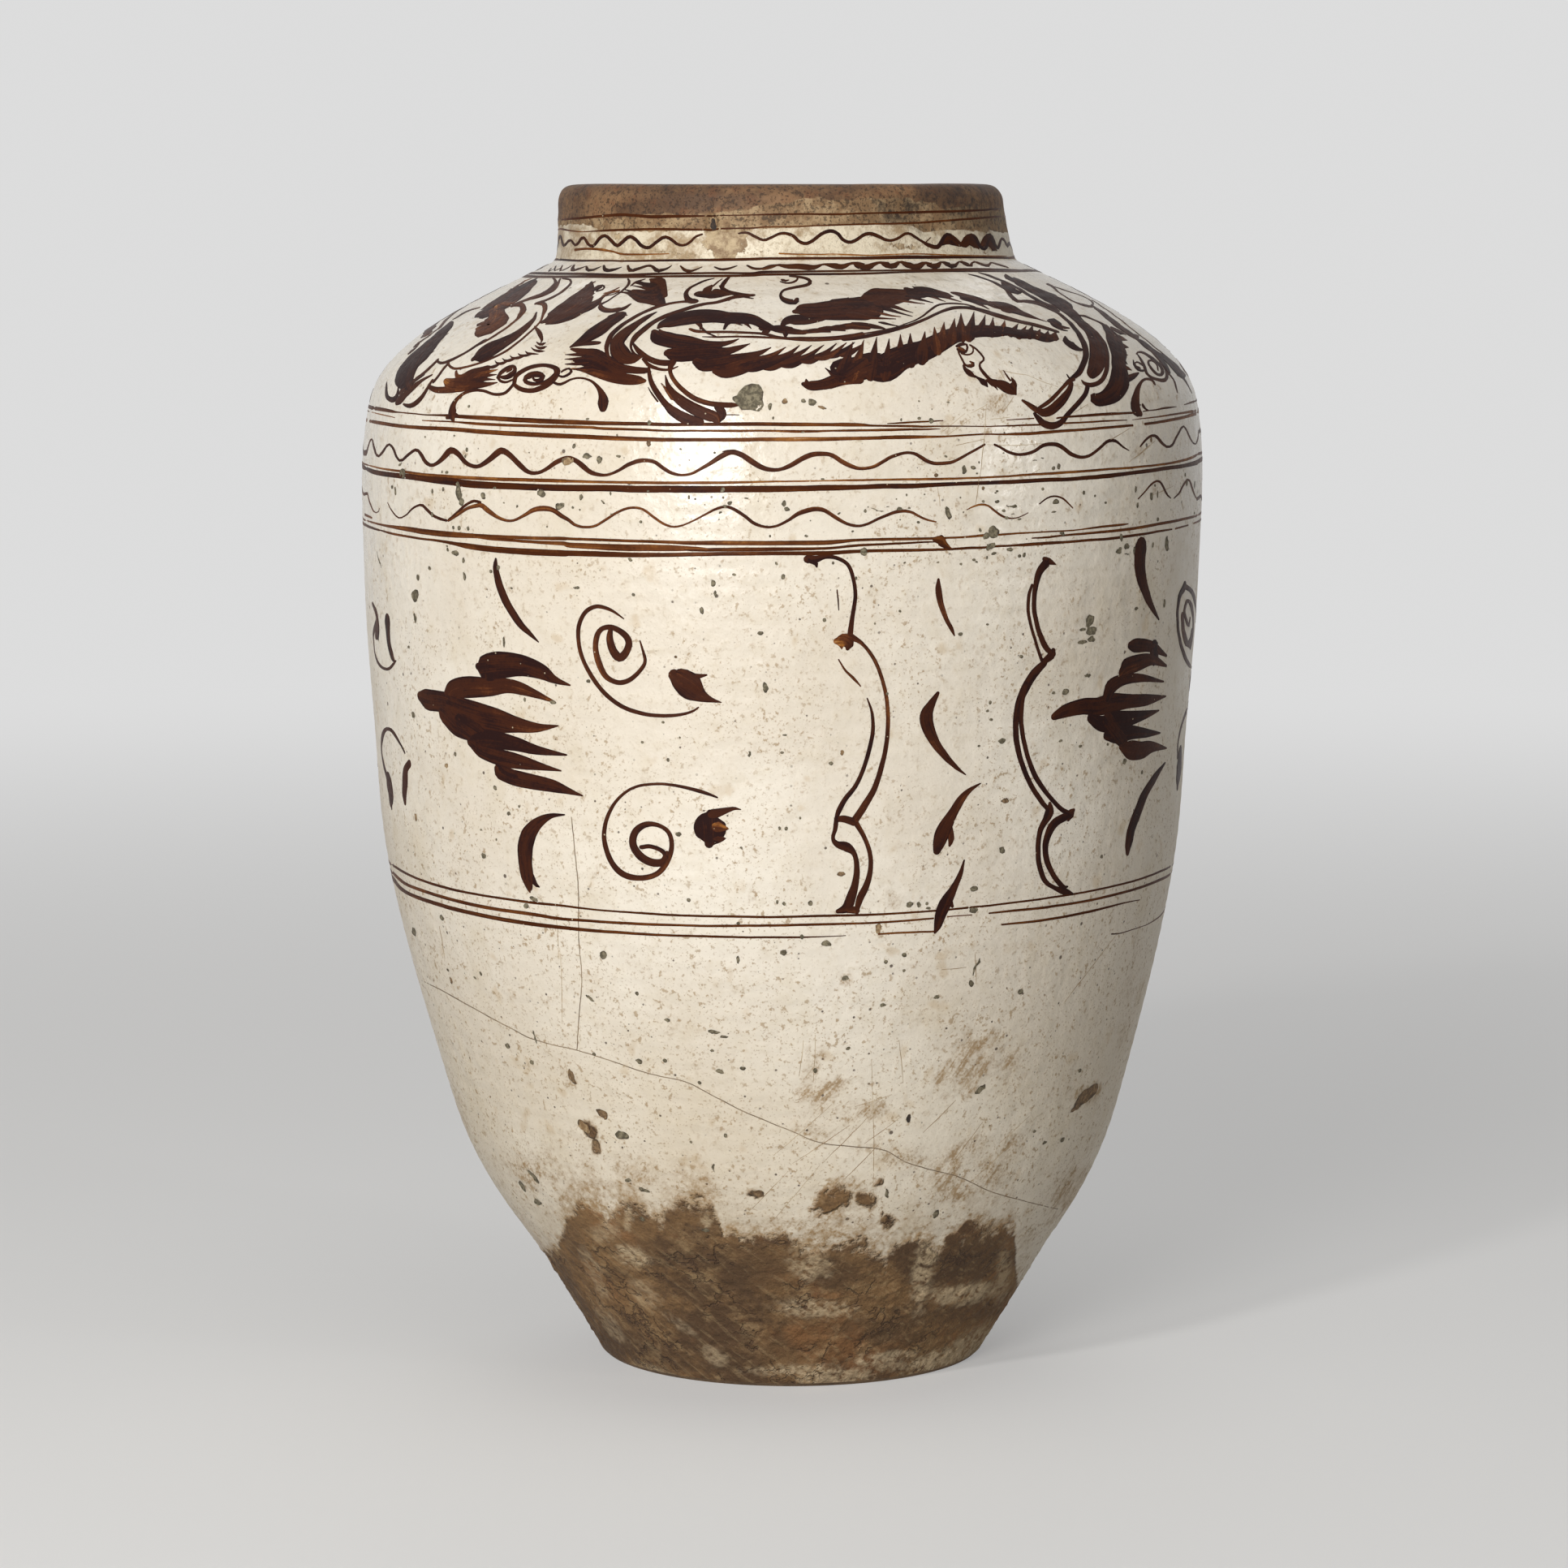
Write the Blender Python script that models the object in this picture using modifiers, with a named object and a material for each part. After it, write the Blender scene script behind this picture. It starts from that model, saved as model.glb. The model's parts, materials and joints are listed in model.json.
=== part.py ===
"""A large stoneware storage jar, built as a potter builds it: a base disc and five thrown
sections, luted one on another with ridge-and-groove joints. Metres, +Z up, the origin at
the middle of the ring that the jar stands on."""

import math

import bpy

MM = 0.001

# How far each thrown section rises
FOOT_WALL_RISE = 100 * MM
LOWER_WALL_RISE = 180 * MM
UPPER_WALL_RISE = 255 * MM
SHOULDER_RISE = 65 * MM
NECK_RISE = 40 * MM
BELLY_RISE = 200 * MM  # from the hip to the widest place, inside the upper wall section

# Heights of the seams between the sections, from the ground
FLARE_HEIGHT = FOOT_WALL_RISE
HIP_HEIGHT = FLARE_HEIGHT + LOWER_WALL_RISE
BELLY_HEIGHT = HIP_HEIGHT + BELLY_RISE
TURN_HEIGHT = HIP_HEIGHT + UPPER_WALL_RISE
NECK_BASE_HEIGHT = TURN_HEIGHT + SHOULDER_RISE
RIM_HEIGHT = NECK_BASE_HEIGHT + NECK_RISE

# Outside radii at those heights
FOOT_RADIUS = 106 * MM
FLARE_RADIUS = 166.6 * MM
HIP_RADIUS = 217 * MM
BELLY_RADIUS = 228.5 * MM
TURN_RADIUS = 221 * MM
RIM_RADIUS = 120.6 * MM
NECK_SPREAD = 3.4 * MM  # how much wider the neck is where it meets the shoulder
NECK_RADIUS = RIM_RADIUS + NECK_SPREAD

# Clay thickness, square to the wall
FOOT_THICKNESS = 16 * MM
FLARE_THICKNESS = 14 * MM
HIP_THICKNESS = 12 * MM
BELLY_THICKNESS = 11 * MM
TURN_THICKNESS = 11 * MM
SHOULDER_THICKNESS = 11 * MM

# Foot ring and base disc
FOOT_EDGE = 2 * MM  # the worn bevel round the foot's outer edge
FOOT_RING_WIDTH = 20 * MM
BASE_RECESS = 4 * MM
BASE_THICKNESS = 14 * MM
BASE_LEDGE = 8 * MM  # how far the disc lies on the foot ring

# Mouth
LIP_THICKNESS = 17.6 * MM
MOUTH_RADIUS = RIM_RADIUS - LIP_THICKNESS
LIP_OUTER_ROUND = 9 * MM
LIP_INNER_ROUND = 5 * MM
OPENING_EDGE = 6 * MM  # the shoulder's thickness at the edge of its opening

# Joints between the sections
LUTING_GAP = 0.3 * MM  # filled with slip on the real jar
RIDGE_HEIGHT = 4 * MM
RIDGE_WIDTH = 6 * MM

# Shape of the outside between two seams: (share of the height, share of the radius change)
FLARE_SHAPE_SHARES = ((0.1, 0.075), (0.4, 0.38), (0.8, 0.8))
LOWER_SHAPE_SHARES = ((0.11, 0.18), (0.28, 0.38), (0.56, 0.65), (0.83, 0.885))
UPPER_SHAPE_SHARES = ((0.1, 0.15), (0.3, 0.38), (0.6, 0.75), (0.85, 0.93))
TURN_SHAPE_SHARES = ((0.5, 0.18), (0.8, 0.54))
SHOULDER_SHAPE_SHARES = (
    (0.15, 0.07),
    (0.31, 0.18),
    (0.46, 0.315),
    (0.61, 0.475),
    (0.77, 0.675),
    (0.89, 0.84),
)

SEGMENTS = 64
STEPS_OUTSIDE = 2  # points between two stations of the outline
STEPS_INSIDE = 1
LIP_STEPS = 5
SMOOTH_ANGLE = math.radians(40)
MERGE_DISTANCE = 0.05 * MM

SLIP_CREAM = (0.78, 0.72, 0.60, 1.0)
WORN_CREAM = (0.66, 0.58, 0.45, 1.0)
BARE_CLAY = (0.25, 0.17, 0.11, 1.0)
SCORCHED_CLAY = (0.36, 0.22, 0.14, 1.0)


def clear_scene():
    for thing in list(bpy.data.objects):
        bpy.data.objects.remove(thing)


def make_material(name, colour, roughness):
    material = bpy.data.materials.new(name)
    material.use_nodes = True
    shader = material.node_tree.nodes["Principled BSDF"]
    shader.inputs["Base Color"].default_value = colour
    shader.inputs["Roughness"].default_value = roughness
    shader.inputs["Metallic"].default_value = 0.0
    return material


def between(low, high, share):
    return low + (high - low) * share


def stations():
    """The outside of the wall as (radius, height, thickness), from the foot to the neck."""
    seams = (
        (FOOT_RADIUS, 0.0, FOOT_THICKNESS),
        (FLARE_RADIUS, FLARE_HEIGHT, FLARE_THICKNESS),
        (HIP_RADIUS, HIP_HEIGHT, HIP_THICKNESS),
        (BELLY_RADIUS, BELLY_HEIGHT, BELLY_THICKNESS),
        (TURN_RADIUS, TURN_HEIGHT, TURN_THICKNESS),
        (NECK_RADIUS, NECK_BASE_HEIGHT, SHOULDER_THICKNESS),
    )
    shapes = (
        FLARE_SHAPE_SHARES,
        LOWER_SHAPE_SHARES,
        UPPER_SHAPE_SHARES,
        TURN_SHAPE_SHARES,
        SHOULDER_SHAPE_SHARES,
    )
    found = []
    for (r0, z0, t0), (r1, z1, t1), shape in zip(seams, seams[1:], shapes):
        found.append((r0, z0, t0))
        for up, out in shape:
            found.append((between(r0, r1, out), between(z0, z1, up), between(t0, t1, up)))
    found.append(seams[-1])
    return found


def smoothed(points, steps):
    """A Catmull-Rom curve through the points, each interval cut into so many steps."""
    ends = [points[0], *points, points[-1]]
    curve = []
    for i in range(1, len(ends) - 2):
        a, b, c, d = ends[i - 1 : i + 3]
        for step in range(steps):
            t = step / steps
            curve.append(
                tuple(
                    0.5
                    * (
                        2 * pb
                        + (pc - pa) * t
                        + (2 * pa - 5 * pb + 4 * pc - pd) * t**2
                        + (3 * pb - pa - 3 * pc + pd) * t**3
                    )
                    for pa, pb, pc, pd in zip(a, b, c, d)
                )
            )
    curve.append(points[-1])
    return curve


def outside_line(steps=STEPS_OUTSIDE):
    return [(r, z) for r, z, _ in smoothed(stations(), steps)]


def inside_line():
    """The outside moved inwards by the clay's thickness, square to the wall."""
    curve = smoothed(stations(), STEPS_INSIDE)
    line = []
    for i, (r, z, thickness) in enumerate(curve):
        before = curve[max(i - 1, 0)]
        after = curve[min(i + 1, len(curve) - 1)]
        along_r = after[0] - before[0]
        along_z = after[1] - before[1]
        length = math.hypot(along_r, along_z)
        line.append((r - thickness * along_z / length, z + thickness * along_r / length))
    return line


def radius_at(line, height):
    """Where a line that climbs all the way reaches a height."""
    for (r0, z0), (r1, z1) in zip(line, line[1:]):
        if z0 <= height <= z1:
            return between(r0, r1, (height - z0) / (z1 - z0))
    return line[0][0] if height < line[0][1] else line[-1][0]


def stretch(line, low, high):
    """The part of a line between two heights, its ends cut exactly there."""
    margin = LUTING_GAP
    middle = [(r, z) for r, z in line if low + margin < z < high - margin]
    return [(radius_at(line, low), low), *middle, (radius_at(line, high), high)]


def joint_points(outer_radius, inner_radius, height):
    """The V of a ridge or groove, from the outside of the wall to its inside."""
    centre = (outer_radius + inner_radius) / 2
    half = RIDGE_WIDTH / 2
    return [
        (centre + half, height),
        (centre, height - RIDGE_HEIGHT),
        (centre - half, height),
    ]


def turned(name, profile, material, collection):
    """A closed profile at +X, down its outer side first, turned about the Z axis."""
    mesh = bpy.data.meshes.new(name)
    closed = [(i, (i + 1) % len(profile)) for i in range(len(profile))]
    on_axis = profile[0][0] == 0.0 and profile[-1][0] == 0.0
    edges = closed[:-1] if on_axis else closed
    mesh.from_pydata([(r, 0.0, z) for r, z in profile], edges, [])
    piece = bpy.data.objects.new(name, mesh)
    collection.objects.link(piece)
    screw = piece.modifiers.new("Turn", "SCREW")
    screw.steps = SEGMENTS
    screw.render_steps = SEGMENTS
    screw.use_merge_vertices = True
    screw.merge_threshold = MERGE_DISTANCE
    graph = bpy.context.evaluated_depsgraph_get()
    solid = bpy.data.meshes.new_from_object(piece.evaluated_get(graph))
    piece.modifiers.clear()
    piece.data = solid
    bpy.data.meshes.remove(mesh)
    solid.name = name
    solid.shade_smooth()
    solid.set_sharp_from_angle(angle=SMOOTH_ANGLE)
    solid.materials.clear()
    solid.materials.append(material)
    return piece


def ring_seat_radius():
    """The wall's bore round the base disc."""
    return FOOT_RADIUS - FOOT_RING_WIDTH + BASE_LEDGE


def base_disc(collection):
    radius = ring_seat_radius() - LUTING_GAP
    bottom = BASE_RECESS + LUTING_GAP
    top = BASE_RECESS + BASE_THICKNESS
    profile = [(0.0, top), (radius, top), (radius, bottom), (0.0, bottom)]
    clay = make_material("bare_base_clay", BARE_CLAY, 0.9)
    return turned("base_disc", profile, clay, collection)


def foot_wall(collection):
    """The flaring bottom section, with the foot ring and the ledge that carries the disc."""
    outer = stretch(outside_line(), 0.0, FLARE_HEIGHT)
    outer = [(r, z) for r, z in outer if z > FOOT_EDGE]
    inner_line = inside_line()
    floor = BASE_RECESS + BASE_THICKNESS
    inner = [p for p in stretch(inner_line, floor, FLARE_HEIGHT) if p[1] > floor]
    groove = joint_points(outer[-1][0], inner[-1][0], FLARE_HEIGHT)
    ring_inside = FOOT_RADIUS - FOOT_RING_WIDTH
    seat = ring_seat_radius()
    profile = [
        *reversed(outer),
        (FOOT_RADIUS, FOOT_EDGE),
        (FOOT_RADIUS - FOOT_EDGE, 0.0),
        (ring_inside, 0.0),
        (ring_inside, BASE_RECESS),
        (seat, BASE_RECESS),
        (seat, floor),
        *inner,
        *reversed(groove),
    ]
    clay = make_material("worn_foot_clay", WORN_CREAM, 0.75)
    return turned("foot_wall", profile, clay, collection)


def wall_section(name, low, high, material, collection):
    """A ring of wall with a ridge under it and a groove on top."""
    bottom = low + LUTING_GAP
    outer = stretch(outside_line(), bottom, high)
    inner = stretch(inside_line(), bottom, high)
    ridge = joint_points(outer[0][0], inner[0][0], bottom)
    groove = joint_points(outer[-1][0], inner[-1][0], high)
    profile = [*reversed(outer), *ridge, *inner, *reversed(groove)]
    return turned(name, profile, material, collection)


def shoulder(material, collection):
    """The dome, whose opening ends in a flat land that carries the neck ring."""
    bottom = TURN_HEIGHT + LUTING_GAP
    outer = stretch(outside_line(), bottom, NECK_BASE_HEIGHT)
    line = inside_line()
    inner = [
        (r, z)
        for r, z in stretch(line, bottom, line[-1][1])
        if r > MOUTH_RADIUS + SHOULDER_THICKNESS
    ]
    ridge = joint_points(outer[0][0], inner[0][0], bottom)
    groove = joint_points(NECK_RADIUS, MOUTH_RADIUS, NECK_BASE_HEIGHT)
    profile = [
        *reversed(outer),
        *ridge,
        *inner,
        (MOUTH_RADIUS, NECK_BASE_HEIGHT - OPENING_EDGE),
        (MOUTH_RADIUS, NECK_BASE_HEIGHT),
        *reversed(groove),
    ]
    return turned("shoulder", profile, material, collection)


def rounded_corner(centre_r, centre_z, radius, start, stop):
    """An arc of the lip, between two angles in degrees from +X."""
    arc = []
    for i in range(LIP_STEPS + 1):
        angle = math.radians(between(start, stop, i / LIP_STEPS))
        arc.append((centre_r + radius * math.cos(angle), centre_z + radius * math.sin(angle)))
    return arc


def neck_ring(collection):
    """The short, thick neck with its rounded lip."""
    bottom = NECK_BASE_HEIGHT + LUTING_GAP
    inner_arc = rounded_corner(
        MOUTH_RADIUS + LIP_INNER_ROUND, RIM_HEIGHT - LIP_INNER_ROUND, LIP_INNER_ROUND, 180, 90
    )
    outer_arc = rounded_corner(
        RIM_RADIUS - LIP_OUTER_ROUND, RIM_HEIGHT - LIP_OUTER_ROUND, LIP_OUTER_ROUND, 90, 0
    )
    ridge = joint_points(NECK_RADIUS, MOUTH_RADIUS, bottom)
    profile = [*outer_arc, (NECK_RADIUS, bottom), *ridge, (MOUTH_RADIUS, bottom), *inner_arc]
    clay = make_material("scorched_neck_clay", SCORCHED_CLAY, 0.7)
    return turned("neck_ring", profile, clay, collection)


def main():
    clear_scene()
    collection = bpy.data.collections.new("storage_jar")
    bpy.context.scene.collection.children.link(collection)
    base_disc(collection)
    foot_wall(collection)
    lower_glaze = make_material("lower_wall_glaze", SLIP_CREAM, 0.4)
    upper_glaze = make_material("upper_wall_glaze", SLIP_CREAM, 0.35)
    shoulder_glaze = make_material("shoulder_glaze", SLIP_CREAM, 0.3)
    wall_section("lower_wall", FLARE_HEIGHT, HIP_HEIGHT, lower_glaze, collection)
    wall_section("upper_wall", HIP_HEIGHT, TURN_HEIGHT, upper_glaze, collection)
    shoulder(shoulder_glaze, collection)
    neck_ring(collection)


main()
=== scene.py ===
import json
import math

import bpy
import numpy as np
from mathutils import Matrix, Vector

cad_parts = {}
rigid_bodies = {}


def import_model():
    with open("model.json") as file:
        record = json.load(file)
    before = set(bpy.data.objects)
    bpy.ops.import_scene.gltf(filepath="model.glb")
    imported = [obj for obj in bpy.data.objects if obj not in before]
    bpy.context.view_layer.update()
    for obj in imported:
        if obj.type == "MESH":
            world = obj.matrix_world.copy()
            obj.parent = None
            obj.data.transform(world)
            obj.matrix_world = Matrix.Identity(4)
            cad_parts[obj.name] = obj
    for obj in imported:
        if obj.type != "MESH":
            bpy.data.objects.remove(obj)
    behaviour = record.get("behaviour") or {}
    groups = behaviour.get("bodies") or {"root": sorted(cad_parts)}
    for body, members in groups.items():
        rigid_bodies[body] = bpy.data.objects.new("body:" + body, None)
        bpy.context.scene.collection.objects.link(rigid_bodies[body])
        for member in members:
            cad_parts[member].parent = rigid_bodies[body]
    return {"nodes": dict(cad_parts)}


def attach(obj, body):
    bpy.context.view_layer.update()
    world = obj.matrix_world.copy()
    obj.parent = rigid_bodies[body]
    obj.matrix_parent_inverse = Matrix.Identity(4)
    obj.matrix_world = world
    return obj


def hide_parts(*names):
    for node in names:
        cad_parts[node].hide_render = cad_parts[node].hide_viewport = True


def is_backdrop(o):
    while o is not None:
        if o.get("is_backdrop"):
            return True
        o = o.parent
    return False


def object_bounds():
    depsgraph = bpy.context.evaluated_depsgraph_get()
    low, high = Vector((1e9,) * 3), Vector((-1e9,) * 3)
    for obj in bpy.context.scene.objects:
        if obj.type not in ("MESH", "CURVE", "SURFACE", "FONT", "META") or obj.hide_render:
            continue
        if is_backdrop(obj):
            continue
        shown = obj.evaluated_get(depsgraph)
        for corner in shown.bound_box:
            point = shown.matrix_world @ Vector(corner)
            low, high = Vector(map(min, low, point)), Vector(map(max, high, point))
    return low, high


for leftover in list(bpy.data.objects):
    bpy.data.objects.remove(leftover)

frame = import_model()
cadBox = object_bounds()
mm = 0.001
jarTop = cadBox[1].z
print("frame loaded:", sorted(frame["nodes"]))


class Wire:  # a node's socket that does maths: 1 - mask adds a Math node to its tree
    def __init__(self, graph, socket):
        self.graph = graph
        self.socket = socket

    def __add__(self, other):
        return self.graph.maths("ADD", self, other)

    def __sub__(self, other):
        return self.graph.maths("SUBTRACT", self, other)

    def __rsub__(self, other):
        return self.graph.maths("SUBTRACT", other, self)

    def __mul__(self, other):
        return self.graph.maths("MULTIPLY", self, other)

    def __truediv__(self, other):
        return self.graph.maths("DIVIDE", self, other)

    __radd__ = __add__
    __rmul__ = __mul__


class Graph:
    def __init__(self, tree):
        self.tree = tree

    def plug(self, socket, value):
        if isinstance(value, Wire):
            self.tree.links.new(value.socket, socket)
        else:
            socket.default_value = value

    def node(self, kind, settings=None, values=None, out=0):  # type, settings first, then values and links
        made = self.tree.nodes.new(kind)
        for name, value in (settings or {}).items():
            setattr(made, name, value)
        for name, value in (values or {}).items():
            self.plug(made.inputs[name], value)
        return Wire(self, made.outputs[out]) if made.outputs else made

    def maths(self, operation, *values):
        return self.node("ShaderNodeMath", {"operation": operation}, dict(enumerate(values)))

    def vector(self, operation, *values):
        return self.node("ShaderNodeVectorMath", {"operation": operation}, dict(enumerate(values)))

    def scaled(self, vector, amount):
        return self.node("ShaderNodeVectorMath", {"operation": "SCALE"}, {0: vector, "Scale": amount})

    def mix(self, share, first, second):
        return self.node("ShaderNodeMix", {"data_type": "RGBA"}, {0: share, 6: first, 7: second}, out=2)

    def rise(self, value, low, high):  # 0 below low, 1 above high, smooth between
        settings = {"interpolation_type": "SMOOTHSTEP"}
        values = {"Value": value, "From Min": low, "From Max": high}
        return self.node("ShaderNodeMapRange", settings, values)

    def noise(self, place, scale, detail=2.0, rough=0.5, out=0):
        values = {"Vector": place, "Scale": scale, "Detail": detail, "Roughness": rough}
        return self.node("ShaderNodeTexNoise", None, values, out)

    def attribute(self, name):
        return self.node("ShaderNodeAttribute", {"attribute_name": name}, None, out=2)


# The jar in millimetres: its outlines are radius and height, the outer one read off the silhouette
jar = {
    "bodyLine": [
        (106.2, 2), (110.6, 10), (122.6, 30), (141, 60), (154.7, 80), (166.6, 100), (176, 120),
        (187.2, 155), (199.5, 200), (211.3, 250), (217.2, 285), (221.4, 340), (225.8, 400),
        (228.2, 460), (228.5, 490), (226.4, 515), (221.5, 534), (209.8, 550), (183.4, 570),
        (145.4, 590), (128.5, 598.2),
    ],
    "neckLine": [
        (128.5, 598.2), (126.2, 599.4), (124.9, 601), (124.1, 603.5), (122.8, 611), (121.4, 624),
        (120.7, 631),
    ],
    "lipRound": 9,
    "insideLine": [
        (91.4, 6.6), (96.9, 17.9), (116.2, 48.1), (142.3, 87.6), (154.2, 106.6), (162.8, 124.7),
        (172.9, 154.2), (186.9, 204), (199.2, 252.1), (205.1, 281.8), (206.9, 300.9), (209.7, 340.8),
        (214.2, 400.7), (216.6, 450.4), (217.5, 479.9), (216.2, 506.5), (213.7, 521.6), (211.1, 530.1),
        (205.9, 537.5), (196.4, 546.8), (184.3, 555.8), (169.4, 565.1), (150.5, 575.3), (134.8, 582.9),
        (119.4, 590), (103, 597), (103, 600),
    ],
    "lean": [
        (0, 4), (50, 4), (105, 2.2), (155, 0.9), (200, 0), (280, -1.5), (420, -1.5), (500, -0.7),
        (560, 0.8), (590, 1.4), (625, -1.5), (640, -2.2),
    ],  # height, and how far the jar's middle lies to the right of the axis there
    "seams": [2, 100, 280, 535, 600, 640],  # heights where the thrown sections meet
    "columns": 600,  # points round the wall, then the steps between its rows
    "rowStep": 2.35,
    "footRowStep": 1.5,
    "neckRowStep": 1.3,
    "lumps": 0.5,  # how far the wall stands off its outline, from its soft lumps to the foot's folds
    "ridges": 0.09,
    "ridgeSpacing": 9.2,
    "wrinkles": 0.7,
    "folds": 0.5,
    "foldSlant": 0.45,
    "rimWaver": 1.4,
    "fadesIn": {"foot": (0, 12), "ridges": (30, 120), "slip": (55, 110), "rim": (600, 632)},  # heights
}


def splineThrough(knots, values, at):  # a natural cubic spline
    count = len(knots)
    step = np.diff(knots)
    slope = np.diff(values, axis=0) / step[:, None]
    system = np.eye(count)
    right = np.zeros_like(values)
    for i in range(1, count - 1):
        system[i, i - 1 : i + 2] = step[i - 1], 2 * (step[i - 1] + step[i]), step[i]
        right[i] = 6 * (slope[i] - slope[i - 1])
    bend = np.linalg.solve(system, right)
    k = np.clip(np.searchsorted(knots, at) - 1, 0, count - 2)
    t = (at - knots[k])[:, None]
    h = step[k][:, None]
    straight = slope[k] - h * (2 * bend[k] + bend[k + 1]) / 6
    return values[k] + t * (straight + t * (bend[k] / 2 + t * (bend[k + 1] - bend[k]) / (6 * h)))


def curveThrough(points, step=0.4):
    points = np.array(points, float)
    along = np.r_[0, np.cumsum(np.hypot(*np.diff(points, axis=0).T))]
    return splineThrough(along, points, np.linspace(0, along[-1], int(along[-1] / step)))


def outsideLine():  # dense points from the foot's edge to the top of the lip, in metres
    neck = curveThrough(jar["neckLine"])
    turn = np.linspace(0, math.pi / 2, 24)[1:]
    lip = neck[-1] + jar["lipRound"] * np.c_[np.cos(turn) - 1, np.sin(turn)]
    return np.vstack([curveThrough(jar["bodyLine"])[:-1], neck, lip]) * mm


line = outsideLine()
line[:, 1] *= jarTop / line[-1, 1]
lineRadius, lineHeight = line.T
lineAlong = np.r_[0, np.cumsum(np.hypot(*np.diff(line, axis=0).T))]
middleRadius = (lineRadius[1:] + lineRadius[:-1]) / 2
# The wall laid flat with its angles kept: both coordinates count whole turns round the jar
lineFlat = np.r_[0, np.cumsum(np.diff(lineAlong) / (2 * math.pi * middleRadius))]
leanLine = np.array(jar["lean"], float) * mm
leanSmooth = splineThrough(leanLine[:, 0], leanLine[:, 1:], lineHeight)[:, 0]


def radiusAt(height):
    return np.interp(height, lineHeight, lineRadius, left=-1, right=-1)


def leanAt(height):
    return np.interp(height, lineHeight, leanSmooth)


def flatHeight(height):
    return np.interp(height, lineHeight, lineFlat)


def flatLength(length, height):  # a real length at that height, in turns
    return length / (2 * math.pi * np.interp(height, lineHeight, lineRadius))


def gridNoise(u, v, cells, seed):  # smooth random values from 0 to 1, closed round the jar
    rng = np.random.default_rng(seed)
    table = rng.random((cells, cells))
    x, y = np.mod(u, 1) * cells, np.asarray(v) * cells
    i, j = np.floor(x).astype(int) % cells, np.floor(y).astype(int) % cells
    fx, fy = x - np.floor(x), y - np.floor(y)
    fx, fy = fx * fx * (3 - 2 * fx), fy * fy * (3 - 2 * fy)
    right, above = (i + 1) % cells, (j + 1) % cells
    low = table[j, i] * (1 - fx) + table[j, right] * fx
    high = table[above, i] * (1 - fx) + table[above, right] * fx
    return low * (1 - fy) + high * fy


def smoothStep(value, low, high):
    t = np.clip((value - low) / (high - low), 0, 1)
    return t * t * (3 - 2 * t)


# The photograph's camera, found from the rim's ellipse and the silhouette
photoView = {
    "size": 1932,
    "lens": 113.0,
    "sensor": 36.0,
    "distance": 2.69,
    "height": 0.6166,
    "lookDown": math.radians(6.435),
    "rayReach": 0.25,  # how far before and behind the jar's axis a ray is followed, and in how many steps
    "raySteps": 251,
    "halvings": 20,
}
focal = photoView["lens"] / photoView["sensor"] * photoView["size"]
photoMiddle = photoView["size"] / 2
cosDown, sinDown = math.cos(photoView["lookDown"]), math.sin(photoView["lookDown"])

# Where each enlargement of the photograph starts, in its pixels, and how many times it enlarges them
views = {
    "neckLeft": (640.8, 200.8, 4.9),
    "neckRight": (940.8, 200.8, 4.612),
    "neckWhole": (640.3, 220.3, 2.489),
    "shoulderLeft": (440.6, 320.8, 4.9),
    "shoulderMid": (741.0, 321.2, 4.9),
    "shoulderRight": (1040.7, 320.8, 6.0308),
    "shoulderEdge": (1261.2, 321.2, 6.5333),
    "bandsLeft": (440.8, 490.8, 4.9),
    "bandsMid": (700.8, 490.8, 4.9),
    "bandsRight": (1020.7, 490.7, 6.03),
    "bandsEdge": (1240.7, 490.7, 6.03),
    "bandsRightWide": (1120.3, 440.3, 4.356),
    "panelLeft": (441.4, 641.7, 2.904),
    "panelRight": (941.4, 641.8, 2.8),
    "lowerLeft": (441.4, 1061.4, 2.8),
    "lowerRight": (901.4, 1061.4, 2.703),
    "lowerWide": (440.8, 1060.8, 1.4933),
    "footWide": (560.8, 1380.8, 1.8667),
}


def inPhoto(view, points):  # (x, y, width) in an enlargement to photograph pixels
    left, top, zoom = views[view]
    points = np.array(points, float)
    return np.c_[left + points[:, 0] / zoom, top + points[:, 1] / zoom, points[:, 2:] / zoom]


def wallPlace(x, y):  # where the ray through a photograph's pixel meets the wall: (turns round, height)
    sideways = (x - photoMiddle) / focal
    upwards = (photoMiddle - y) / focal
    forward = cosDown + upwards * sinDown
    rise = upwards * cosDown - sinDown

    def gapAt(depth):
        reach = (depth + photoView["distance"]) / forward[:, None]
        across = sideways[:, None] * reach
        height = photoView["height"] + rise[:, None] * reach
        return np.hypot(across - leanAt(height), depth) - radiusAt(height), across, height

    steps = np.linspace(-photoView["rayReach"], photoView["rayReach"], photoView["raySteps"])
    gap = gapAt(np.tile(steps, (len(x), 1)))[0]
    inside = gap < 0
    first = np.where(inside.any(1), inside.argmax(1), 0)
    closest = np.clip(gap.argmin(1), 1, None)
    near = steps[np.clip(first - 1, 0, None)][:, None]
    far = steps[first][:, None]
    for _ in range(photoView["halvings"]):
        half = (near + far) / 2
        isIn = gapAt(half)[0] < 0
        near, far = np.where(isIn, near, half), np.where(isIn, half, far)
    depth = np.where(inside.any(1)[:, None], far, steps[closest][:, None])
    _, across, height = gapAt(depth)
    across, height, depth = across[:, 0], height[:, 0], depth[:, 0]
    return np.arctan2(across - leanAt(height), -depth) / (2 * math.pi), height


def photoPlace(points):  # world points to photograph pixels
    away = points[:, 1] + photoView["distance"]
    drop = photoView["height"] - points[:, 2]
    depth = away * cosDown + drop * sinDown
    return (
        photoMiddle + focal * points[:, 0] / depth,
        photoMiddle + focal * (drop * cosDown - away * sinDown) / depth,
    )


def flatPlaces(x, y):  # photograph pixels to the flat wall
    turns, height = wallPlace(x, y)
    return np.c_[turns, flatHeight(height)]


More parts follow.
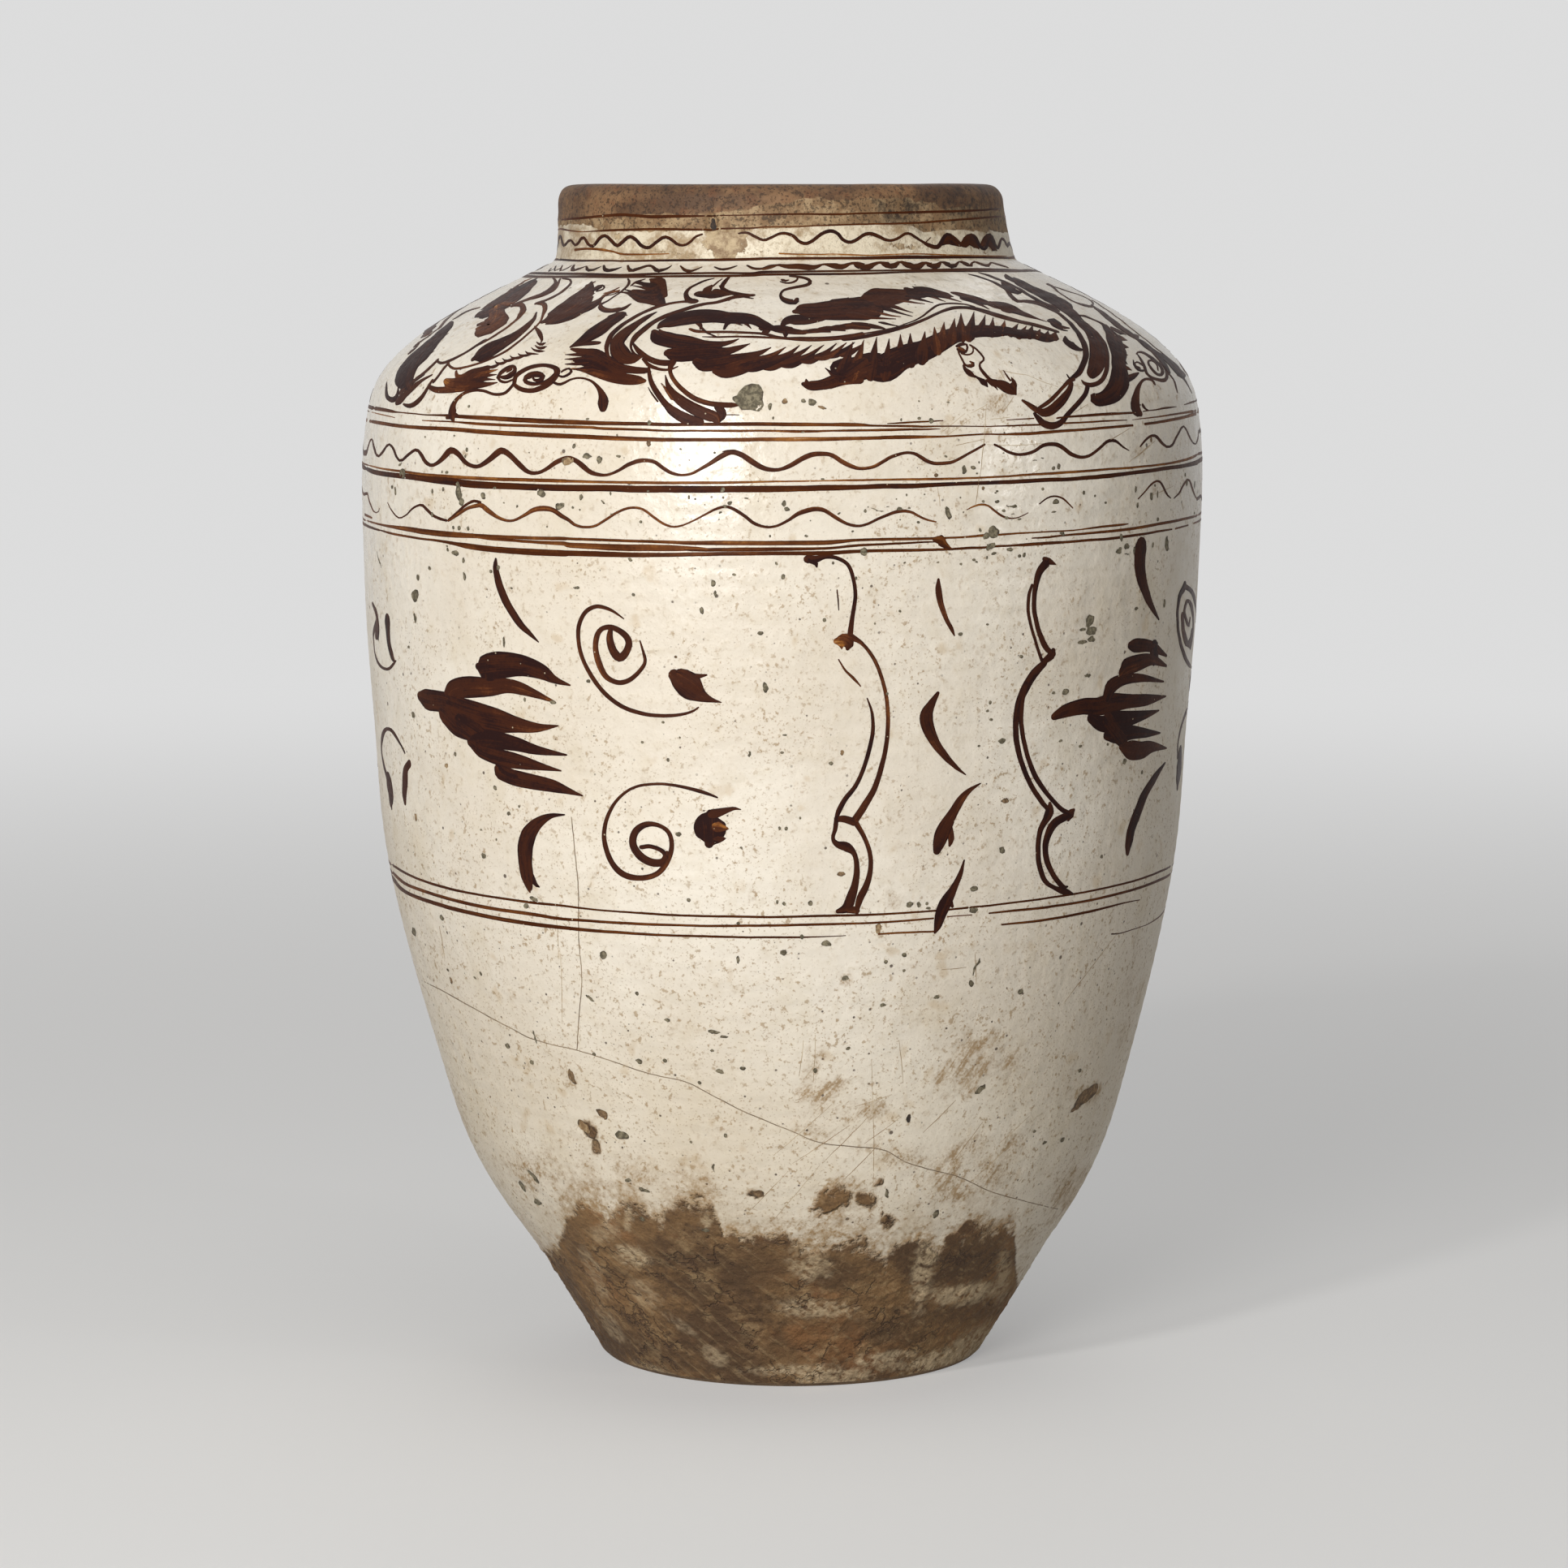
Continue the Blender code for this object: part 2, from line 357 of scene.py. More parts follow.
# Lines painted round the jar, and the neck's dabs: each a list of pieces, and each piece followed from
# enlargement to enlargement as (x, y, width)
bandLines = {}
bandLines["shoulderLineA"] = [
    [("bandsLeft", [(90, 58, 25.3), (150, 68, 23), (210, 80, 18.4), (240, 84, 9.2), (330, 92, 9.2),
     (420, 100, 9.2), (540, 103, 16.1), (620, 110, 23), (800, 120, 27.6), (1000, 132, 29.9),
     (1200, 140, 29.9), (1320, 145, 29.9)]), ("bandsMid", [(200, 150, 25.3), (400, 153, 23),
     (600, 158, 20.7), (800, 157, 20.7), (1000, 156, 23), (1200, 156, 23), (1400, 158, 23)]),
     ("bandsRight", [(0, 196, 25.3), (120, 196, 29.9), (240, 198, 25.3), (330, 203, 16.1), (450, 205, 16.1),
     (600, 207, 18.4), (700, 210, 16.1), (850, 208, 11.5), (1000, 208, 9.2), (1150, 210, 9.2),
     (1250, 208, 9.2), (1350, 204, 11.5), (1450, 200, 13.8)]), ("bandsEdge", [(250, 197, 13.8),
     (400, 188, 13.8), (550, 180, 13.8), (700, 172, 13.8), (800, 166, 11.5), (890, 163, 6.9)])],
    [("bandsEdge", [(930, 160, 4.6), (1120, 138, 11.5), (1200, 126, 13.8), (1300, 110, 16.1),
     (1400, 95, 23), (1420, 80, 9.2)])],
]
bandLines["shoulderLineStub"] = [
    [("bandsRight", [(440, 188, 8), (540, 183, 14), (650, 176, 14), (760, 172, 12), (850, 166, 8)])],
    [("bandsEdge", [(0, 160, 6), (80, 156, 8), (200, 150, 10)])],
    [("bandsEdge", [(370, 148, 14), (480, 136, 16), (600, 128, 20), (750, 118, 22), (850, 113, 18),
     (950, 108, 16)])],
    [("bandsEdge", [(1010, 98, 8), (1110, 84, 10), (1180, 72, 16), (1260, 62, 6)])],
    [("bandsEdge", [(1320, 48, 6), (1390, 25, 18)])],
]
bandLines["shoulderLineB"] = [
    [("bandsLeft", [(70, 80, 5.06), (150, 100, 7.59), (225, 117, 5.06)])],
    [("bandsLeft", [(390, 133, 6.38), (460, 137, 8.8), (580, 142, 10.1), (700, 152, 17.7), (850, 160, 17.7),
     (1000, 165, 17.7), (1200, 170, 20.2), (1400, 176, 17.7)]), ("bandsMid", [(200, 182, 17.7),
     (400, 188, 15.2), (600, 196, 12.7), (800, 196, 12.7), (1000, 197, 15.2), (1200, 196, 12.7),
     (1400, 200, 17.7)]), ("bandsRight", [(0, 243, 15.2), (150, 240, 17.7), (300, 238, 17.7),
     (450, 235, 20.2), (600, 232, 17.7), (750, 230, 12.7), (830, 228, 5.06)])],
]
bandLines["shoulderLineC"] = [
    [("bandsLeft", [(55, 133, 20), (130, 148, 22), (200, 160, 22), (300, 172, 22), (400, 178, 24),
     (500, 183, 24), (620, 190, 26), (730, 200, 28), (850, 208, 28), (1000, 216, 30), (1200, 226, 30),
     (1400, 234, 28)]), ("bandsMid", [(200, 238, 28), (400, 245, 26), (600, 250, 24), (800, 250, 22),
     (1000, 250, 24), (1200, 248, 24), (1400, 247, 26)]), ("bandsRight", [(0, 303, 30), (150, 300, 28),
     (300, 296, 26), (450, 291, 28), (600, 289, 28), (750, 287, 20), (900, 282, 14), (1000, 276, 14),
     (1100, 270, 14), (1170, 268, 12), (1300, 268, 14), (1400, 265, 22), (1500, 262, 24)]),
     ("bandsEdge", [(300, 252, 24), (420, 243, 22), (550, 234, 20), (700, 222, 20), (850, 208, 20),
     (935, 200, 16)])],
    [("bandsEdge", [(1025, 192, 20), (1100, 182, 20), (1200, 165, 22), (1300, 145, 22), (1400, 115, 26),
     (1420, 100, 14)])],
]
bandLines["upperWave"] = [
    [("bandsLeft", [(52, 330, 12), (60, 310, 12), (82, 243, 9.6), (100, 300, 12), (120, 350, 14.4),
     (150, 325, 14.4), (185, 278, 14.4), (215, 305, 14.4), (235, 355, 14.4), (260, 377, 16.8),
     (300, 345, 16.8), (350, 310, 19.2), (380, 335, 21.6), (410, 385, 24), (450, 405, 21.6),
     (500, 375, 26.4), (550, 322, 40.8), (575, 315, 38.4), (610, 340, 31.2), (660, 395, 26.4),
     (720, 412, 24), (780, 380, 31.2), (850, 322, 40.8), (880, 318, 38.4), (920, 345, 33.6),
     (980, 405, 33.6), (1030, 445, 26.4), (1085, 450, 21.6), (1140, 425, 24), (1200, 385, 28.8),
     (1265, 360, 28.8)]), ("bandsMid", [(40, 375, 28.8), (80, 405, 33.6), (130, 445, 28.8),
     (190, 462, 21.6), (240, 460, 16.8), (300, 435, 19.2), (360, 400, 24), (420, 378, 26.4), (470, 375, 24),
     (520, 385, 24), (570, 420, 24), (620, 450, 21.6), (680, 463, 16.8), (740, 455, 16.8), (790, 430, 19.2),
     (850, 395, 24), (920, 350, 31.2), (975, 325, 31.2), (1010, 328, 33.6), (1060, 350, 33.6),
     (1110, 385, 36), (1170, 420, 31.2), (1230, 433, 24), (1280, 428, 21.6), (1340, 405, 28.8),
     (1400, 370, 31.2), (1460, 342, 31.2), (1510, 335, 28.8)]), ("bandsRight", [(0, 415, 31.2),
     (50, 435, 33.6), (100, 470, 36), (160, 500, 33.6), (220, 520, 26.4), (280, 520, 24), (340, 508, 26.4),
     (400, 475, 26.4), (460, 440, 26.4), (520, 418, 24), (580, 405, 21.6), (640, 412, 24), (690, 440, 28.8),
     (740, 470, 28.8), (800, 485, 26.4), (870, 482, 26.4), (920, 475, 24), (980, 445, 21.6),
     (1040, 412, 19.2), (1100, 380, 19.2), (1160, 345, 16.8)])],
    [("bandsRight", [(1235, 345, 16.8), (1280, 365, 19.2), (1330, 395, 21.6)]),
     ("bandsEdge", [(50, 412, 24), (90, 418, 21.6), (150, 412, 24), (210, 390, 24), (260, 355, 26.4),
     (310, 342, 28.8), (370, 345, 31.2), (420, 370, 31.2), (470, 410, 31.2), (530, 435, 26.4),
     (580, 435, 24), (630, 415, 21.6), (690, 370, 21.6), (740, 325, 24), (785, 312, 26.4), (820, 325, 19.2),
     (860, 360, 14.4), (905, 388, 7.2)])],
    [("bandsEdge", [(990, 358, 9.6), (1030, 310, 16.8), (1070, 280, 19.2), (1110, 285, 21.6),
     (1150, 330, 21.6), (1190, 360, 19.2), (1230, 345, 16.8), (1270, 270, 14.4), (1305, 210, 14.4),
     (1330, 230, 12), (1370, 310, 10.8), (1398, 343, 10.8), (1420, 300, 9.6), (1425, 250, 7.2)])],
]
bandLines["upperWaveHook"] = [
    [("bandsMid", [(930, 322, 6), (960, 314, 8), (1000, 318, 8)])],
]
bandLines["middleThin"] = [
    [("bandsLeft", [(62, 403, 8), (150, 425, 12), (260, 440, 16), (400, 460, 18), (550, 472, 20),
     (700, 482, 22), (900, 490, 22), (1100, 495, 22), (1250, 499, 22)]), ("bandsMid", [(0, 500, 18),
     (200, 505, 16), (400, 508, 18), (600, 510, 18), (800, 510, 18), (1000, 508, 16), (1200, 503, 12),
     (1400, 500, 10), (1568, 497, 10)]), ("bandsRight", [(200, 609, 16), (400, 606, 16), (600, 602, 18),
     (800, 600, 20), (1000, 595, 16), (1150, 590, 16), (1300, 582, 16)]), ("bandsEdge", [(150, 568, 18),
     (300, 560, 20), (450, 550, 20), (600, 540, 20), (750, 528, 18), (900, 517, 18), (1050, 503, 16),
     (1200, 485, 18), (1350, 450, 20), (1425, 412, 18)])],
]
bandLines["middleThick"] = [
    [("bandsLeft", [(45, 420, 20.2), (100, 445, 29.1), (200, 462, 31.4), (300, 472, 33.6), (400, 485, 38.1),
     (550, 502, 44.8), (700, 520, 44.8), (900, 530, 40.3), (1100, 538, 40.3), (1300, 542, 40.3),
     (1500, 542, 40.3)]), ("bandsMid", [(400, 548, 42.6), (600, 548, 42.6), (800, 550, 42.6),
     (1000, 548, 40.3), (1200, 547, 40.3), (1400, 544, 35.8), (1568, 540, 35.8)]),
     ("bandsRight", [(200, 662, 38.1), (400, 654, 38.1), (600, 652, 38.1), (750, 645, 33.6),
     (900, 638, 29.1), (1050, 633, 29.1), (1200, 628, 29.1), (1350, 622, 31.4)]),
     ("bandsEdge", [(200, 612, 31.4), (350, 604, 31.4), (450, 602, 29.1), (600, 590, 31.4),
     (750, 578, 33.6), (900, 558, 29.1), (1050, 540, 29.1), (1200, 518, 29.1), (1300, 505, 29.1),
     (1400, 480, 33.6), (1430, 462, 29.1)])],
]
bandLines["lowerWave"] = [
    [("bandsLeft", [(60, 575, 4.48), (75, 630, 6.72), (95, 680, 6.72), (120, 690, 5.6), (130, 665, 3.36)])],
    [("bandsLeft", [(180, 630, 3.36), (205, 680, 6.72), (245, 722, 8.96), (290, 705, 8.96),
     (330, 665, 11.2), (380, 643, 15.7), (410, 665, 17.9), (450, 705, 17.9), (490, 725, 17.9),
     (535, 738, 15.7)])],
    [("bandsLeft", [(545, 735, 13.4), (600, 690, 15.7), (650, 645, 15.7), (700, 620, 17.9),
     (740, 628, 17.9)])],
    [("bandsLeft", [(545, 738, 15.7), (600, 705, 17.9), (660, 665, 20.2), (710, 650, 24.6),
     (745, 645, 29.1), (790, 680, 29.1), (840, 715, 22.4), (900, 738, 17.9), (950, 735, 15.7),
     (1010, 705, 20.2), (1060, 675, 29.1), (1120, 665, 33.6), (1180, 675, 29.1), (1230, 710, 26.9)]),
     ("bandsMid", [(0, 735, 22.4), (40, 765, 17.9), (100, 778, 15.7), (160, 770, 15.7), (220, 735, 15.7),
     (290, 690, 15.7), (350, 665, 15.7), (400, 660, 15.7), (450, 672, 15.7), (510, 715, 15.7),
     (570, 755, 15.7), (630, 775, 13.4), (690, 765, 11.2), (760, 735, 11.2), (830, 698, 13.4),
     (890, 668, 15.7), (950, 655, 17.9), (1000, 672, 20.2), (1060, 710, 20.2), (1120, 755, 20.2),
     (1190, 777, 15.7), (1250, 772, 15.7), (1320, 740, 17.9), (1380, 700, 24.6), (1430, 680, 29.1),
     (1480, 668, 29.1), (1530, 672, 26.9)]), ("bandsRight", [(0, 850, 29.1), (60, 890, 29.1),
     (120, 925, 24.6), (180, 945, 22.4), (240, 948, 20.2), (300, 930, 20.2), (370, 895, 20.2),
     (440, 868, 22.4), (500, 845, 24.6), (560, 838, 24.6), (620, 848, 20.2), (680, 880, 17.9),
     (740, 905, 15.7), (800, 918, 11.2)])],
    [("bandsRight", [(1030, 830, 6.72), (1080, 805, 13.4), (1140, 790, 15.7), (1190, 800, 15.7),
     (1240, 840, 17.9), (1290, 875, 17.9), (1340, 892, 13.4), (1400, 890, 8.96), (1450, 870, 7.84),
     (1485, 852, 6.72)])],
    [("bandsEdge", [(245, 785, 8.96), (290, 748, 11.2), (340, 728, 13.4), (400, 735, 13.4),
     (440, 762, 13.4), (490, 815, 8.96)])],
    [("bandsEdge", [(975, 748, 7.84), (1020, 700, 10.1), (1070, 640, 13.4), (1120, 612, 15.7),
     (1150, 640, 15.7), (1190, 715, 13.4), (1215, 742, 8.96)])],
    [("bandsEdge", [(1240, 742, 8.96), (1280, 705, 11.2), (1310, 645, 13.4), (1345, 600, 13.4),
     (1370, 650, 13.4), (1395, 725, 10.1), (1410, 748, 6.72)])],
]
bandLines["bellyTop"] = [
    [("bandsLeft", [(45, 735, 12), (150, 765, 14), (300, 790, 30), (450, 812, 36), (600, 825, 34),
     (750, 833, 26), (900, 838, 22), (1100, 845, 22), (1250, 848, 22)]), ("bandsMid", [(0, 848, 18),
     (200, 855, 18), (400, 862, 18), (600, 868, 20), (740, 873, 24), (900, 873, 28), (1100, 874, 28),
     (1300, 874, 28), (1568, 870, 28)]), ("bandsRight", [(200, 1055, 22), (400, 1048, 22), (600, 1046, 22),
     (780, 1042, 20), (880, 1038, 16), (1000, 1033, 16), (1150, 1020, 20), (1300, 1012, 16),
     (1450, 1002, 14)]), ("bandsEdge", [(300, 992, 12), (450, 985, 12), (550, 975, 10), (620, 965, 14),
     (750, 950, 18), (850, 940, 18), (900, 934, 8)])],
    [("bandsLeft", [(45, 702, 16), (88, 722, 12)])],
]
bandLines["bellyMiddle"] = [
    [("bandsLeft", [(700, 838, 10), (800, 850, 14), (900, 856, 16), (1100, 870, 20), (1250, 878, 26)]),
     ("bandsMid", [(0, 886, 32), (150, 894, 36), (290, 900, 40), (490, 903, 40), (640, 905, 36),
     (760, 908, 26), (850, 912, 14)])],
    [("bandsMid", [(700, 914, 8), (760, 915, 20), (1000, 913, 24), (1300, 911, 22), (1568, 905, 16)]),
     ("bandsRight", [(200, 1095, 20), (400, 1085, 18), (550, 1078, 16), (700, 1070, 14), (785, 1068, 10)])],
]
bandLines["bellyBottom"] = [
    [("bandsLeft", [(130, 795, 8), (200, 815, 14), (300, 835, 14), (400, 850, 14), (500, 862, 16),
     (600, 880, 24), (660, 892, 34), (760, 905, 36), (900, 918, 38), (1100, 930, 40), (1250, 936, 38)]),
     ("bandsMid", [(0, 935, 34), (200, 940, 34), (400, 945, 30), (600, 945, 26), (800, 941, 25),
     (1000, 938, 24), (1300, 936, 24), (1568, 934, 26)]), ("bandsRight", [(200, 1138, 26), (400, 1132, 24),
     (600, 1130, 24), (800, 1126, 20), (900, 1122, 18), (1050, 1113, 20), (1150, 1110, 18),
     (1250, 1100, 18), (1360, 1095, 16)]), ("bandsEdge", [(90, 1092, 20), (150, 1088, 24), (300, 1078, 24),
     (450, 1068, 20), (600, 1055, 20), (750, 1045, 20), (900, 1025, 20), (1050, 1003, 18), (1150, 985, 16),
     (1225, 973, 12)])],
    [("bandsEdge", [(1250, 968, 14), (1345, 943, 12)])],
    [("bandsEdge", [(1385, 930, 10), (1425, 912, 16)])],
]
bandLines["bellyInner"] = [
    [("bandsRight", [(785, 1048, 30), (820, 1050, 60), (850, 1060, 60), (870, 1085, 30), (920, 1118, 5)])],
    [("bandsEdge", [(190, 1040, 10), (300, 1034, 16), (420, 1020, 16), (550, 1008, 18), (700, 995, 20),
     (850, 980, 22), (1000, 958, 22), (1150, 930, 22), (1300, 900, 20), (1400, 875, 18), (1425, 862, 14)])],
]
bandLines["footThin"] = [
    [("lowerLeft", [(112, 8, 8.1), (160, 38, 8.1), (220, 65, 8.1), (300, 90, 9.5), (400, 112, 8.1),
     (500, 128, 8.1), (600, 142, 9.5), (700, 152, 8.1), (800, 165, 6.8), (900, 173, 6.8), (1000, 180, 8.1),
     (1100, 186, 8.1), (1200, 189, 8.1)]), ("lowerRight", [(0, 184, 8.1), (150, 186, 8.1), (300, 182, 8.1),
     (450, 178, 8.1), (600, 170, 6.8), (750, 158, 6.8), (900, 142, 6.8), (1050, 122, 6.8), (1200, 98, 6.8),
     (1350, 62, 6.8), (1440, 28, 6.8), (1478, 5, 5.4)])],
]
bandLines["footMiddle"] = [
    [("lowerLeft", [(115, 35, 9.6), (160, 75, 9.6), (220, 100, 10.8), (300, 125, 10.8), (400, 150, 12),
     (500, 168, 12), (600, 182, 12), (700, 198, 10.8), (800, 205, 9.6), (900, 212, 9.6), (1000, 217, 9.6),
     (1100, 220, 8.4), (1200, 223, 8.4)]), ("lowerRight", [(0, 215, 8.4), (150, 214, 8.4), (300, 210, 8.4),
     (450, 206, 7.2), (580, 198, 7.2), (672, 190, 6)])],
    [("lowerRight", [(720, 184, 3.6), (800, 178, 3.6)])],
    [("lowerRight", [(858, 172, 6), (960, 162, 8.4), (1050, 152, 8.4), (1200, 128, 8.4), (1350, 90, 8.4),
     (1440, 55, 8.4), (1478, 30, 6)])],
]
bandLines["footLow"] = [
    [("lowerLeft", [(118, 55, 9.2), (150, 95, 11.5), (200, 122, 12.6), (300, 155, 13.8), (400, 180, 13.8),
     (500, 200, 13.8), (600, 216, 13.8), (700, 228, 12.6), (800, 238, 11.5), (900, 245, 10.3),
     (1000, 252, 9.2), (1100, 256, 8), (1250, 260, 8)]), ("lowerRight", [(50, 253, 6.9), (100, 253, 6.9),
     (200, 253, 6.9), (270, 252, 4.6), (380, 248, 2.3)])],
    [("lowerRight", [(490, 242, 5.8), (580, 237, 6.9), (680, 233, 5.8)])],
    [("lowerRight", [(900, 210, 5.8), (1000, 200, 8), (1100, 185, 8), (1200, 165, 8), (1310, 138, 4.6),
     (1360, 128, 2.3)])],
    [("lowerRight", [(1265, 242, 4.6), (1300, 238, 3.4), (1380, 212, 2.3)])],
]
bandLines["rimLine"] = [
    [("neckLeft", [(232, 348, 12), (350, 338, 14), (480, 326, 16), (600, 315, 18), (700, 320, 18),
     (800, 326, 20), (950, 322, 18), (1080, 320, 12), (1200, 316, 8), (1400, 312, 8)]),
     ("neckRight", [(0, 292, 10), (200, 288, 10), (400, 290, 12), (600, 285, 10), (800, 283, 14),
     (1000, 280, 14), (1200, 276, 12), (1365, 265, 10)])],
]
bandLines["neckLine"] = [
    [("neckLeft", [(370, 418, 6), (450, 414, 8), (550, 408, 14), (700, 403, 14), (850, 400, 16),
     (1000, 402, 14), (1140, 402, 14), (1200, 396, 12), (1400, 392, 10)]), ("neckRight", [(0, 363, 8),
     (150, 360, 8), (300, 356, 8), (450, 350, 10), (600, 347, 10), (750, 345, 12), (900, 340, 12),
     (1050, 330, 12), (1200, 320, 12), (1365, 308, 10)])],
]
bandLines["neckWave"] = [
    [("neckLeft", [(222, 510, 12), (240, 440, 14), (262, 500, 16), (300, 465, 14), (335, 498, 16),
     (378, 450, 18), (410, 490, 18), (440, 502, 18), (480, 455, 20), (515, 440, 20), (550, 470, 22),
     (585, 500, 22), (620, 475, 22), (660, 445, 22), (700, 465, 22), (730, 498, 22), (775, 512, 20),
     (820, 480, 20), (870, 448, 20), (910, 460, 20), (950, 490, 18), (990, 497, 16), (1030, 475, 16),
     (1060, 445, 14), (1100, 430, 12)])],
    [("neckRight", [(925, 448, 6), (950, 425, 5)])],
    [("neckWhole", [(1284, 207, 5), (1300, 193, 22), (1318, 186, 32), (1336, 197, 16), (1346, 206, 5)])],
    [("neckWhole", [(1350, 207, 5), (1366, 192, 26), (1384, 188, 38), (1398, 199, 24), (1406, 212, 6)])],
    [("neckWhole", [(1412, 207, 5), (1426, 194, 30), (1440, 190, 40), (1452, 203, 26), (1460, 216, 6)])],
    [("neckLeft", [(1320, 425, 10), (1370, 420, 16), (1420, 445, 18)]), ("neckRight", [(0, 438, 16),
     (40, 425, 16), (90, 402, 16), (130, 400, 18), (170, 415, 20), (200, 445, 20), (240, 458, 20),
     (280, 440, 20), (330, 402, 20), (380, 385, 22), (420, 400, 20), (450, 435, 20), (490, 450, 20),
     (530, 435, 20), (570, 408, 20), (610, 402, 22), (660, 420, 20), (690, 435, 18), (730, 440, 16),
     (770, 425, 16), (800, 405, 16), (830, 402, 16), (860, 420, 16), (900, 445, 14), (935, 465, 22),
     (975, 478, 24), (1000, 470, 26), (1030, 415, 20), (1055, 408, 16), (1090, 435, 18), (1130, 470, 18),
     (1158, 468, 18), (1176, 415, 20), (1200, 425, 20), (1230, 475, 20), (1262, 486, 18), (1282, 420, 20),
     (1302, 440, 20), (1330, 485, 18), (1355, 430, 14), (1385, 470, 10)])],
]
bandLines["neckSmears"] = [
    [("neckLeft", [(330, 525, 16), (400, 518, 14), (480, 522, 16), (560, 535, 12), (620, 550, 12),
     (750, 552, 10), (900, 548, 6)])],
    [("neckRight", [(90, 515, 10), (250, 520, 8), (430, 520, 10), (600, 525, 8), (750, 520, 9),
     (900, 517, 8), (1100, 525, 7), (1380, 530, 5)])],
]
bandLines["neckBase"] = [
    [("neckLeft", [(222, 582, 14), (350, 590, 14), (500, 590, 12), (650, 592, 12), (800, 590, 14),
     (1000, 588, 16), (1200, 586, 18), (1400, 582, 18)]), ("neckRight", [(0, 545, 16), (200, 543, 16),
     (400, 542, 16), (600, 540, 18), (800, 535, 20), (1000, 535, 18), (1200, 537, 14), (1390, 540, 12)])],
]
bandLines["dabLineTop"] = [
    [("neckLeft", [(90, 665, 14), (250, 667, 14), (400, 670, 14), (600, 675, 14), (800, 670, 14),
     (1000, 668, 12), (1200, 665, 12), (1400, 667, 12)]), ("neckRight", [(0, 622, 14), (200, 620, 12),
     (400, 616, 12), (600, 612, 12), (800, 608, 12), (1000, 604, 12), (1200, 604, 12), (1400, 608, 10),
     (1520, 612, 8)])],
]
bandLines["dabLineLow"] = [
    [("neckLeft", [(80, 685, 16), (250, 686, 16), (400, 686, 16), (600, 686, 16), (800, 686, 14),
     (1000, 684, 14), (1200, 682, 14), (1400, 680, 14)]), ("neckRight", [(0, 636, 12), (200, 634, 12),
     (400, 632, 12), (600, 628, 12), (800, 620, 10), (1000, 614, 8)])],
]
bandLines["dabs"] = [
    [("neckLeft", [(185, 635, 5), (170, 655, 8), (200, 640, 4)])],
    [("neckLeft", [(215, 622, 6), (205, 650, 10), (240, 635, 6)])],
    [("neckLeft", [(255, 618, 8), (240, 650, 14), (280, 635, 10), (310, 618, 4)])],
    [("neckLeft", [(325, 615, 12), (312, 645, 24), (350, 640, 16), (395, 622, 4)])],
    [("neckLeft", [(400, 622, 12), (408, 645, 22), (440, 645, 16), (485, 625, 4)])],
    [("neckLeft", [(505, 618, 14), (515, 645, 26), (560, 645, 18), (610, 628, 4)])],
    [("neckLeft", [(650, 618, 14), (665, 648, 24), (720, 635, 16), (770, 620, 14), (800, 625, 16),
     (830, 650, 26), (880, 640, 14), (915, 620, 4)])],
    [("neckLeft", [(968, 622, 8), (1000, 650, 22), (1040, 652, 14), (1098, 628, 4)])],
    [("neckLeft", [(1175, 628, 8), (1210, 642, 14), (1250, 640, 14), (1308, 622, 5)])],
    [("neckLeft", [(1372, 620, 10), (1410, 638, 16), (1460, 640, 14), (1510, 622, 10), (1568, 618, 8)])],
    [("neckRight", [(0, 605, 14), (40, 595, 16), (80, 582, 12), (140, 590, 26), (200, 590, 32),
     (260, 595, 34), (300, 590, 22), (340, 578, 10), (400, 585, 30), (440, 590, 32), (500, 572, 12),
     (540, 580, 36), (580, 592, 40), (620, 578, 24), (660, 566, 14), (700, 578, 32), (740, 582, 32),
     (775, 562, 14), (820, 578, 32), (870, 585, 36), (905, 570, 22), (920, 565, 12), (960, 582, 36),
     (990, 578, 28), (1010, 562, 10), (1060, 580, 30), (1090, 580, 20), (1110, 562, 8), (1150, 575, 24),
     (1180, 585, 20), (1190, 562, 8), (1240, 578, 20), (1280, 585, 14), (1285, 568, 8), (1330, 578, 16),
     (1380, 592, 10)])],
]

# Strokes of the leaves, scrolls and sprays: each group's enlargement, then its strokes as (x, y, width)
handDrawn = {}
handDrawn["leftCartoucheLeaves"] = "shoulderLeft", [
    [(1075, 110, 10), (1040, 130, 40), (990, 165, 70), (930, 208, 90), (880, 250, 98), (830, 288, 88),
     (780, 305, 50)],
    [(840, 285, 90), (838, 330, 84), (822, 368, 100), (790, 395, 90), (752, 405, 60), (730, 408, 20)],
    [(835, 335, 26), (862, 345, 16), (885, 350, 6)], [(1020, 120, 14), (1045, 112, 6)],
    [(985, 140, 16), (1008, 122, 5)], [(950, 165, 18), (968, 146, 5)], [(905, 195, 18), (925, 172, 5)],
    [(880, 260, 30), (930, 262, 18), (962, 240, 5)],
    [(735, 285, 5), (690, 297, 12), (640, 318, 20), (595, 345, 16)],
    [(560, 372, 8), (540, 395, 30), (500, 440, 54), (450, 490, 72), (400, 540, 92), (355, 590, 110),
     (325, 640, 114), (305, 690, 104), (305, 735, 84), (320, 765, 50)],
    [(470, 425, 14), (500, 405, 4)], [(430, 455, 16), (462, 432, 4)], [(395, 480, 18), (432, 452, 4)],
    [(360, 505, 20), (398, 478, 4)], [(330, 545, 22), (372, 505, 4)],
]
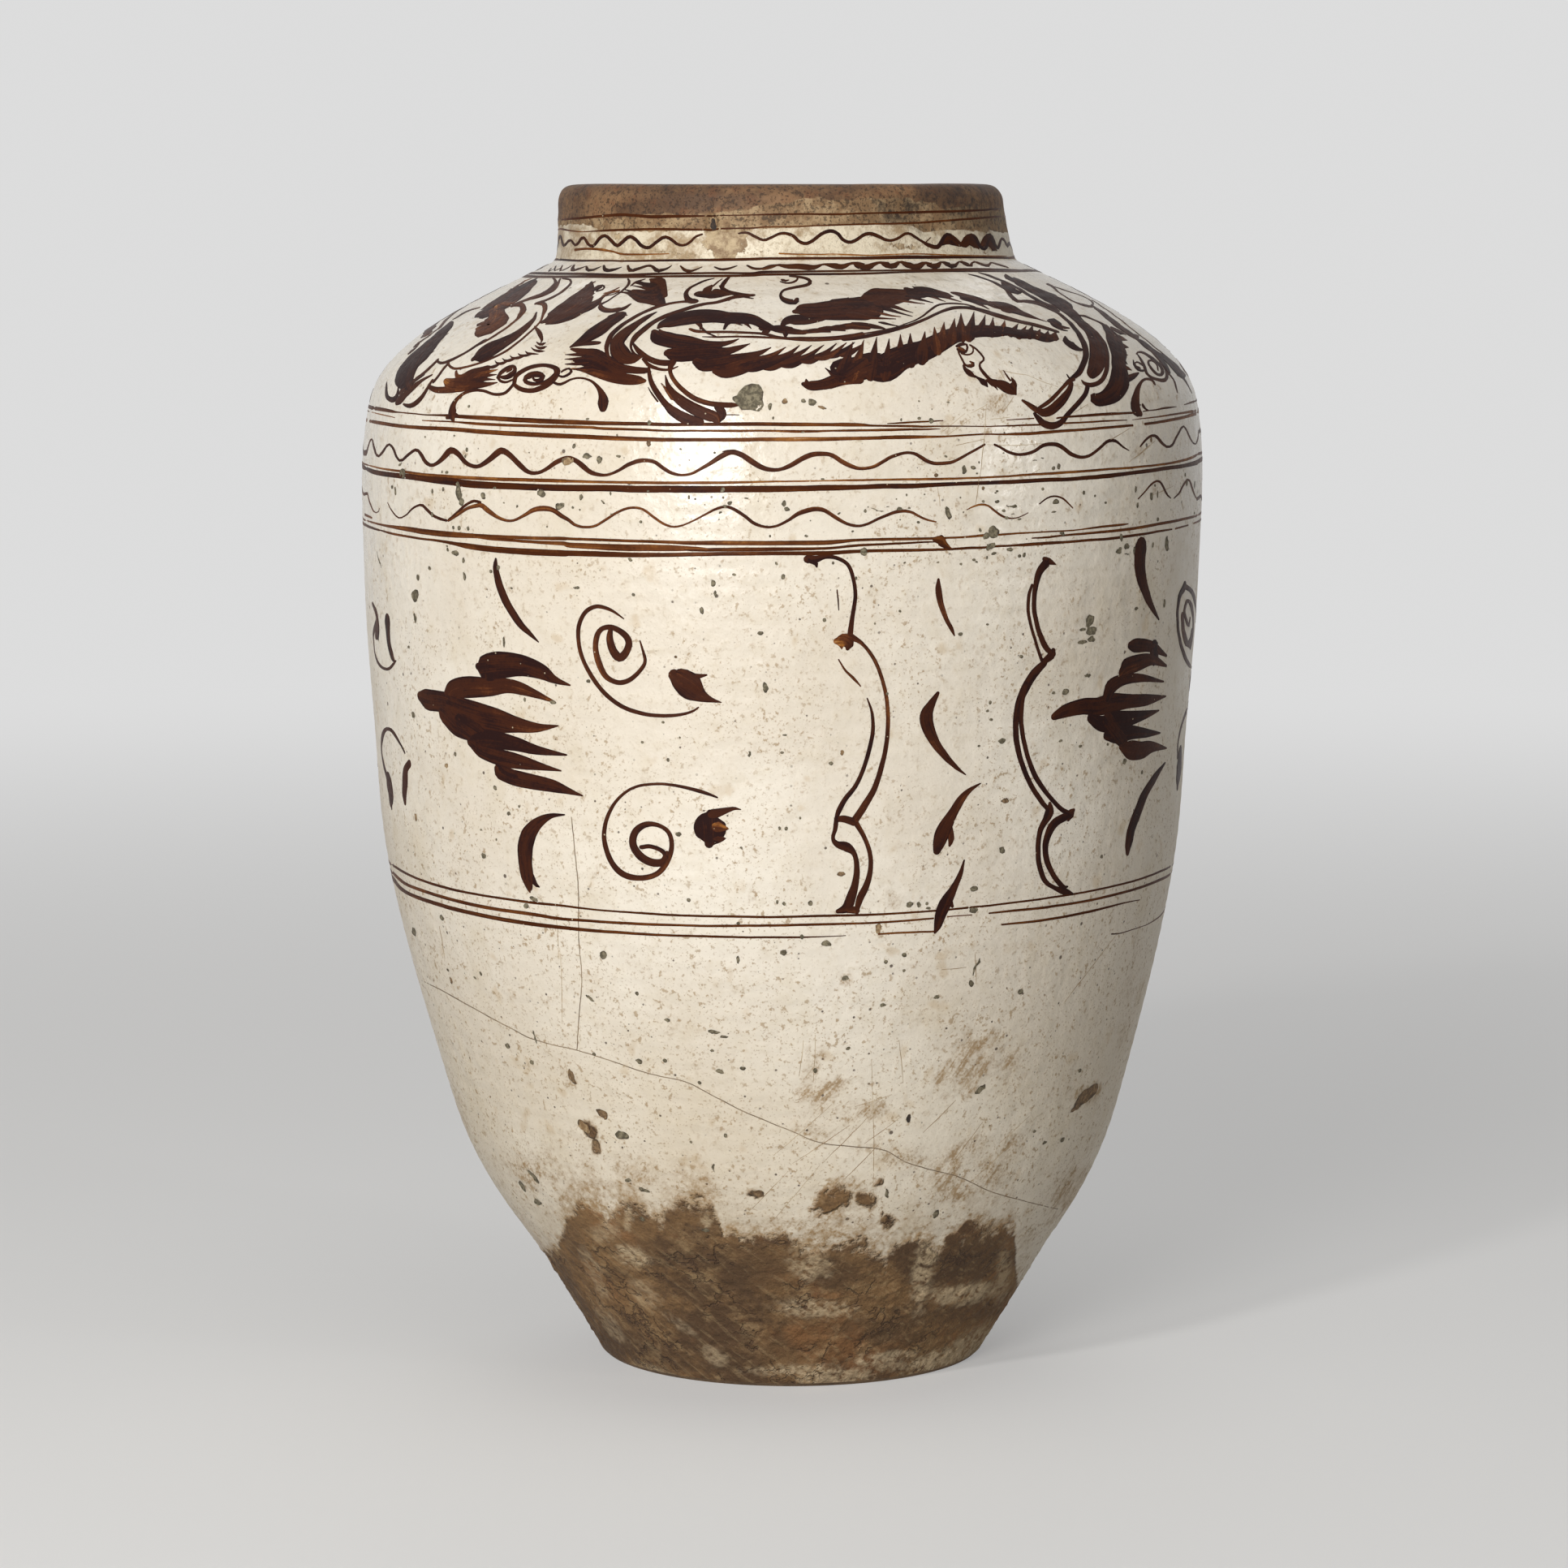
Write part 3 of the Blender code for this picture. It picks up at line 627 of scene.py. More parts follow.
handDrawn["leftBracket"] = "shoulderLeft", [
    [(1180, 106, 10), (1196, 130, 18), (1165, 175, 24), (1110, 208, 22), (1060, 225, 18), (1005, 244, 16),
     (952, 268, 20)],
    [(1222, 112, 10), (1195, 165, 16), (1135, 205, 18), (1060, 228, 14)],
    [(1238, 108, 8), (1288, 122, 12), (1272, 158, 12), (1212, 205, 11), (1145, 238, 12), (1088, 258, 14)],
    [(950, 268, 20), (992, 272, 30), (1000, 302, 34), (985, 330, 24), (962, 358, 12), (900, 408, 10),
     (830, 455, 10), (768, 492, 10)],
    [(1085, 258, 14), (1125, 265, 28), (1132, 295, 26), (1118, 335, 14), (1100, 375, 10), (1050, 425, 10),
     (985, 482, 11), (900, 545, 12), (810, 592, 12), (700, 632, 12), (600, 655, 14), (560, 642, 16),
     (546, 620, 12)],
    [(1080, 315, 8), (1062, 355, 20), (1010, 408, 32), (940, 462, 44), (860, 508, 62), (790, 545, 78),
     (738, 572, 66), (706, 592, 22)],
    [(762, 490, 18), (715, 518, 12), (640, 565, 12), (565, 602, 14), (505, 620, 16), (478, 606, 14)],
    [(478, 606, 12), (440, 645, 14), (400, 680, 14), (350, 715, 14)],
    [(545, 625, 12), (520, 655, 12), (490, 695, 12), (462, 730, 14)],
    [(448, 692, 8), (400, 718, 16), (350, 755, 26), (300, 795, 36), (262, 832, 44), (238, 852, 30)],
    [(176, 738, 5), (172, 785, 14), (182, 828, 22), (212, 842, 30), (236, 820, 22), (245, 765, 5)],
    [(400, 690, 10), (350, 722, 18), (300, 760, 24), (262, 790, 26)],
    [(450, 725, 10), (415, 785, 16), (378, 838, 24), (335, 872, 26), (300, 878, 22), (276, 868, 10)],
]
handDrawn["leftFiller"] = "shoulderLeft", [
    [(1412, 130, 10), (1392, 165, 46), (1350, 215, 84), (1300, 262, 84), (1240, 305, 76), (1180, 345, 60),
     (1128, 368, 20)],
    [(1470, 228, 12), (1420, 265, 40), (1350, 300, 46), (1290, 335, 40), (1210, 362, 36), (1150, 380, 14)],
    [(1410, 225, 14), (1370, 252, 44), (1310, 296, 50), (1250, 332, 44), (1190, 360, 30)],
    [(1392, 150, 14), (1432, 128, 4)], [(1370, 178, 14), (1420, 152, 4)], [(1370, 205, 12), (1420, 178, 4)],
    [(1385, 222, 12), (1430, 198, 4)],
    [(1430, 172, 16), (1462, 152, 14), (1492, 156, 10), (1480, 174, 8), (1448, 184, 8)],
    [(1440, 170, 22), (1452, 166, 18)], [(1490, 196, 5), (1530, 186, 8), (1575, 165, 6)],
    [(1500, 214, 5), (1540, 205, 6), (1575, 190, 6)],
    [(1575, 182, 8), (1510, 200, 14), (1470, 232, 16), (1462, 262, 18), (1485, 290, 20), (1530, 300, 18),
     (1575, 292, 14)],
    [(1575, 335, 50), (1500, 385, 60), (1440, 430, 70), (1380, 470, 50), (1320, 505, 26), (1288, 522, 10)],
    [(1456, 498, 18), (1420, 499, 24), (1350, 504, 22), (1292, 520, 8)],
    [(1292, 534, 14), (1361, 550, 40), (1434, 568, 68), (1508, 612, 72), (1581, 649, 52), (1651, 660, 42),
     (1704, 664, 38), (1740, 665, 34)],
    [(1310, 604, 14), (1349, 604, 44), (1418, 613, 70), (1483, 641, 72), (1549, 676, 56), (1600, 690, 40)],
    [(1295, 652, 8), (1361, 660, 24), (1434, 678, 44), (1524, 702, 56), (1614, 716, 62), (1690, 724, 50),
     (1730, 728, 22)],
    [(1483, 388, 22), (1524, 381, 12), (1555, 375, 3)], [(1443, 425, 22), (1471, 417, 12), (1493, 414, 3)],
    [(1532, 339, 22), (1581, 332, 16), (1627, 332, 4)], [(1549, 331, 22), (1561, 319, 12), (1571, 308, 4)],
    [(1370, 565, 26), (1310, 568, 16), (1254, 568, 4)], [(1370, 592, 26), (1310, 595, 16), (1252, 597, 4)],
    [(1380, 618, 26), (1310, 624, 16), (1252, 626, 4)], [(1400, 645, 26), (1340, 655, 16), (1295, 657, 4)],
    [(1420, 668, 20), (1370, 668, 12), (1300, 655, 4)],
    [(1068, 398, 6), (1090, 425, 24), (1106, 455, 26), (1114, 480, 14), (1108, 496, 6)],
    [(1134, 498, 4), (1118, 506, 16), (1098, 506, 14), (1080, 492, 5)],
    [(1140, 520, 4), (1120, 528, 16), (1092, 528, 14), (1072, 514, 5)],
    [(1128, 548, 4), (1100, 548, 14), (1068, 542, 12), (1048, 526, 4)],
    [(1090, 566, 4), (1058, 564, 12), (1026, 560, 12), (1012, 548, 4)],
    [(1052, 568, 4), (1020, 574, 14), (985, 574, 12), (968, 562, 4)],
    [(1006, 580, 4), (975, 588, 16), (938, 590, 12), (920, 576, 4)],
    [(958, 592, 4), (926, 602, 16), (892, 606, 12), (874, 592, 4)],
    [(912, 604, 4), (880, 620, 16), (845, 622, 12), (830, 606, 4)],
    [(862, 622, 4), (830, 640, 18), (795, 646, 14), (774, 640, 5)],
    [(775, 660, 40), (740, 672, 44), (690, 690, 56), (630, 710, 50), (600, 700, 26), (595, 672, 14)],
    [(845, 660, 4), (800, 672, 18), (740, 690, 36), (700, 705, 60)],
    [(840, 690, 4), (790, 695, 18), (720, 705, 40)], [(830, 720, 4), (780, 718, 18), (700, 720, 60)],
    [(842, 738, 6), (780, 750, 26), (700, 752, 50), (620, 752, 80), (560, 745, 70), (530, 725, 30)],
    [(600, 775, 40), (540, 782, 36), (480, 782, 34), (440, 768, 26), (430, 752, 14)],
    [(945, 742, 22), (955, 700, 24), (1000, 665, 24), (1060, 640, 22), (1130, 632, 20), (1185, 645, 26),
     (1208, 668, 30), (1180, 715, 34), (1130, 758, 32), (1060, 785, 26), (1000, 782, 26), (958, 762, 24),
     (942, 742, 18)],
    [(1190, 650, 22), (1195, 680, 18), (1150, 720, 16), (1100, 742, 18), (1050, 745, 22), (1012, 730, 24),
     (1020, 705, 30), (1060, 688, 34), (1100, 690, 34), (1118, 705, 30), (1100, 722, 24), (1068, 722, 16),
     (1058, 708, 12)],
    [(846, 705, 12), (870, 675, 22), (910, 648, 22), (942, 640, 20), (950, 660, 22), (930, 688, 30),
     (895, 705, 26), (862, 703, 14)],
    [(925, 660, 14), (905, 672, 10)], [(846, 705, 14), (862, 728, 16), (895, 736, 14), (932, 722, 10)],
    [(1205, 690, 10), (1230, 702, 12), (1262, 695, 14), (1290, 672, 16), (1280, 652, 12), (1250, 660, 12),
     (1232, 672, 10)],
    [(580, 968, 16), (572, 925, 44), (578, 880, 30), (600, 840, 20), (640, 805, 17), (700, 785, 16),
     (760, 788, 16), (820, 808, 16), (880, 805, 16), (915, 780, 16), (938, 752, 16)],
    [(540, 948, 20), (575, 935, 40), (610, 940, 14)],
    [(1180, 735, 14), (1215, 748, 16), (1250, 738, 14), (1290, 718, 11), (1350, 710, 11), (1410, 728, 14),
     (1450, 765, 22), (1475, 810, 40), (1482, 855, 60), (1482, 890, 46)],
]
handDrawn["feathersMid"] = "shoulderMid", [
    [(300, 112, 14), (345, 125, 60), (370, 160, 46), (380, 215, 40)],
    [(325, 165, 60), (330, 215, 90), (345, 250, 70), (370, 268, 30)],
    [(182, 200, 30), (225, 218, 46), (280, 235, 60), (330, 262, 30)],
    [(192, 180, 20), (240, 196, 30), (300, 200, 50)], [(215, 128, 20), (255, 140, 22), (300, 150, 40)],
    [(190, 150, 4), (240, 160, 12), (300, 170, 26)], [(106, 190, 4), (150, 192, 12), (190, 205, 26)],
    [(130, 170, 4), (170, 182, 12), (210, 200, 26)], [(190, 175, 4), (230, 180, 12), (290, 190, 20)],
    [(160, 108, 10), (168, 128, 16), (150, 160, 12), (100, 200, 8), (40, 240, 8), (0, 262, 14),
     (-10, 285, 20), (30, 302, 22), (90, 300, 18), (140, 285, 16), (175, 262, 8)],
    [(180, 150, 8), (205, 130, 10), (260, 112, 6)],
]
handDrawn["midBracket"] = "shoulderMid", [
    [(535, 245, 16), (480, 248, 12), (400, 262, 14), (310, 288, 16), (210, 335, 16), (120, 392, 20),
     (60, 450, 26), (32, 520, 26), (42, 575, 18), (72, 628, 10)],
    [(330, 311, 7), (265, 347, 24), (195, 394, 36), (134, 443, 56), (95, 500, 76), (112, 553, 100),
     (148, 586, 78), (196, 592, 50), (234, 580, 20)],
    [(915, 210, 14), (850, 215, 20), (800, 222, 18), (700, 250, 16), (620, 262, 16), (540, 282, 18),
     (430, 318, 20), (330, 362, 22), (250, 420, 28), (200, 470, 28), (178, 520, 14), (200, 562, 14),
     (240, 578, 8)],
    [(186, 490, 8), (222, 542, 28), (280, 588, 32), (340, 612, 32), (400, 618, 32), (425, 614, 24)],
    [(250, 594, 14), (290, 632, 22), (350, 655, 16), (410, 658, 12), (460, 640, 6)],
    [(560, 246, 30), (525, 235, 34), (510, 200, 24), (530, 170, 14), (580, 140, 10), (630, 120, 8),
     (678, 108, 5)],
    [(665, 148, 8), (640, 175, 44), (640, 195, 50), (700, 200, 50), (775, 204, 12)],
    [(595, 200, 36), (640, 205, 36), (720, 208, 22)], [(728, 112, 5), (700, 130, 8), (672, 155, 10)],
    [(772, 98, 12), (745, 128, 22), (728, 160, 24), (760, 185, 20), (830, 200, 16), (912, 212, 14)],
    [(712, 150, 6), (735, 185, 10), (800, 205, 10), (860, 220, 10), (915, 230, 6)],
]
handDrawn["mainLeafTop"] = "shoulderMid", [
    [(345, 405, 14), (370, 388, 40), (420, 370, 60), (500, 348, 74), (590, 335, 76), (680, 335, 72),
     (760, 345, 64), (850, 350, 62), (920, 362, 54), (980, 390, 46), (1030, 410, 30), (1090, 415, 26),
     (1140, 412, 18)],
    [(580, 372, 30), (600, 395, 22), (600, 412, 14)], [(600, 400, 14), (640, 436, 12), (700, 462, 6)],
    [(775, 368, 34), (755, 388, 22), (742, 412, 14)], [(850, 365, 26), (880, 388, 16), (905, 412, 4)],
    [(905, 368, 26), (935, 384, 14), (965, 398, 4)], [(820, 355, 30), (815, 378, 14), (850, 392, 4)],
    [(980, 408, 40), (1000, 420, 44), (985, 440, 30)], [(350, 415, 10), (368, 428, 14), (390, 432, 10)],
    [(535, 412, 14), (570, 424, 18), (640, 430, 14), (740, 430, 14), (840, 434, 14), (940, 440, 14),
     (1000, 448, 16), (1060, 462, 12), (1140, 472, 12)],
    [(612, 460, 5), (700, 462, 10), (800, 460, 10), (900, 462, 12), (1000, 466, 12), (1100, 472, 12),
     (1200, 480, 14), (1300, 482, 14), (1400, 474, 18), (1500, 460, 20), (1575, 448, 20)],
    [(1100, 470, 8), (1200, 468, 10), (1300, 468, 10), (1400, 462, 8), (1500, 450, 8), (1575, 436, 8)],
    [(1105, 410, 20), (1112, 440, 34), (1112, 462, 14)],
    [(1060, 412, 40), (1110, 420, 44), (1160, 430, 34), (1220, 436, 26)],
    [(1200, 436, 26), (1250, 430, 22), (1310, 432, 12)], [(1260, 428, 24), (1310, 424, 24), (1380, 432, 8)],
    [(1320, 418, 22), (1380, 412, 26), (1470, 425, 6)], [(1390, 410, 20), (1440, 404, 26), (1530, 410, 6)],
    [(1440, 400, 20), (1500, 394, 26), (1575, 400, 12)], [(1500, 390, 20), (1560, 388, 24)],
    [(1092, 395, 20), (1120, 370, 44), (1170, 360, 56), (1240, 360, 50), (1330, 350, 30)],
    [(1180, 310, 30), (1220, 305, 74), (1300, 305, 90), (1400, 300, 110), (1500, 292, 120),
     (1575, 290, 120)],
]
handDrawn["lowerFeathers"] = "shoulderMid", [
    [(318, 425, 34), (345, 455, 84), (420, 480, 84), (520, 495, 76), (620, 508, 50), (720, 505, 34),
     (780, 492, 20), (828, 474, 5)],
    [(410, 555, 50), (450, 560, 84), (540, 555, 90), (640, 545, 70), (740, 550, 44), (820, 530, 30),
     (895, 504, 5)],
    [(580, 610, 50), (620, 622, 80), (700, 615, 80), (790, 600, 64), (880, 580, 44), (950, 560, 28),
     (1022, 528, 5)],
    [(705, 660, 60), (750, 665, 80), (820, 645, 90), (900, 622, 70), (970, 600, 48), (1040, 570, 28),
     (1112, 526, 5)],
    [(860, 640, 50), (920, 635, 70), (990, 615, 64), (1060, 596, 44), (1130, 566, 28), (1195, 516, 5)],
    [(985, 635, 46), (1030, 632, 60), (1090, 610, 50), (1160, 580, 34), (1220, 548, 20), (1268, 514, 5)],
    [(1110, 625, 46), (1150, 620, 54), (1200, 600, 44), (1260, 570, 28), (1342, 512, 5)],
    [(1225, 605, 36), (1265, 600, 46), (1320, 575, 34), (1370, 545, 20), (1418, 502, 5)],
    [(1310, 585, 36), (1350, 580, 44), (1400, 560, 30), (1440, 530, 18), (1478, 498, 5)],
    [(1380, 575, 36), (1420, 565, 40), (1470, 540, 26), (1528, 494, 5)],
    [(1455, 570, 30), (1500, 555, 34), (1545, 530, 20), (1580, 505, 8)],
]
handDrawn["tailFeather"] = "shoulderMid", [
    [(1220, 745, 24), (1260, 755, 50), (1330, 750, 56), (1400, 730, 70), (1470, 700, 84), (1530, 672, 100),
     (1580, 650, 110)],
    [(1236, 718, 8), (1240, 735, 26), (1250, 750, 20)],
    [(1352, 650, 5), (1375, 668, 14), (1400, 690, 30), (1450, 690, 60), (1500, 665, 70), (1580, 610, 60)],
    [(1380, 760, 30), (1430, 745, 30), (1480, 735, 26), (1560, 722, 40)],
]
handDrawn["midBracketLeg"] = "shoulderMid", [
    [(286, 640, 14), (290, 690, 22), (304, 740, 28), (338, 800, 32), (385, 862, 36), (440, 915, 54),
     (520, 958, 60), (600, 975, 40)],
    [(386, 692, 5), (398, 745, 24), (430, 800, 44), (500, 860, 60), (590, 910, 66), (680, 945, 60),
     (700, 975, 30)],
    [(430, 612, 40), (414, 660, 24), (432, 712, 24), (480, 770, 26), (560, 830, 28), (650, 862, 28),
     (740, 872, 30), (790, 872, 28), (832, 872, 8)],
    [(360, 740, 5), (400, 790, 20), (430, 830, 26)], [(282, 765, 4), (310, 810, 10), (340, 850, 10)],
    [(700, 880, 40), (730, 925, 50), (705, 965, 30)], [(740, 932, 5), (790, 930, 6), (832, 932, 4)],
]
handDrawn["smallHook"] = "shoulderMid", [
    [(1140, 96, 8), (1190, 100, 14), (1240, 112, 16), (1262, 132, 20), (1230, 152, 18), (1160, 166, 14),
     (1100, 182, 12), (1082, 205, 14), (1090, 228, 22), (1130, 248, 32), (1170, 252, 30), (1182, 232, 20)],
    [(1180, 98, 8), (1182, 118, 12), (1150, 134, 10), (1110, 136, 8), (1082, 128, 6)],
    [(1094, 118, 14), (1108, 124, 12), (1128, 120, 6)],
]
handDrawn["upperMass"] = "shoulderRight", [
    [(-8, 350, 130), (60, 355, 150), (120, 345, 150), (180, 330, 140)],
    [(150, 300, 60), (220, 290, 120), (300, 275, 120), (380, 262, 100), (450, 250, 80)],
    [(470, 215, 30), (520, 235, 80), (600, 232, 70), (680, 245, 54), (740, 258, 40)],
    [(700, 232, 20), (760, 255, 30), (800, 268, 8)],
    [(805, 240, 14), (850, 250, 28), (920, 275, 44), (1000, 300, 44), (1060, 315, 30), (1100, 325, 12)],
    [(1090, 312, 14), (1130, 325, 36), (1190, 345, 60), (1250, 365, 52), (1310, 390, 36), (1370, 412, 24),
     (1430, 432, 10), (1498, 456, 4)],
    [(165, 250, 20), (230, 235, 50), (300, 232, 40), (400, 235, 40)],
    [(60, 410, 50), (160, 425, 24), (260, 432, 14), (378, 437, 4)],
    [(180, 372, 30), (260, 392, 22), (340, 412, 12), (415, 421, 4)],
    [(260, 348, 30), (340, 370, 24), (420, 396, 12), (502, 418, 4)],
    [(300, 330, 30), (380, 350, 22), (440, 370, 12), (505, 390, 4)],
    [(400, 292, 26), (460, 304, 16), (530, 316, 10), (592, 324, 4)],
    [(480, 272, 26), (540, 286, 18), (600, 300, 10), (655, 314, 4)],
    [(600, 255, 26), (660, 272, 18), (705, 290, 10), (748, 305, 4)],
    [(690, 262, 24), (760, 278, 14), (815, 292, 10), (865, 306, 4)],
    [(880, 284, 20), (940, 302, 16), (975, 322, 6)], [(985, 322, 14), (1030, 340, 12), (1072, 362, 4)],
    [(1070, 330, 14), (1110, 345, 16), (1150, 360, 6)], [(1180, 372, 16), (1220, 385, 16), (1255, 385, 6)],
]
handDrawn["leafRibs"] = "shoulderRight", [
    [(-8, 590, 22), (80, 580, 24), (180, 562, 26), (300, 535, 26), (400, 508, 24), (480, 485, 22),
     (550, 458, 20), (620, 428, 18), (690, 395, 18), (750, 370, 20), (820, 353, 20), (900, 352, 18),
     (980, 362, 22), (1060, 385, 28), (1130, 408, 28), (1200, 428, 26), (1300, 455, 24), (1400, 478, 22),
     (1500, 505, 20), (1575, 528, 18)],
    [(-8, 566, 8), (100, 553, 9), (200, 536, 9), (300, 517, 8), (390, 496, 7), (450, 474, 7), (520, 448, 9),
     (580, 415, 12), (630, 375, 14), (690, 335, 14), (750, 322, 12), (820, 320, 12), (900, 328, 10),
     (960, 345, 10)],
    [(-8, 505, 30), (50, 495, 34), (110, 500, 30), (170, 505, 24)],
    [(60, 470, 14), (130, 478, 26), (210, 492, 26), (280, 505, 14), (300, 512, 6)],
    [(140, 490, 20), (220, 498, 22), (300, 510, 8)],
    [(258, 463, 10), (290, 468, 18), (340, 480, 12), (408, 492, 5)],
]
handDrawn["legs"] = "shoulderRight", [
    [(838, 655, 6), (850, 690, 12), (872, 735, 14), (888, 765, 12), (884, 785, 14)],
    [(884, 780, 14), (900, 810, 28), (935, 842, 38), (970, 868, 8)],
    [(955, 850, 8), (1000, 878, 20), (1035, 905, 44), (1062, 938, 8)],
    [(1058, 888, 14), (1095, 915, 30), (1118, 935, 16), (1137, 962, 5)],
    [(935, 630, 12), (985, 665, 12), (1036, 730, 14), (1005, 765, 14), (1010, 800, 18), (1040, 842, 22),
     (1085, 885, 20), (1130, 898, 26)],
    [(1090, 898, 14), (1130, 910, 44), (1180, 930, 70), (1225, 955, 66), (1255, 978, 44), (1270, 992, 16)],
    [(1270, 930, 20), (1258, 900, 26), (1240, 868, 5)], [(1180, 818, 5), (1205, 855, 10), (1232, 890, 12)],
    [(1255, 930, 44), (1262, 960, 30), (1272, 990, 14)],
    [(835, 640, 20), (870, 622, 26), (905, 625, 16), (912, 655, 16), (895, 680, 18), (865, 678, 20),
     (846, 662, 22)],
    [(860, 655, 22), (880, 662, 18)],
    [(872, 690, 14), (910, 700, 12), (945, 690, 12), (958, 662, 10), (945, 640, 8)],
    [(884, 758, 12), (905, 780, 16), (945, 782, 30), (958, 765, 24), (935, 752, 12)],
]
handDrawn["rightBracketTop"] = "shoulderRight", [
    [(925, 104, 5), (1000, 122, 10), (1080, 152, 12), (1150, 185, 16), (1205, 222, 22), (1240, 268, 26),
     (1285, 302, 20), (1360, 300, 12), (1440, 312, 12), (1520, 342, 12), (1575, 368, 12)],
    [(1000, 94, 5), (1080, 118, 14), (1160, 150, 16), (1240, 185, 16), (1310, 222, 18), (1370, 262, 16),
     (1440, 300, 16), (1510, 335, 16), (1575, 368, 18)],
    [(1185, 175, 20), (1225, 205, 50), (1262, 226, 44), (1312, 236, 6)],
    [(1200, 110, 10), (1230, 135, 40), (1290, 160, 50), (1360, 200, 60), (1420, 230, 60), (1500, 262, 70),
     (1575, 292, 80)],
]
handDrawn["edgeBracket"] = "shoulderEdge", [
    [(-8, 328, 12), (90, 345, 14), (180, 375, 16), (270, 418, 18), (350, 480, 22), (410, 545, 28),
     (455, 610, 34), (488, 680, 42), (500, 740, 44), (495, 790, 44), (472, 850, 44), (445, 900, 44),
     (405, 935, 34), (372, 948, 16), (348, 915, 6)],
    [(400, 950, 40), (365, 970, 34), (320, 1015, 26), (270, 1070, 28), (215, 1125, 30), (160, 1165, 30),
     (115, 1190, 20)],
    [(385, 985, 34), (370, 1040, 44), (330, 1100, 60), (280, 1155, 70), (220, 1205, 70), (160, 1225, 60),
     (115, 1205, 40)],
    [(-8, 1125, 18), (50, 1165, 34), (110, 1205, 44)],
    [(515, 1010, 34), (500, 1070, 34), (455, 1130, 36), (400, 1190, 36), (350, 1245, 36), (300, 1305, 44),
     (230, 1330, 54), (160, 1310, 50), (118, 1268, 40), (88, 1232, 20)],
    [(470, 965, 10), (490, 990, 26), (540, 1002, 34), (600, 985, 34), (642, 945, 34), (666, 880, 34),
     (672, 800, 34), (665, 730, 34), (640, 660, 34), (600, 600, 28), (550, 545, 20), (490, 492, 10)],
    [(-8, 190, 50), (80, 235, 64), (170, 280, 80), (260, 330, 80), (340, 390, 70), (410, 450, 60),
     (470, 510, 50), (530, 570, 60), (575, 650, 80), (595, 730, 110), (592, 800, 124), (570, 870, 110),
     (540, 915, 80)],
    [(-8, 245, 14), (70, 295, 22), (150, 335, 20), (240, 370, 16), (310, 385, 8)],
    [(335, 610, 10), (350, 650, 50), (400, 690, 44), (450, 712, 26), (478, 716, 10)],
    [(205, 490, 24), (250, 490, 44), (300, 530, 26), (365, 542, 8)],
    [(250, 520, 30), (310, 555, 14), (350, 565, 6)],
]
handDrawn["edgeFiller"] = "shoulderEdge", [
    [(445, 440, 8), (500, 448, 14), (550, 468, 14), (600, 492, 14), (650, 520, 24), (690, 560, 44),
     (720, 600, 80), (740, 660, 110), (755, 720, 120), (762, 780, 100), (770, 840, 100), (780, 900, 120),
     (775, 960, 150), (750, 1020, 150), (710, 1070, 140), (650, 1108, 110), (590, 1120, 90),
     (555, 1098, 50), (570, 1072, 14)],
    [(745, 560, 40), (790, 575, 20), (822, 592, 5)], [(750, 610, 50), (800, 622, 26), (830, 638, 5)],
    [(770, 670, 50), (810, 682, 26), (842, 695, 5)], [(770, 740, 50), (810, 745, 24), (832, 758, 5)],
    [(780, 800, 50), (815, 812, 26), (832, 830, 5)], [(790, 850, 50), (835, 862, 24), (866, 880, 5)],
    [(800, 960, 60), (860, 940, 50), (900, 918, 34), (928, 900, 10)],
    [(670, 520, 10), (690, 545, 14), (675, 570, 20)],
    [(200, 195, 14), (260, 215, 10), (340, 240, 10), (430, 268, 10), (530, 310, 12), (560, 350, 12),
     (555, 365, 10)],
    [(215, 195, 20), (270, 245, 10), (350, 300, 12), (440, 345, 16), (520, 365, 14), (562, 368, 12)],
    [(560, 365, 14), (610, 400, 34), (680, 455, 44), (760, 520, 54), (840, 575, 50), (900, 605, 40),
     (925, 600, 10)],
    [(900, 625, 14), (960, 665, 44), (1020, 705, 50), (1070, 755, 50), (1110, 800, 44), (1150, 860, 36)],
    [(560, 320, 8), (640, 375, 10), (720, 430, 10), (800, 490, 10), (880, 555, 10), (960, 615, 10),
     (1040, 680, 12), (1120, 745, 12), (1200, 810, 14), (1260, 870, 24)],
    [(1020, 690, 10), (1080, 740, 20), (1140, 790, 44), (1200, 840, 64), (1260, 885, 50), (1300, 912, 14)],
    [(905, 752, 10), (925, 735, 16), (965, 742, 18), (1010, 768, 20), (1060, 800, 22), (1100, 845, 24),
     (1120, 890, 26), (1105, 920, 22), (1068, 905, 20), (1030, 868, 18), (1005, 825, 16), (1012, 800, 16),
     (1045, 808, 14), (1075, 842, 12), (1082, 880, 10)],
    [(920, 758, 10), (950, 800, 18), (972, 850, 22), (990, 900, 20), (1025, 935, 20), (1080, 958, 24),
     (1135, 962, 30), (1155, 930, 24), (1148, 880, 20), (1110, 830, 16)],
    [(885, 800, 10), (892, 845, 14), (920, 876, 16), (965, 885, 16), (985, 870, 10), (955, 838, 14),
     (918, 815, 14), (898, 820, 10), (905, 850, 12), (935, 862, 14)],
    [(1052, 985, 16), (1030, 960, 18), (985, 952, 20), (948, 975, 22), (922, 1030, 36), (908, 1090, 50),
     (902, 1150, 70), (915, 1200, 80), (940, 1228, 40)],
    [(960, 1165, 20), (985, 1195, 14), (1012, 1206, 5)],
    [(1150, 885, 8), (1185, 925, 14), (1215, 970, 14), (1230, 1020, 12), (1238, 1058, 6)],
    [(1240, 922, 8), (1285, 945, 16), (1318, 985, 16), (1340, 1030, 12), (1355, 1062, 5)],
]
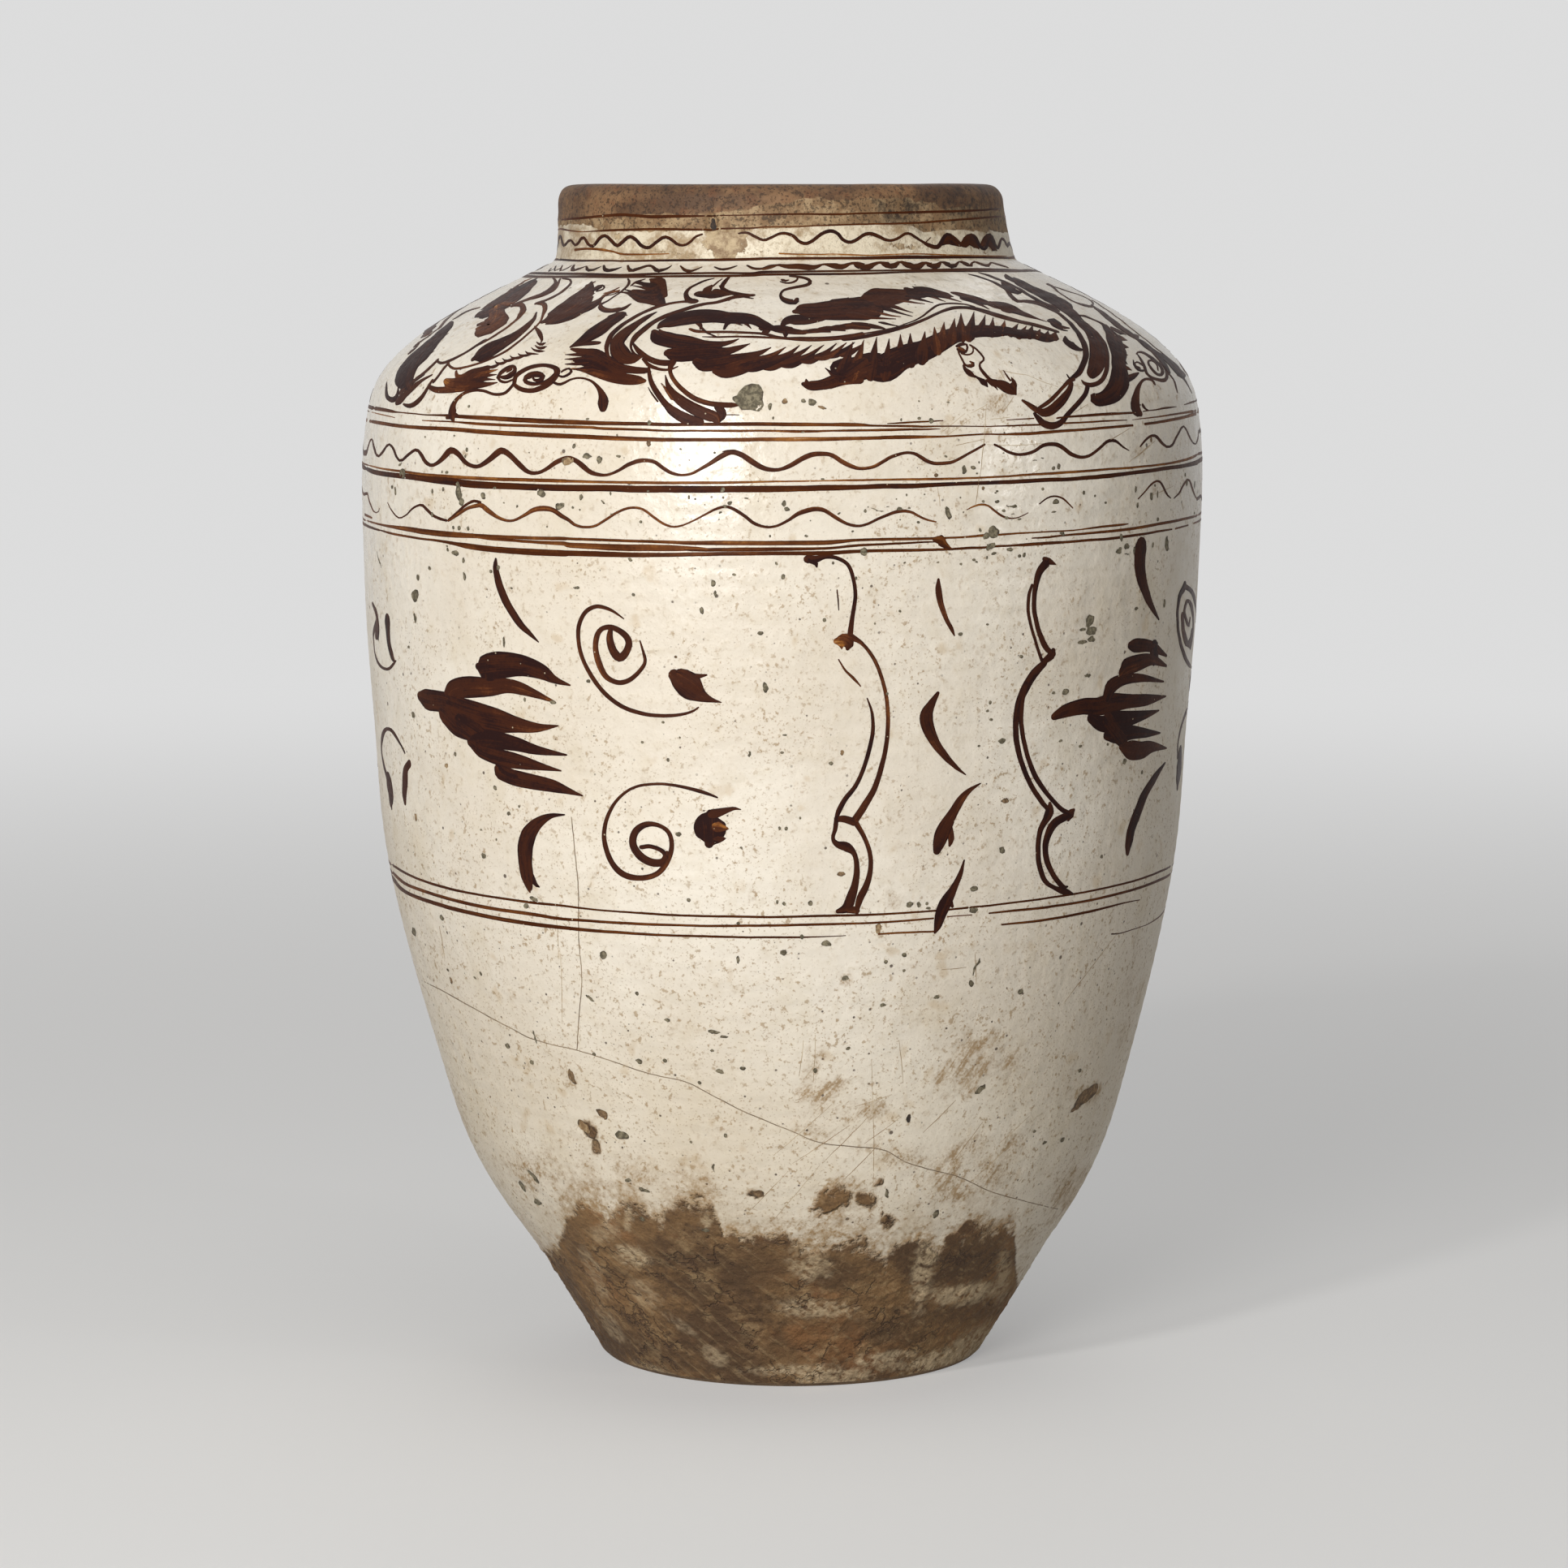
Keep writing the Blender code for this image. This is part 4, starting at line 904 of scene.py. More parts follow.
handDrawn["leftPanel"] = "panelLeft", [
    [(492, 138, 8), (492, 175, 18), (510, 245, 24), (540, 310, 24), (580, 370, 22), (615, 405, 14),
     (645, 434, 4)],
    [(428, 521, 24), (440, 523, 66), (496, 517, 88), (578, 517, 70), (652, 538, 50), (701, 568, 26),
     (757, 588, 6)],
    [(471, 548, 56), (472, 580, 26), (472, 604, 8)],
    [(318, 625, 34), (345, 600, 60), (400, 595, 70), (470, 595, 60), (530, 590, 48), (580, 600, 40),
     (640, 622, 24), (705, 650, 6)],
    [(222, 628, 30), (250, 640, 66), (310, 650, 66), (370, 680, 70)],
    [(340, 665, 70), (420, 695, 84), (500, 715, 76), (570, 730, 50), (640, 740, 30), (715, 734, 5)],
    [(310, 690, 50), (360, 735, 60), (420, 770, 40)], [(370, 720, 60), (430, 760, 60)],
    [(405, 790, 40), (440, 780, 60), (500, 785, 56), (570, 800, 44), (640, 820, 30), (745, 838, 6)],
    [(410, 800, 24), (450, 830, 40), (520, 850, 54), (590, 865, 44), (650, 878, 26), (725, 894, 5)],
    [(498, 888, 20), (510, 905, 36), (560, 920, 50), (630, 935, 48), (700, 950, 40), (750, 966, 22),
     (802, 984, 5)],
    [(500, 850, 30), (520, 890, 30), (560, 910, 30)],
    [(738, 1052, 5), (690, 1056, 18), (645, 1080, 36), (612, 1120, 50), (598, 1170, 50), (598, 1220, 44),
     (604, 1270, 40), (612, 1310, 22)],
    [(620, 1270, 16), (635, 1300, 14), (648, 1310, 5)], [(595, 1270, 20), (608, 1310, 16), (614, 1328, 6)],
    [(950, 350, 4), (915, 325, 9), (880, 310, 12), (845, 308, 14), (810, 330, 14), (790, 375, 14),
     (788, 425, 13), (800, 485, 13), (832, 550, 14), (880, 615, 14), (940, 662, 14), (1010, 688, 13),
     (1080, 698, 12), (1150, 694, 10), (1195, 682, 8), (1217, 668, 5)],
    [(905, 380, 12), (900, 420, 22), (912, 465, 26), (935, 490, 28), (958, 470, 24), (968, 435, 22),
     (950, 405, 20), (910, 382, 18), (875, 385, 16), (855, 410, 18), (850, 460, 18), (862, 510, 20),
     (885, 555, 18), (925, 578, 16), (965, 572, 16), (1000, 545, 14), (1026, 508, 12), (1020, 470, 9),
     (1008, 430, 5)],
    [(1131, 553, 41), (1151, 569, 66), (1176, 586, 82), (1200, 606, 74), (1229, 627, 41), (1262, 641, 18),
     (1299, 650, 3)],
    [(1151, 545, 30), (1188, 557, 28), (1213, 557, 18), (1246, 552, 6)],
    [(1164, 557, 50), (1196, 578, 56), (1213, 594, 40)],
    [(1284, 990, 6), (1230, 970, 12), (1150, 950, 10), (1080, 942, 9), (1000, 950, 9), (940, 985, 10),
     (900, 1040, 12), (880, 1110, 14), (886, 1170, 16), (912, 1230, 18), (955, 1268, 20), (1015, 1278, 18),
     (1070, 1262, 18), (1105, 1220, 18), (1122, 1165, 16), (1110, 1115, 14), (1070, 1088, 14),
     (1025, 1088, 20), (990, 1115, 24), (984, 1160, 24), (1010, 1200, 26), (1050, 1222, 26),
     (1090, 1220, 24), (1105, 1190, 18)],
    [(1012, 1168, 14), (1045, 1165, 14), (1085, 1180, 14), (1105, 1205, 16)],
    [(1258, 1045, 23), (1255, 1060, 65), (1255, 1081, 96), (1258, 1099, 104), (1258, 1122, 96),
     (1258, 1143, 67), (1255, 1155, 31)],
    [(1268, 1050, 34), (1302, 1040, 24), (1328, 1033, 16), (1346, 1029, 11), (1369, 1033, 3)],
    [(1286, 1096, 41), (1307, 1100, 23), (1325, 1102, 3)],
    [(1286, 1138, 31), (1304, 1138, 16), (1315, 1136, 3)],
    [(52, 298, 6), (64, 330, 9), (70, 370, 12), (66, 398, 22), (64, 410, 10)],
    [(66, 360, 10), (55, 400, 8), (56, 440, 6), (64, 490, 6), (82, 522, 8), (108, 530, 10), (128, 510, 8),
     (136, 500, 4)],
    [(104, 360, 18), (106, 400, 14), (112, 450, 12), (124, 490, 12), (132, 502, 4)],
    [(168, 830, 4), (150, 795, 6), (120, 750, 10), (98, 748, 12), (85, 790, 8), (88, 850, 8),
     (102, 910, 10), (112, 940, 20)],
    [(110, 935, 24), (116, 970, 24), (118, 1010, 16), (120, 1026, 6)],
    [(185, 868, 20), (172, 890, 18), (168, 940, 18), (166, 980, 14), (168, 1006, 8)],
]
handDrawn["rightPanel"] = "panelRight", [
    [(150, 132, 26), (180, 132, 22), (210, 124, 14), (250, 128, 12), (290, 152, 12), (308, 200, 12),
     (315, 260, 12), (305, 330, 14), (297, 392, 18)],
    [(160, 135, 20), (178, 145, 16), (182, 158, 6)],
    [(250, 415, 20), (272, 415, 50), (290, 425, 44), (288, 440, 14)],
    [(300, 400, 22), (340, 425, 12), (378, 475, 12), (405, 540, 12), (422, 610, 12), (428, 690, 13),
     (422, 770, 14), (405, 850, 16), (380, 925, 18), (345, 985, 22), (312, 1035, 24)],
    [(257, 478, 4), (280, 515, 7), (310, 545, 9), (333, 570, 4)],
    [(356, 612, 4), (372, 660, 9), (376, 720, 12), (365, 780, 13), (345, 850, 13), (315, 915, 14),
     (280, 960, 16), (258, 1000, 16), (250, 1025, 12)],
    [(250, 1030, 16), (275, 1028, 22), (312, 1040, 24)],
    [(250, 1025, 14), (246, 1060, 14), (238, 1095, 12), (252, 1115, 20), (285, 1125, 30), (312, 1150, 16),
     (320, 1200, 18), (315, 1250, 22), (300, 1300, 30), (285, 1335, 30), (255, 1348, 14)],
    [(316, 1040, 18), (345, 1090, 14), (366, 1150, 14), (366, 1210, 16), (352, 1260, 20), (332, 1300, 22),
     (320, 1345, 14), (324, 1358, 5)],
    [(255, 1346, 12), (290, 1340, 24), (320, 1345, 20)], [(252, 238, 4), (256, 275, 5), (258, 308, 3)],
    [(602, 202, 8), (602, 240, 20), (612, 290, 18), (630, 340, 14), (648, 375, 12), (657, 396, 4)],
    [(600, 594, 10), (578, 630, 24), (560, 670, 40), (565, 710, 40), (590, 765, 30), (625, 812, 22),
     (660, 848, 14), (694, 875, 4)],
    [(745, 906, 4), (710, 928, 14), (680, 960, 24), (650, 1010, 30), (620, 1065, 44), (605, 1105, 40),
     (596, 1138, 24)],
    [(640, 1060, 20), (645, 1095, 20), (640, 1120, 8)],
    [(690, 1170, 4), (678, 1215, 14), (655, 1265, 22), (630, 1310, 36), (612, 1350, 36), (600, 1395, 24),
     (590, 1420, 8)],
    [(640, 1310, 20), (650, 1330, 10)], [(1006, 150, 5), (985, 140, 20), (968, 132, 16)],
    [(975, 145, 26), (952, 175, 22), (938, 225, 16), (932, 290, 14), (940, 350, 14), (955, 400, 16),
     (975, 440, 18), (1000, 460, 16)],
    [(998, 448, 14), (990, 465, 24), (965, 485, 18)],
    [(925, 222, 8), (914, 260, 10), (912, 310, 10), (922, 365, 9), (938, 420, 9), (952, 465, 10),
     (960, 485, 10)],
    [(968, 490, 20), (930, 530, 26), (900, 580, 26), (878, 635, 22), (868, 700, 18), (872, 770, 18),
     (890, 840, 16), (920, 910, 16), (955, 965, 16), (975, 990, 14)],
    [(905, 560, 10), (892, 620, 12), (886, 680, 14), (892, 740, 14), (908, 810, 14), (935, 880, 16),
     (975, 940, 14), (1020, 990, 14), (1055, 1012, 18)],
    [(985, 975, 10), (985, 1000, 26), (975, 1025, 24)],
    [(1068, 998, 10), (1058, 1010, 24), (1050, 1028, 12)],
    [(975, 1025, 22), (952, 1070, 16), (945, 1130, 16), (950, 1190, 16), (968, 1240, 16), (1000, 1265, 14),
     (1040, 1280, 22), (1065, 1288, 8)],
    [(1050, 1015, 24), (1005, 1040, 26), (980, 1080, 22), (970, 1130, 18), (978, 1180, 18),
     (1000, 1225, 16), (1030, 1262, 16), (1046, 1262, 6)],
    [(1000, 675, 22), (1040, 655, 40), (1100, 640, 50), (1150, 640, 56), (1200, 628, 60), (1260, 622, 44),
     (1320, 618, 36), (1385, 605, 6)],
    [(1262, 430, 26), (1280, 430, 44), (1320, 430, 40), (1350, 440, 30), (1388, 465, 8)],
    [(1345, 440, 30), (1350, 470, 20), (1345, 490, 10)],
    [(1235, 520, 26), (1250, 505, 50), (1290, 490, 50), (1340, 480, 34), (1388, 500, 8)],
    [(1185, 600, 30), (1200, 570, 40), (1240, 548, 34), (1300, 542, 26), (1378, 554, 6)],
    [(1125, 680, 30), (1165, 700, 50), (1210, 690, 60), (1270, 680, 44), (1320, 668, 24), (1362, 654, 5)],
    [(1180, 740, 30), (1220, 735, 60), (1270, 730, 44), (1320, 732, 28), (1366, 732, 6)],
    [(1185, 690, 50), (1215, 730, 50), (1240, 760, 40)],
    [(1230, 780, 20), (1262, 790, 60), (1300, 792, 54), (1340, 780, 34), (1388, 784, 6)],
    [(1300, 92, 36), (1296, 130, 34), (1300, 185, 32), (1315, 240, 26), (1335, 290, 18), (1362, 340, 5)],
    [(1382, 836, 5), (1345, 890, 18), (1312, 945, 22), (1290, 1000, 24), (1268, 1060, 24), (1258, 1110, 22),
     (1254, 1142, 12)],
    [(1468, 340, 6), (1465, 362, 10), (1455, 340, 8), (1450, 310, 8), (1460, 275, 10), (1475, 300, 10),
     (1480, 350, 10), (1475, 400, 22), (1462, 425, 18), (1448, 390, 12), (1442, 330, 10)],
    [(1450, 225, 16), (1432, 265, 10), (1426, 330, 8), (1432, 400, 8), (1448, 460, 10), (1468, 500, 10),
     (1482, 508, 6)],
    [(1452, 226, 16), (1475, 245, 12), (1488, 290, 8), (1490, 350, 6)],
    [(1472, 622, 4), (1448, 680, 7), (1430, 750, 7), (1426, 810, 8)],
    [(1434, 815, 26), (1432, 850, 34), (1428, 890, 26), (1426, 912, 12)],
    [(590, 70, 10), (608, 66, 34), (620, 80, 24), (650, 100, 5)],
]
# The long leaf's lower half: one stroke for its body, and a feather from each head to its tip, as wide
# as its place in the row asks, with the shares of its length and width along it
lowerRow = {
    "body": [
        (-8, 810, 150), (100, 800, 160), (200, 780, 180), (300, 790, 190), (400, 730, 170), (500, 690, 150),
        (600, 660, 140), (700, 610, 130), (800, 560, 110), (900, 535, 90), (1000, 525, 80), (1100, 525, 80),
        (1200, 525, 60), (1300, 545, 60), (1400, 550, 60), (1500, 575, 56), (1560, 570, 40),
    ],
    "heads": [
        (-30, 880), (60, 878), (190, 872), (300, 872), (418, 795), (490, 775), (570, 755), (690, 685),
        (720, 650), (790, 610), (870, 590), (920, 590), (1000, 555), (1090, 562), (1170, 552), (1230, 560),
        (1290, 575), (1370, 575), (1430, 575), (1500, 592), (1560, 585),
    ],
    "tips": [
        (60, 610), (142, 594), (238, 572), (330, 584), (414, 552), (488, 543), (596, 530), (666, 496),
        (738, 460), (818, 432), (864, 394), (962, 380), (1046, 404), (1102, 424), (1190, 444), (1290, 470),
        (1352, 486), (1396, 482), (1452, 510), (1512, 522), (1566, 528),
    ],
    "widths": ((650, 100), (950, 86), (1600, 66)),  # up to that x, that width
    "taper": ((0, 0.6), (0.12, 0.95), (0.35, 0.85), (0.6, 0.5), (0.8, 0.25), (1, 0.05)),
}


def feathers(row):  # the feathers from right to left
    drawn = []
    for (x, y), (tipX, tipY) in list(zip(row["heads"], row["tips"]))[::-1]:
        wide = next(wide for until, wide in row["widths"] if x < until)
        away, down = tipX - x, tipY - y
        feather = [(x + away * t, y + down * t, wide * share) for t, share in row["taper"]]
        drawn.append(np.round(feather).tolist())
    return drawn


handDrawn["lowerRow"] = "shoulderRight", [lowerRow["body"]] + feathers(lowerRow)

# Hairline cracks in the photograph's pixels
cracks = [
    [(520, 1208), (551, 1224), (590, 1246), (626, 1265), (658, 1281), (711, 1294), (747, 1305), (797, 1322),
     (844, 1333), (890, 1356), (922, 1372), (974, 1393), (1011, 1408), (1055, 1413), (1089, 1417),
     (1122, 1434), (1181, 1450), (1218, 1467), (1255, 1478), (1307, 1491)],
    [(704, 1007), (712, 1088), (713, 1156), (717, 1203), (714, 1246), (711, 1294)],
]

# Chips and pits in an enlargement: x, y, width, height, then turn in degrees and tone where they differ
# from 0 and grey
chips = {
    "neckLeft": [(1158, 372, 40, 76, 8, "dark")],
    "lowerLeft": [
        (845, 325, 26, 26), (798, 472, 32, 14, 30), (580, 153, 16, 18), (605, 132, 28, 18, 10),
        (290, 195, 12, 14), (192, 243, 14, 34, 80), (310, 375, 8, 8), (403, 400, 8, 8), (423, 387, 8, 12),
        (320, 410, 8, 20, "brown"), (515, 635, 14, 18), (600, 694, 14, 14), (609, 605, 6, 34),
        (1065, 546, 22, 14), (960, 455, 12, 14), (1141, 132, 12, 12), (1466, 318, 22, 18),
        (1310, 340, 12, 22), (1230, 588, 44, 12, 10), (1262, 605, 30, 8), (1222, 653, 16, 8),
        (1248, 726, 30, 14, 10), (1325, 713, 20, 10), (968, 690, 24, 20), (1058, 686, 14, 14),
        (814, 664, 12, 12), (1178, 763, 14, 12), (843, 868, 40, 24, 40, "brown"),
        (778, 915, 44, 28, 50, "ochre"), (823, 975, 40, 24, 80, "brown"), (910, 945, 40, 24),
        (1267, 946, 14, 14), (1148, 968, 10, 10), (1228, 1055, 6, 26), (605, 1090, 28, 18, 45),
        (565, 1120, 14, 24), (618, 1175, 24, 12), (990, 1133, 36, 14, 20), (930, 1098, 22, 12),
        (1375, 1147, 50, 22, 20, "brown"), (980, 1232, 14, 14), (1195, 1272, 30, 14),
        (740, 745, 14, 60, -15, "brown"),
    ],
    "lowerRight": [
        (172, 305, 24, 18), (20, 328, 12, 26), (316, 274, 30, 16, 10), (574, 312, 14, 14),
        (516, 335, 12, 14), (503, 480, 22, 10), (682, 453, 18, 14), (797, 408, 16, 24, -20),
        (817, 350, 6, 60, 10), (963, 432, 18, 20), (805, 90, 24, 16), (810, 158, 26, 22),
        (712, 142, 12, 12), (625, 145, 12, 14), (592, 142, 20, 10), (655, 155, 16, 8), (264, 138, 16, 14),
        (575, 365, 10, 10), (377, 390, 24, 16), (388, 624, 16, 12), (280, 698, 14, 16), (37, 690, 18, 12),
        (590, 855, 16, 28, -10, "dark"), (830, 755, 34, 14, -40), (1040, 938, 12, 10), (1100, 926, 12, 14),
        (1008, 898, 10, 8), (1160, 695, 10, 10), (1185, 778, 70, 40, -15, "brown"),
        (1145, 820, 34, 18, -20, "brown"), (515, 1105, 10, 30, -15), (682, 1172, 20, 24),
        (84, 1107, 50, 26, 15, "brown"),
    ],
    "bandsLeft": [
        (657, 310, 14, 30), (650, 350, 12, 20), (255, 400, 16, 16), (540, 445, 20, 20), (510, 443, 10, 16),
        (270, 452, 34, 50), (605, 555, 40, 120, -15), (625, 622, 30, 44, -30), (758, 583, 28, 34, 30),
        (1112, 575, 50, 50), (1348, 597, 24, 40), (1228, 653, 56, 36, -20), (1298, 660, 14, 16),
        (1340, 673, 12, 12), (613, 782, 20, 30), (667, 787, 16, 30), (577, 780, 14, 20),
        (1378, 357, 54, 36), (1457, 373, 40, 50, "ochre"), (1268, 373, 80, 50, "ochre"),
        (1305, 288, 22, 28), (1387, 125, 22, 14), (1035, 327, 8, 8), (408, 233, 10, 8), (585, 225, 12, 12),
        (517, 547, 14, 24), (450, 560, 12, 30), (208, 535, 12, 24), (227, 560, 10, 50),
        (140, 530, 20, 80, "smear"), (883, 633, 12, 10), (962, 652, 12, 16), (448, 703, 14, 30),
        (1145, 773, 12, 12), (638, 975, 14, 34), (590, 930, 40, 24), (540, 893, 12, 12),
        (128, 965, 60, 10, 45), (1528, 573, 8, 24), (1480, 630, 10, 40, -30), (673, 48, 14, 16),
        (1228, 65, 12, 10), (825, 543, 20, 16),
    ],
    "bandsMid": [
        (1093, -8, 176, 160), (1093, -4, 100, 90, "ochre"), (1215, 48, 20, 36), (1470, 20, 50, 40),
        (1415, 15, 30, 24), (1530, 52, 50, 14, 20, "brown"), (1305, 20, 40, 30, "ochre"),
        (1235, 118, 14, 22), (880, 328, 16, 14), (675, 305, 14, 10), (485, 150, 24, 30),
        (485, 275, 24, 40, "brown"), (290, 220, 10, 14), (100, 355, 50, 30), (183, 373, 40, 46),
        (298, 352, 30, 16), (32, 288, 20, 26), (728, 372, 10, 8), (480, 562, 20, 12), (928, 552, 30, 34),
        (73, 597, 22, 38), (26, 660, 12, 14), (67, 673, 10, 10), (255, 576, 8, 22), (203, 632, 6, 36, -30),
        (435, 748, 18, 18), (263, 697, 24, 8), (727, 595, 14, 22), (764, 607, 14, 12), (972, 633, 28, 24),
        (945, 655, 30, 20), (918, 690, 24, 12, -30), (932, 600, 14, 16), (1072, 600, 24, 10),
        (1298, 637, 24, 36), (1320, 668, 34, 30, 20), (1215, 832, 14, 16), (1435, 833, 22, 16),
        (822, 642, 8, 8), (1458, 738, 8, 8), (1535, 487, 24, 12), (370, 972, 24, 18), (1250, 992, 12, 16),
        (1415, 205, 24, 8),
    ],
    "bandsRight": [
        (673, 20, 14, 14), (890, 30, 20, 14), (768, 80, 10, 10), (673, 150, 24, 20), (540, 158, 16, 22),
        (760, 167, 38, 40), (870, 432, 24, 20), (1003, 530, 40, 60), (1074, 518, 38, 26),
        (1103, 558, 16, 14), (1118, 475, 10, 20), (800, 570, 30, 30, "brown"), (1150, 665, 24, 30, "brown"),
        (1252, 690, 20, 18), (1240, 705, 16, 14), (1150, 768, 22, 26), (1252, 772, 34, 28),
        (1302, 835, 26, 20), (1360, 798, 80, 14, 5), (1388, 800, 30, 24), (1370, 860, 26, 8),
        (1325, 890, 40, 24), (1420, 900, 30, 16), (578, 720, 14, 18), (530, 822, 36, 24),
        (600, 815, 16, 14), (442, 806, 22, 8), (276, 840, 24, 30), (78, 856, 26, 14, -40),
        (295, 808, 10, 10), (370, 830, 100, 8, 15), (890, 855, 40, 110, -15), (668, 922, 26, 20),
        (1002, 847, 12, 12), (1230, 980, 70, 70), (1170, 1018, 50, 44, -30), (1215, 1092, 70, 44, -40),
        (270, 1137, 44, 60), (1345, 1123, 34, 26), (1232, 1155, 40, 18, -10), (1082, 1195, 30, 20),
        (1180, 1182, 14, 26), (1455, 1167, 20, 36), (815, 1222, 22, 16), (570, 1220, 20, 12, -30),
        (35, 1222, 20, 24), (982, 738, 12, 14), (715, 716, 14, 12), (506, 750, 12, 10), (178, 990, 18, 14),
        (533, 902, 12, 10), (1530, 455, 30, 8, -10), (1300, 405, 14, 10),
    ],
    "bandsEdge": [
        (265, 675, 20, 22), (368, 768, 40, 34), (350, 843, 36, 12, -10), (570, 700, 20, 30),
        (655, 725, 16, 22), (735, 778, 20, 20), (953, 675, 14, 50), (968, 800, 16, 40), (1075, 730, 20, 60),
        (1120, 710, 12, 50), (1097, 650, 14, 20), (1335, 630, 20, 50), (1393, 650, 12, 60),
        (1325, 570, 16, 30), (1117, 900, 14, 30), (410, 1002, 34, 24), (888, 1092, 28, 44),
        (840, 1130, 24, 50), (890, 1155, 34, 10), (1185, 1080, 24, 100), (1083, 1090, 12, 40),
        (95, 1172, 24, 24), (15, 1125, 40, 26), (385, 505, 26, 40), (345, 520, 26, 26), (263, 443, 24, 8),
        (208, 453, 30, 8), (1072, 305, 16, 40, "brown"), (1390, 855, 12, 24),
    ],
    "panelLeft": [
        (201, 265, 22, 40), (518, 432, 12, 36), (203, 350, 8, 40), (214, 202, 10, 22), (378, 200, 10, 30),
        (255, 172, 10, 16), (378, 143, 10, 16), (352, 115, 14, 18), (320, 103, 8, 14), (475, 180, 10, 12),
        (502, 168, 14, 18), (548, 240, 10, 8), (181, 452, 8, 10), (197, 692, 16, 20), (348, 832, 10, 14),
        (317, 873, 12, 18, "rust"), (540, 1048, 12, 14), (577, 1022, 8, 10), (450, 1200, 16, 20),
        (440, 1105, 8, 8), (496, 1140, 6, 10), (628, 1357, 28, 18, 10), (601, 1378, 16, 16),
        (300, 1423, 12, 14), (878, 1553, 26, 26), (1145, 1120, 22, 18, -20), (1370, 1170, 10, 8),
        (1454, 597, 16, 34), (1398, 835, 12, 26), (1110, 857, 12, 14), (1016, 793, 10, 10),
        (1090, 722, 12, 10), (1151, 777, 8, 8), (1230, 320, 18, 26), (1271, 222, 18, 24),
        (1277, 260, 10, 24), (1343, 192, 14, 10), (974, 142, 16, 10), (782, 240, 24, 10),
        (1440, 402, 22, 14), (1497, 152, 8, 12), (985, 264, 12, 12), (1135, 487, 12, 10, "brown"),
        (823, 573, 16, 14), (697, 645, 22, 14), (596, 640, 10, 16), (1185, 1357, 12, 16),
        (1360, 1442, 14, 10), (208, 1060, 8, 30, "rust"), (490, 955, 10, 18, -30),
        (630, 280, 60, 50, "smear"),
    ],
    "panelRight": [
        (348, 106, 24, 26), (793, 38, 34, 30), (768, 50, 24, 16), (788, 88, 30, 22, -30),
        (850, 100, 16, 12), (745, 32, 10, 14), (1232, 60, 12, 26), (1255, 87, 10, 16), (1223, 108, 22, 16),
        (1390, 85, 14, 40), (1278, 100, 8, 24), (1033, 48, 12, 8), (64, 195, 12, 20), (43, 148, 10, 10),
        (208, 340, 14, 14), (318, 198, 8, 14), (382, 355, 8, 8), (678, 390, 16, 14), (680, 150, 10, 10),
        (733, 140, 10, 6), (468, 312, 10, 10), (770, 358, 10, 8), (887, 467, 12, 14), (1038, 585, 20, 22),
        (998, 592, 12, 10), (1117, 530, 24, 14), (1122, 345, 30, 50), (1130, 382, 34, 30),
        (1098, 420, 26, 16), (1128, 412, 28, 18), (1100, 375, 20, 12), (1285, 303, 12, 10),
        (1380, 285, 8, 30), (425, 597, 10, 10), (770, 655, 12, 8), (780, 627, 10, 14), (783, 685, 12, 10),
        (820, 758, 24, 20), (740, 777, 10, 8), (62, 800, 14, 10), (70, 740, 16, 8),
        (270, 798, 14, 20, "ochre"), (232, 835, 18, 12), (1243, 830, 14, 18), (1302, 868, 8, 14),
        (1185, 770, 8, 10), (832, 965, 26, 18, "brown"), (820, 1137, 22, 26), (78, 1062, 12, 12),
        (53, 1060, 8, 14), (125, 1025, 8, 10), (265, 1218, 30, 14, "brown"), (440, 1310, 44, 60, "smear"),
        (720, 1268, 22, 16), (722, 1340, 26, 24), (502, 1325, 24, 16, -30), (533, 1320, 10, 14),
        (562, 1320, 10, 12), (623, 1323, 8, 12), (162, 1320, 16, 16), (70, 1320, 12, 14),
        (45, 1315, 10, 14), (215, 1462, 34, 16, 10), (68, 1492, 24, 14), (485, 1498, 14, 16),
        (130, 1435, 12, 16), (395, 1405, 24, 40, "ochre"), (1165, 1160, 8, 14), (5, 575, 14, 30),
        (1023, 760, 14, 10), (1090, 778, 12, 10),
    ],
}
chipTones = {"grey": 0.0, "brown": 0.35, "dark": 0.5, "ochre": 0.7, "rust": 0.85, "smear": 1.0}

# The upper edge of the bare clay round the foot, left to right in its enlargement
clayEdge = [
    (100, 330), (200, 315), (236, 285), (262, 215), (290, 196), (330, 215), (350, 240), (375, 202),
    (420, 196), (470, 232), (500, 200), (540, 182), (590, 190), (608, 225), (618, 270), (640, 262),
    (665, 282), (700, 270), (760, 265), (800, 294), (850, 290), (870, 275), (940, 284), (965, 300),
    (990, 325), (1010, 285), (1050, 268), (1080, 275), (1112, 305), (1140, 262), (1160, 262), (1180, 236),
    (1198, 240), (1215, 258), (1240, 250), (1285, 254), (1290, 300), (1282, 350), (1300, 395), (1420, 395),
]
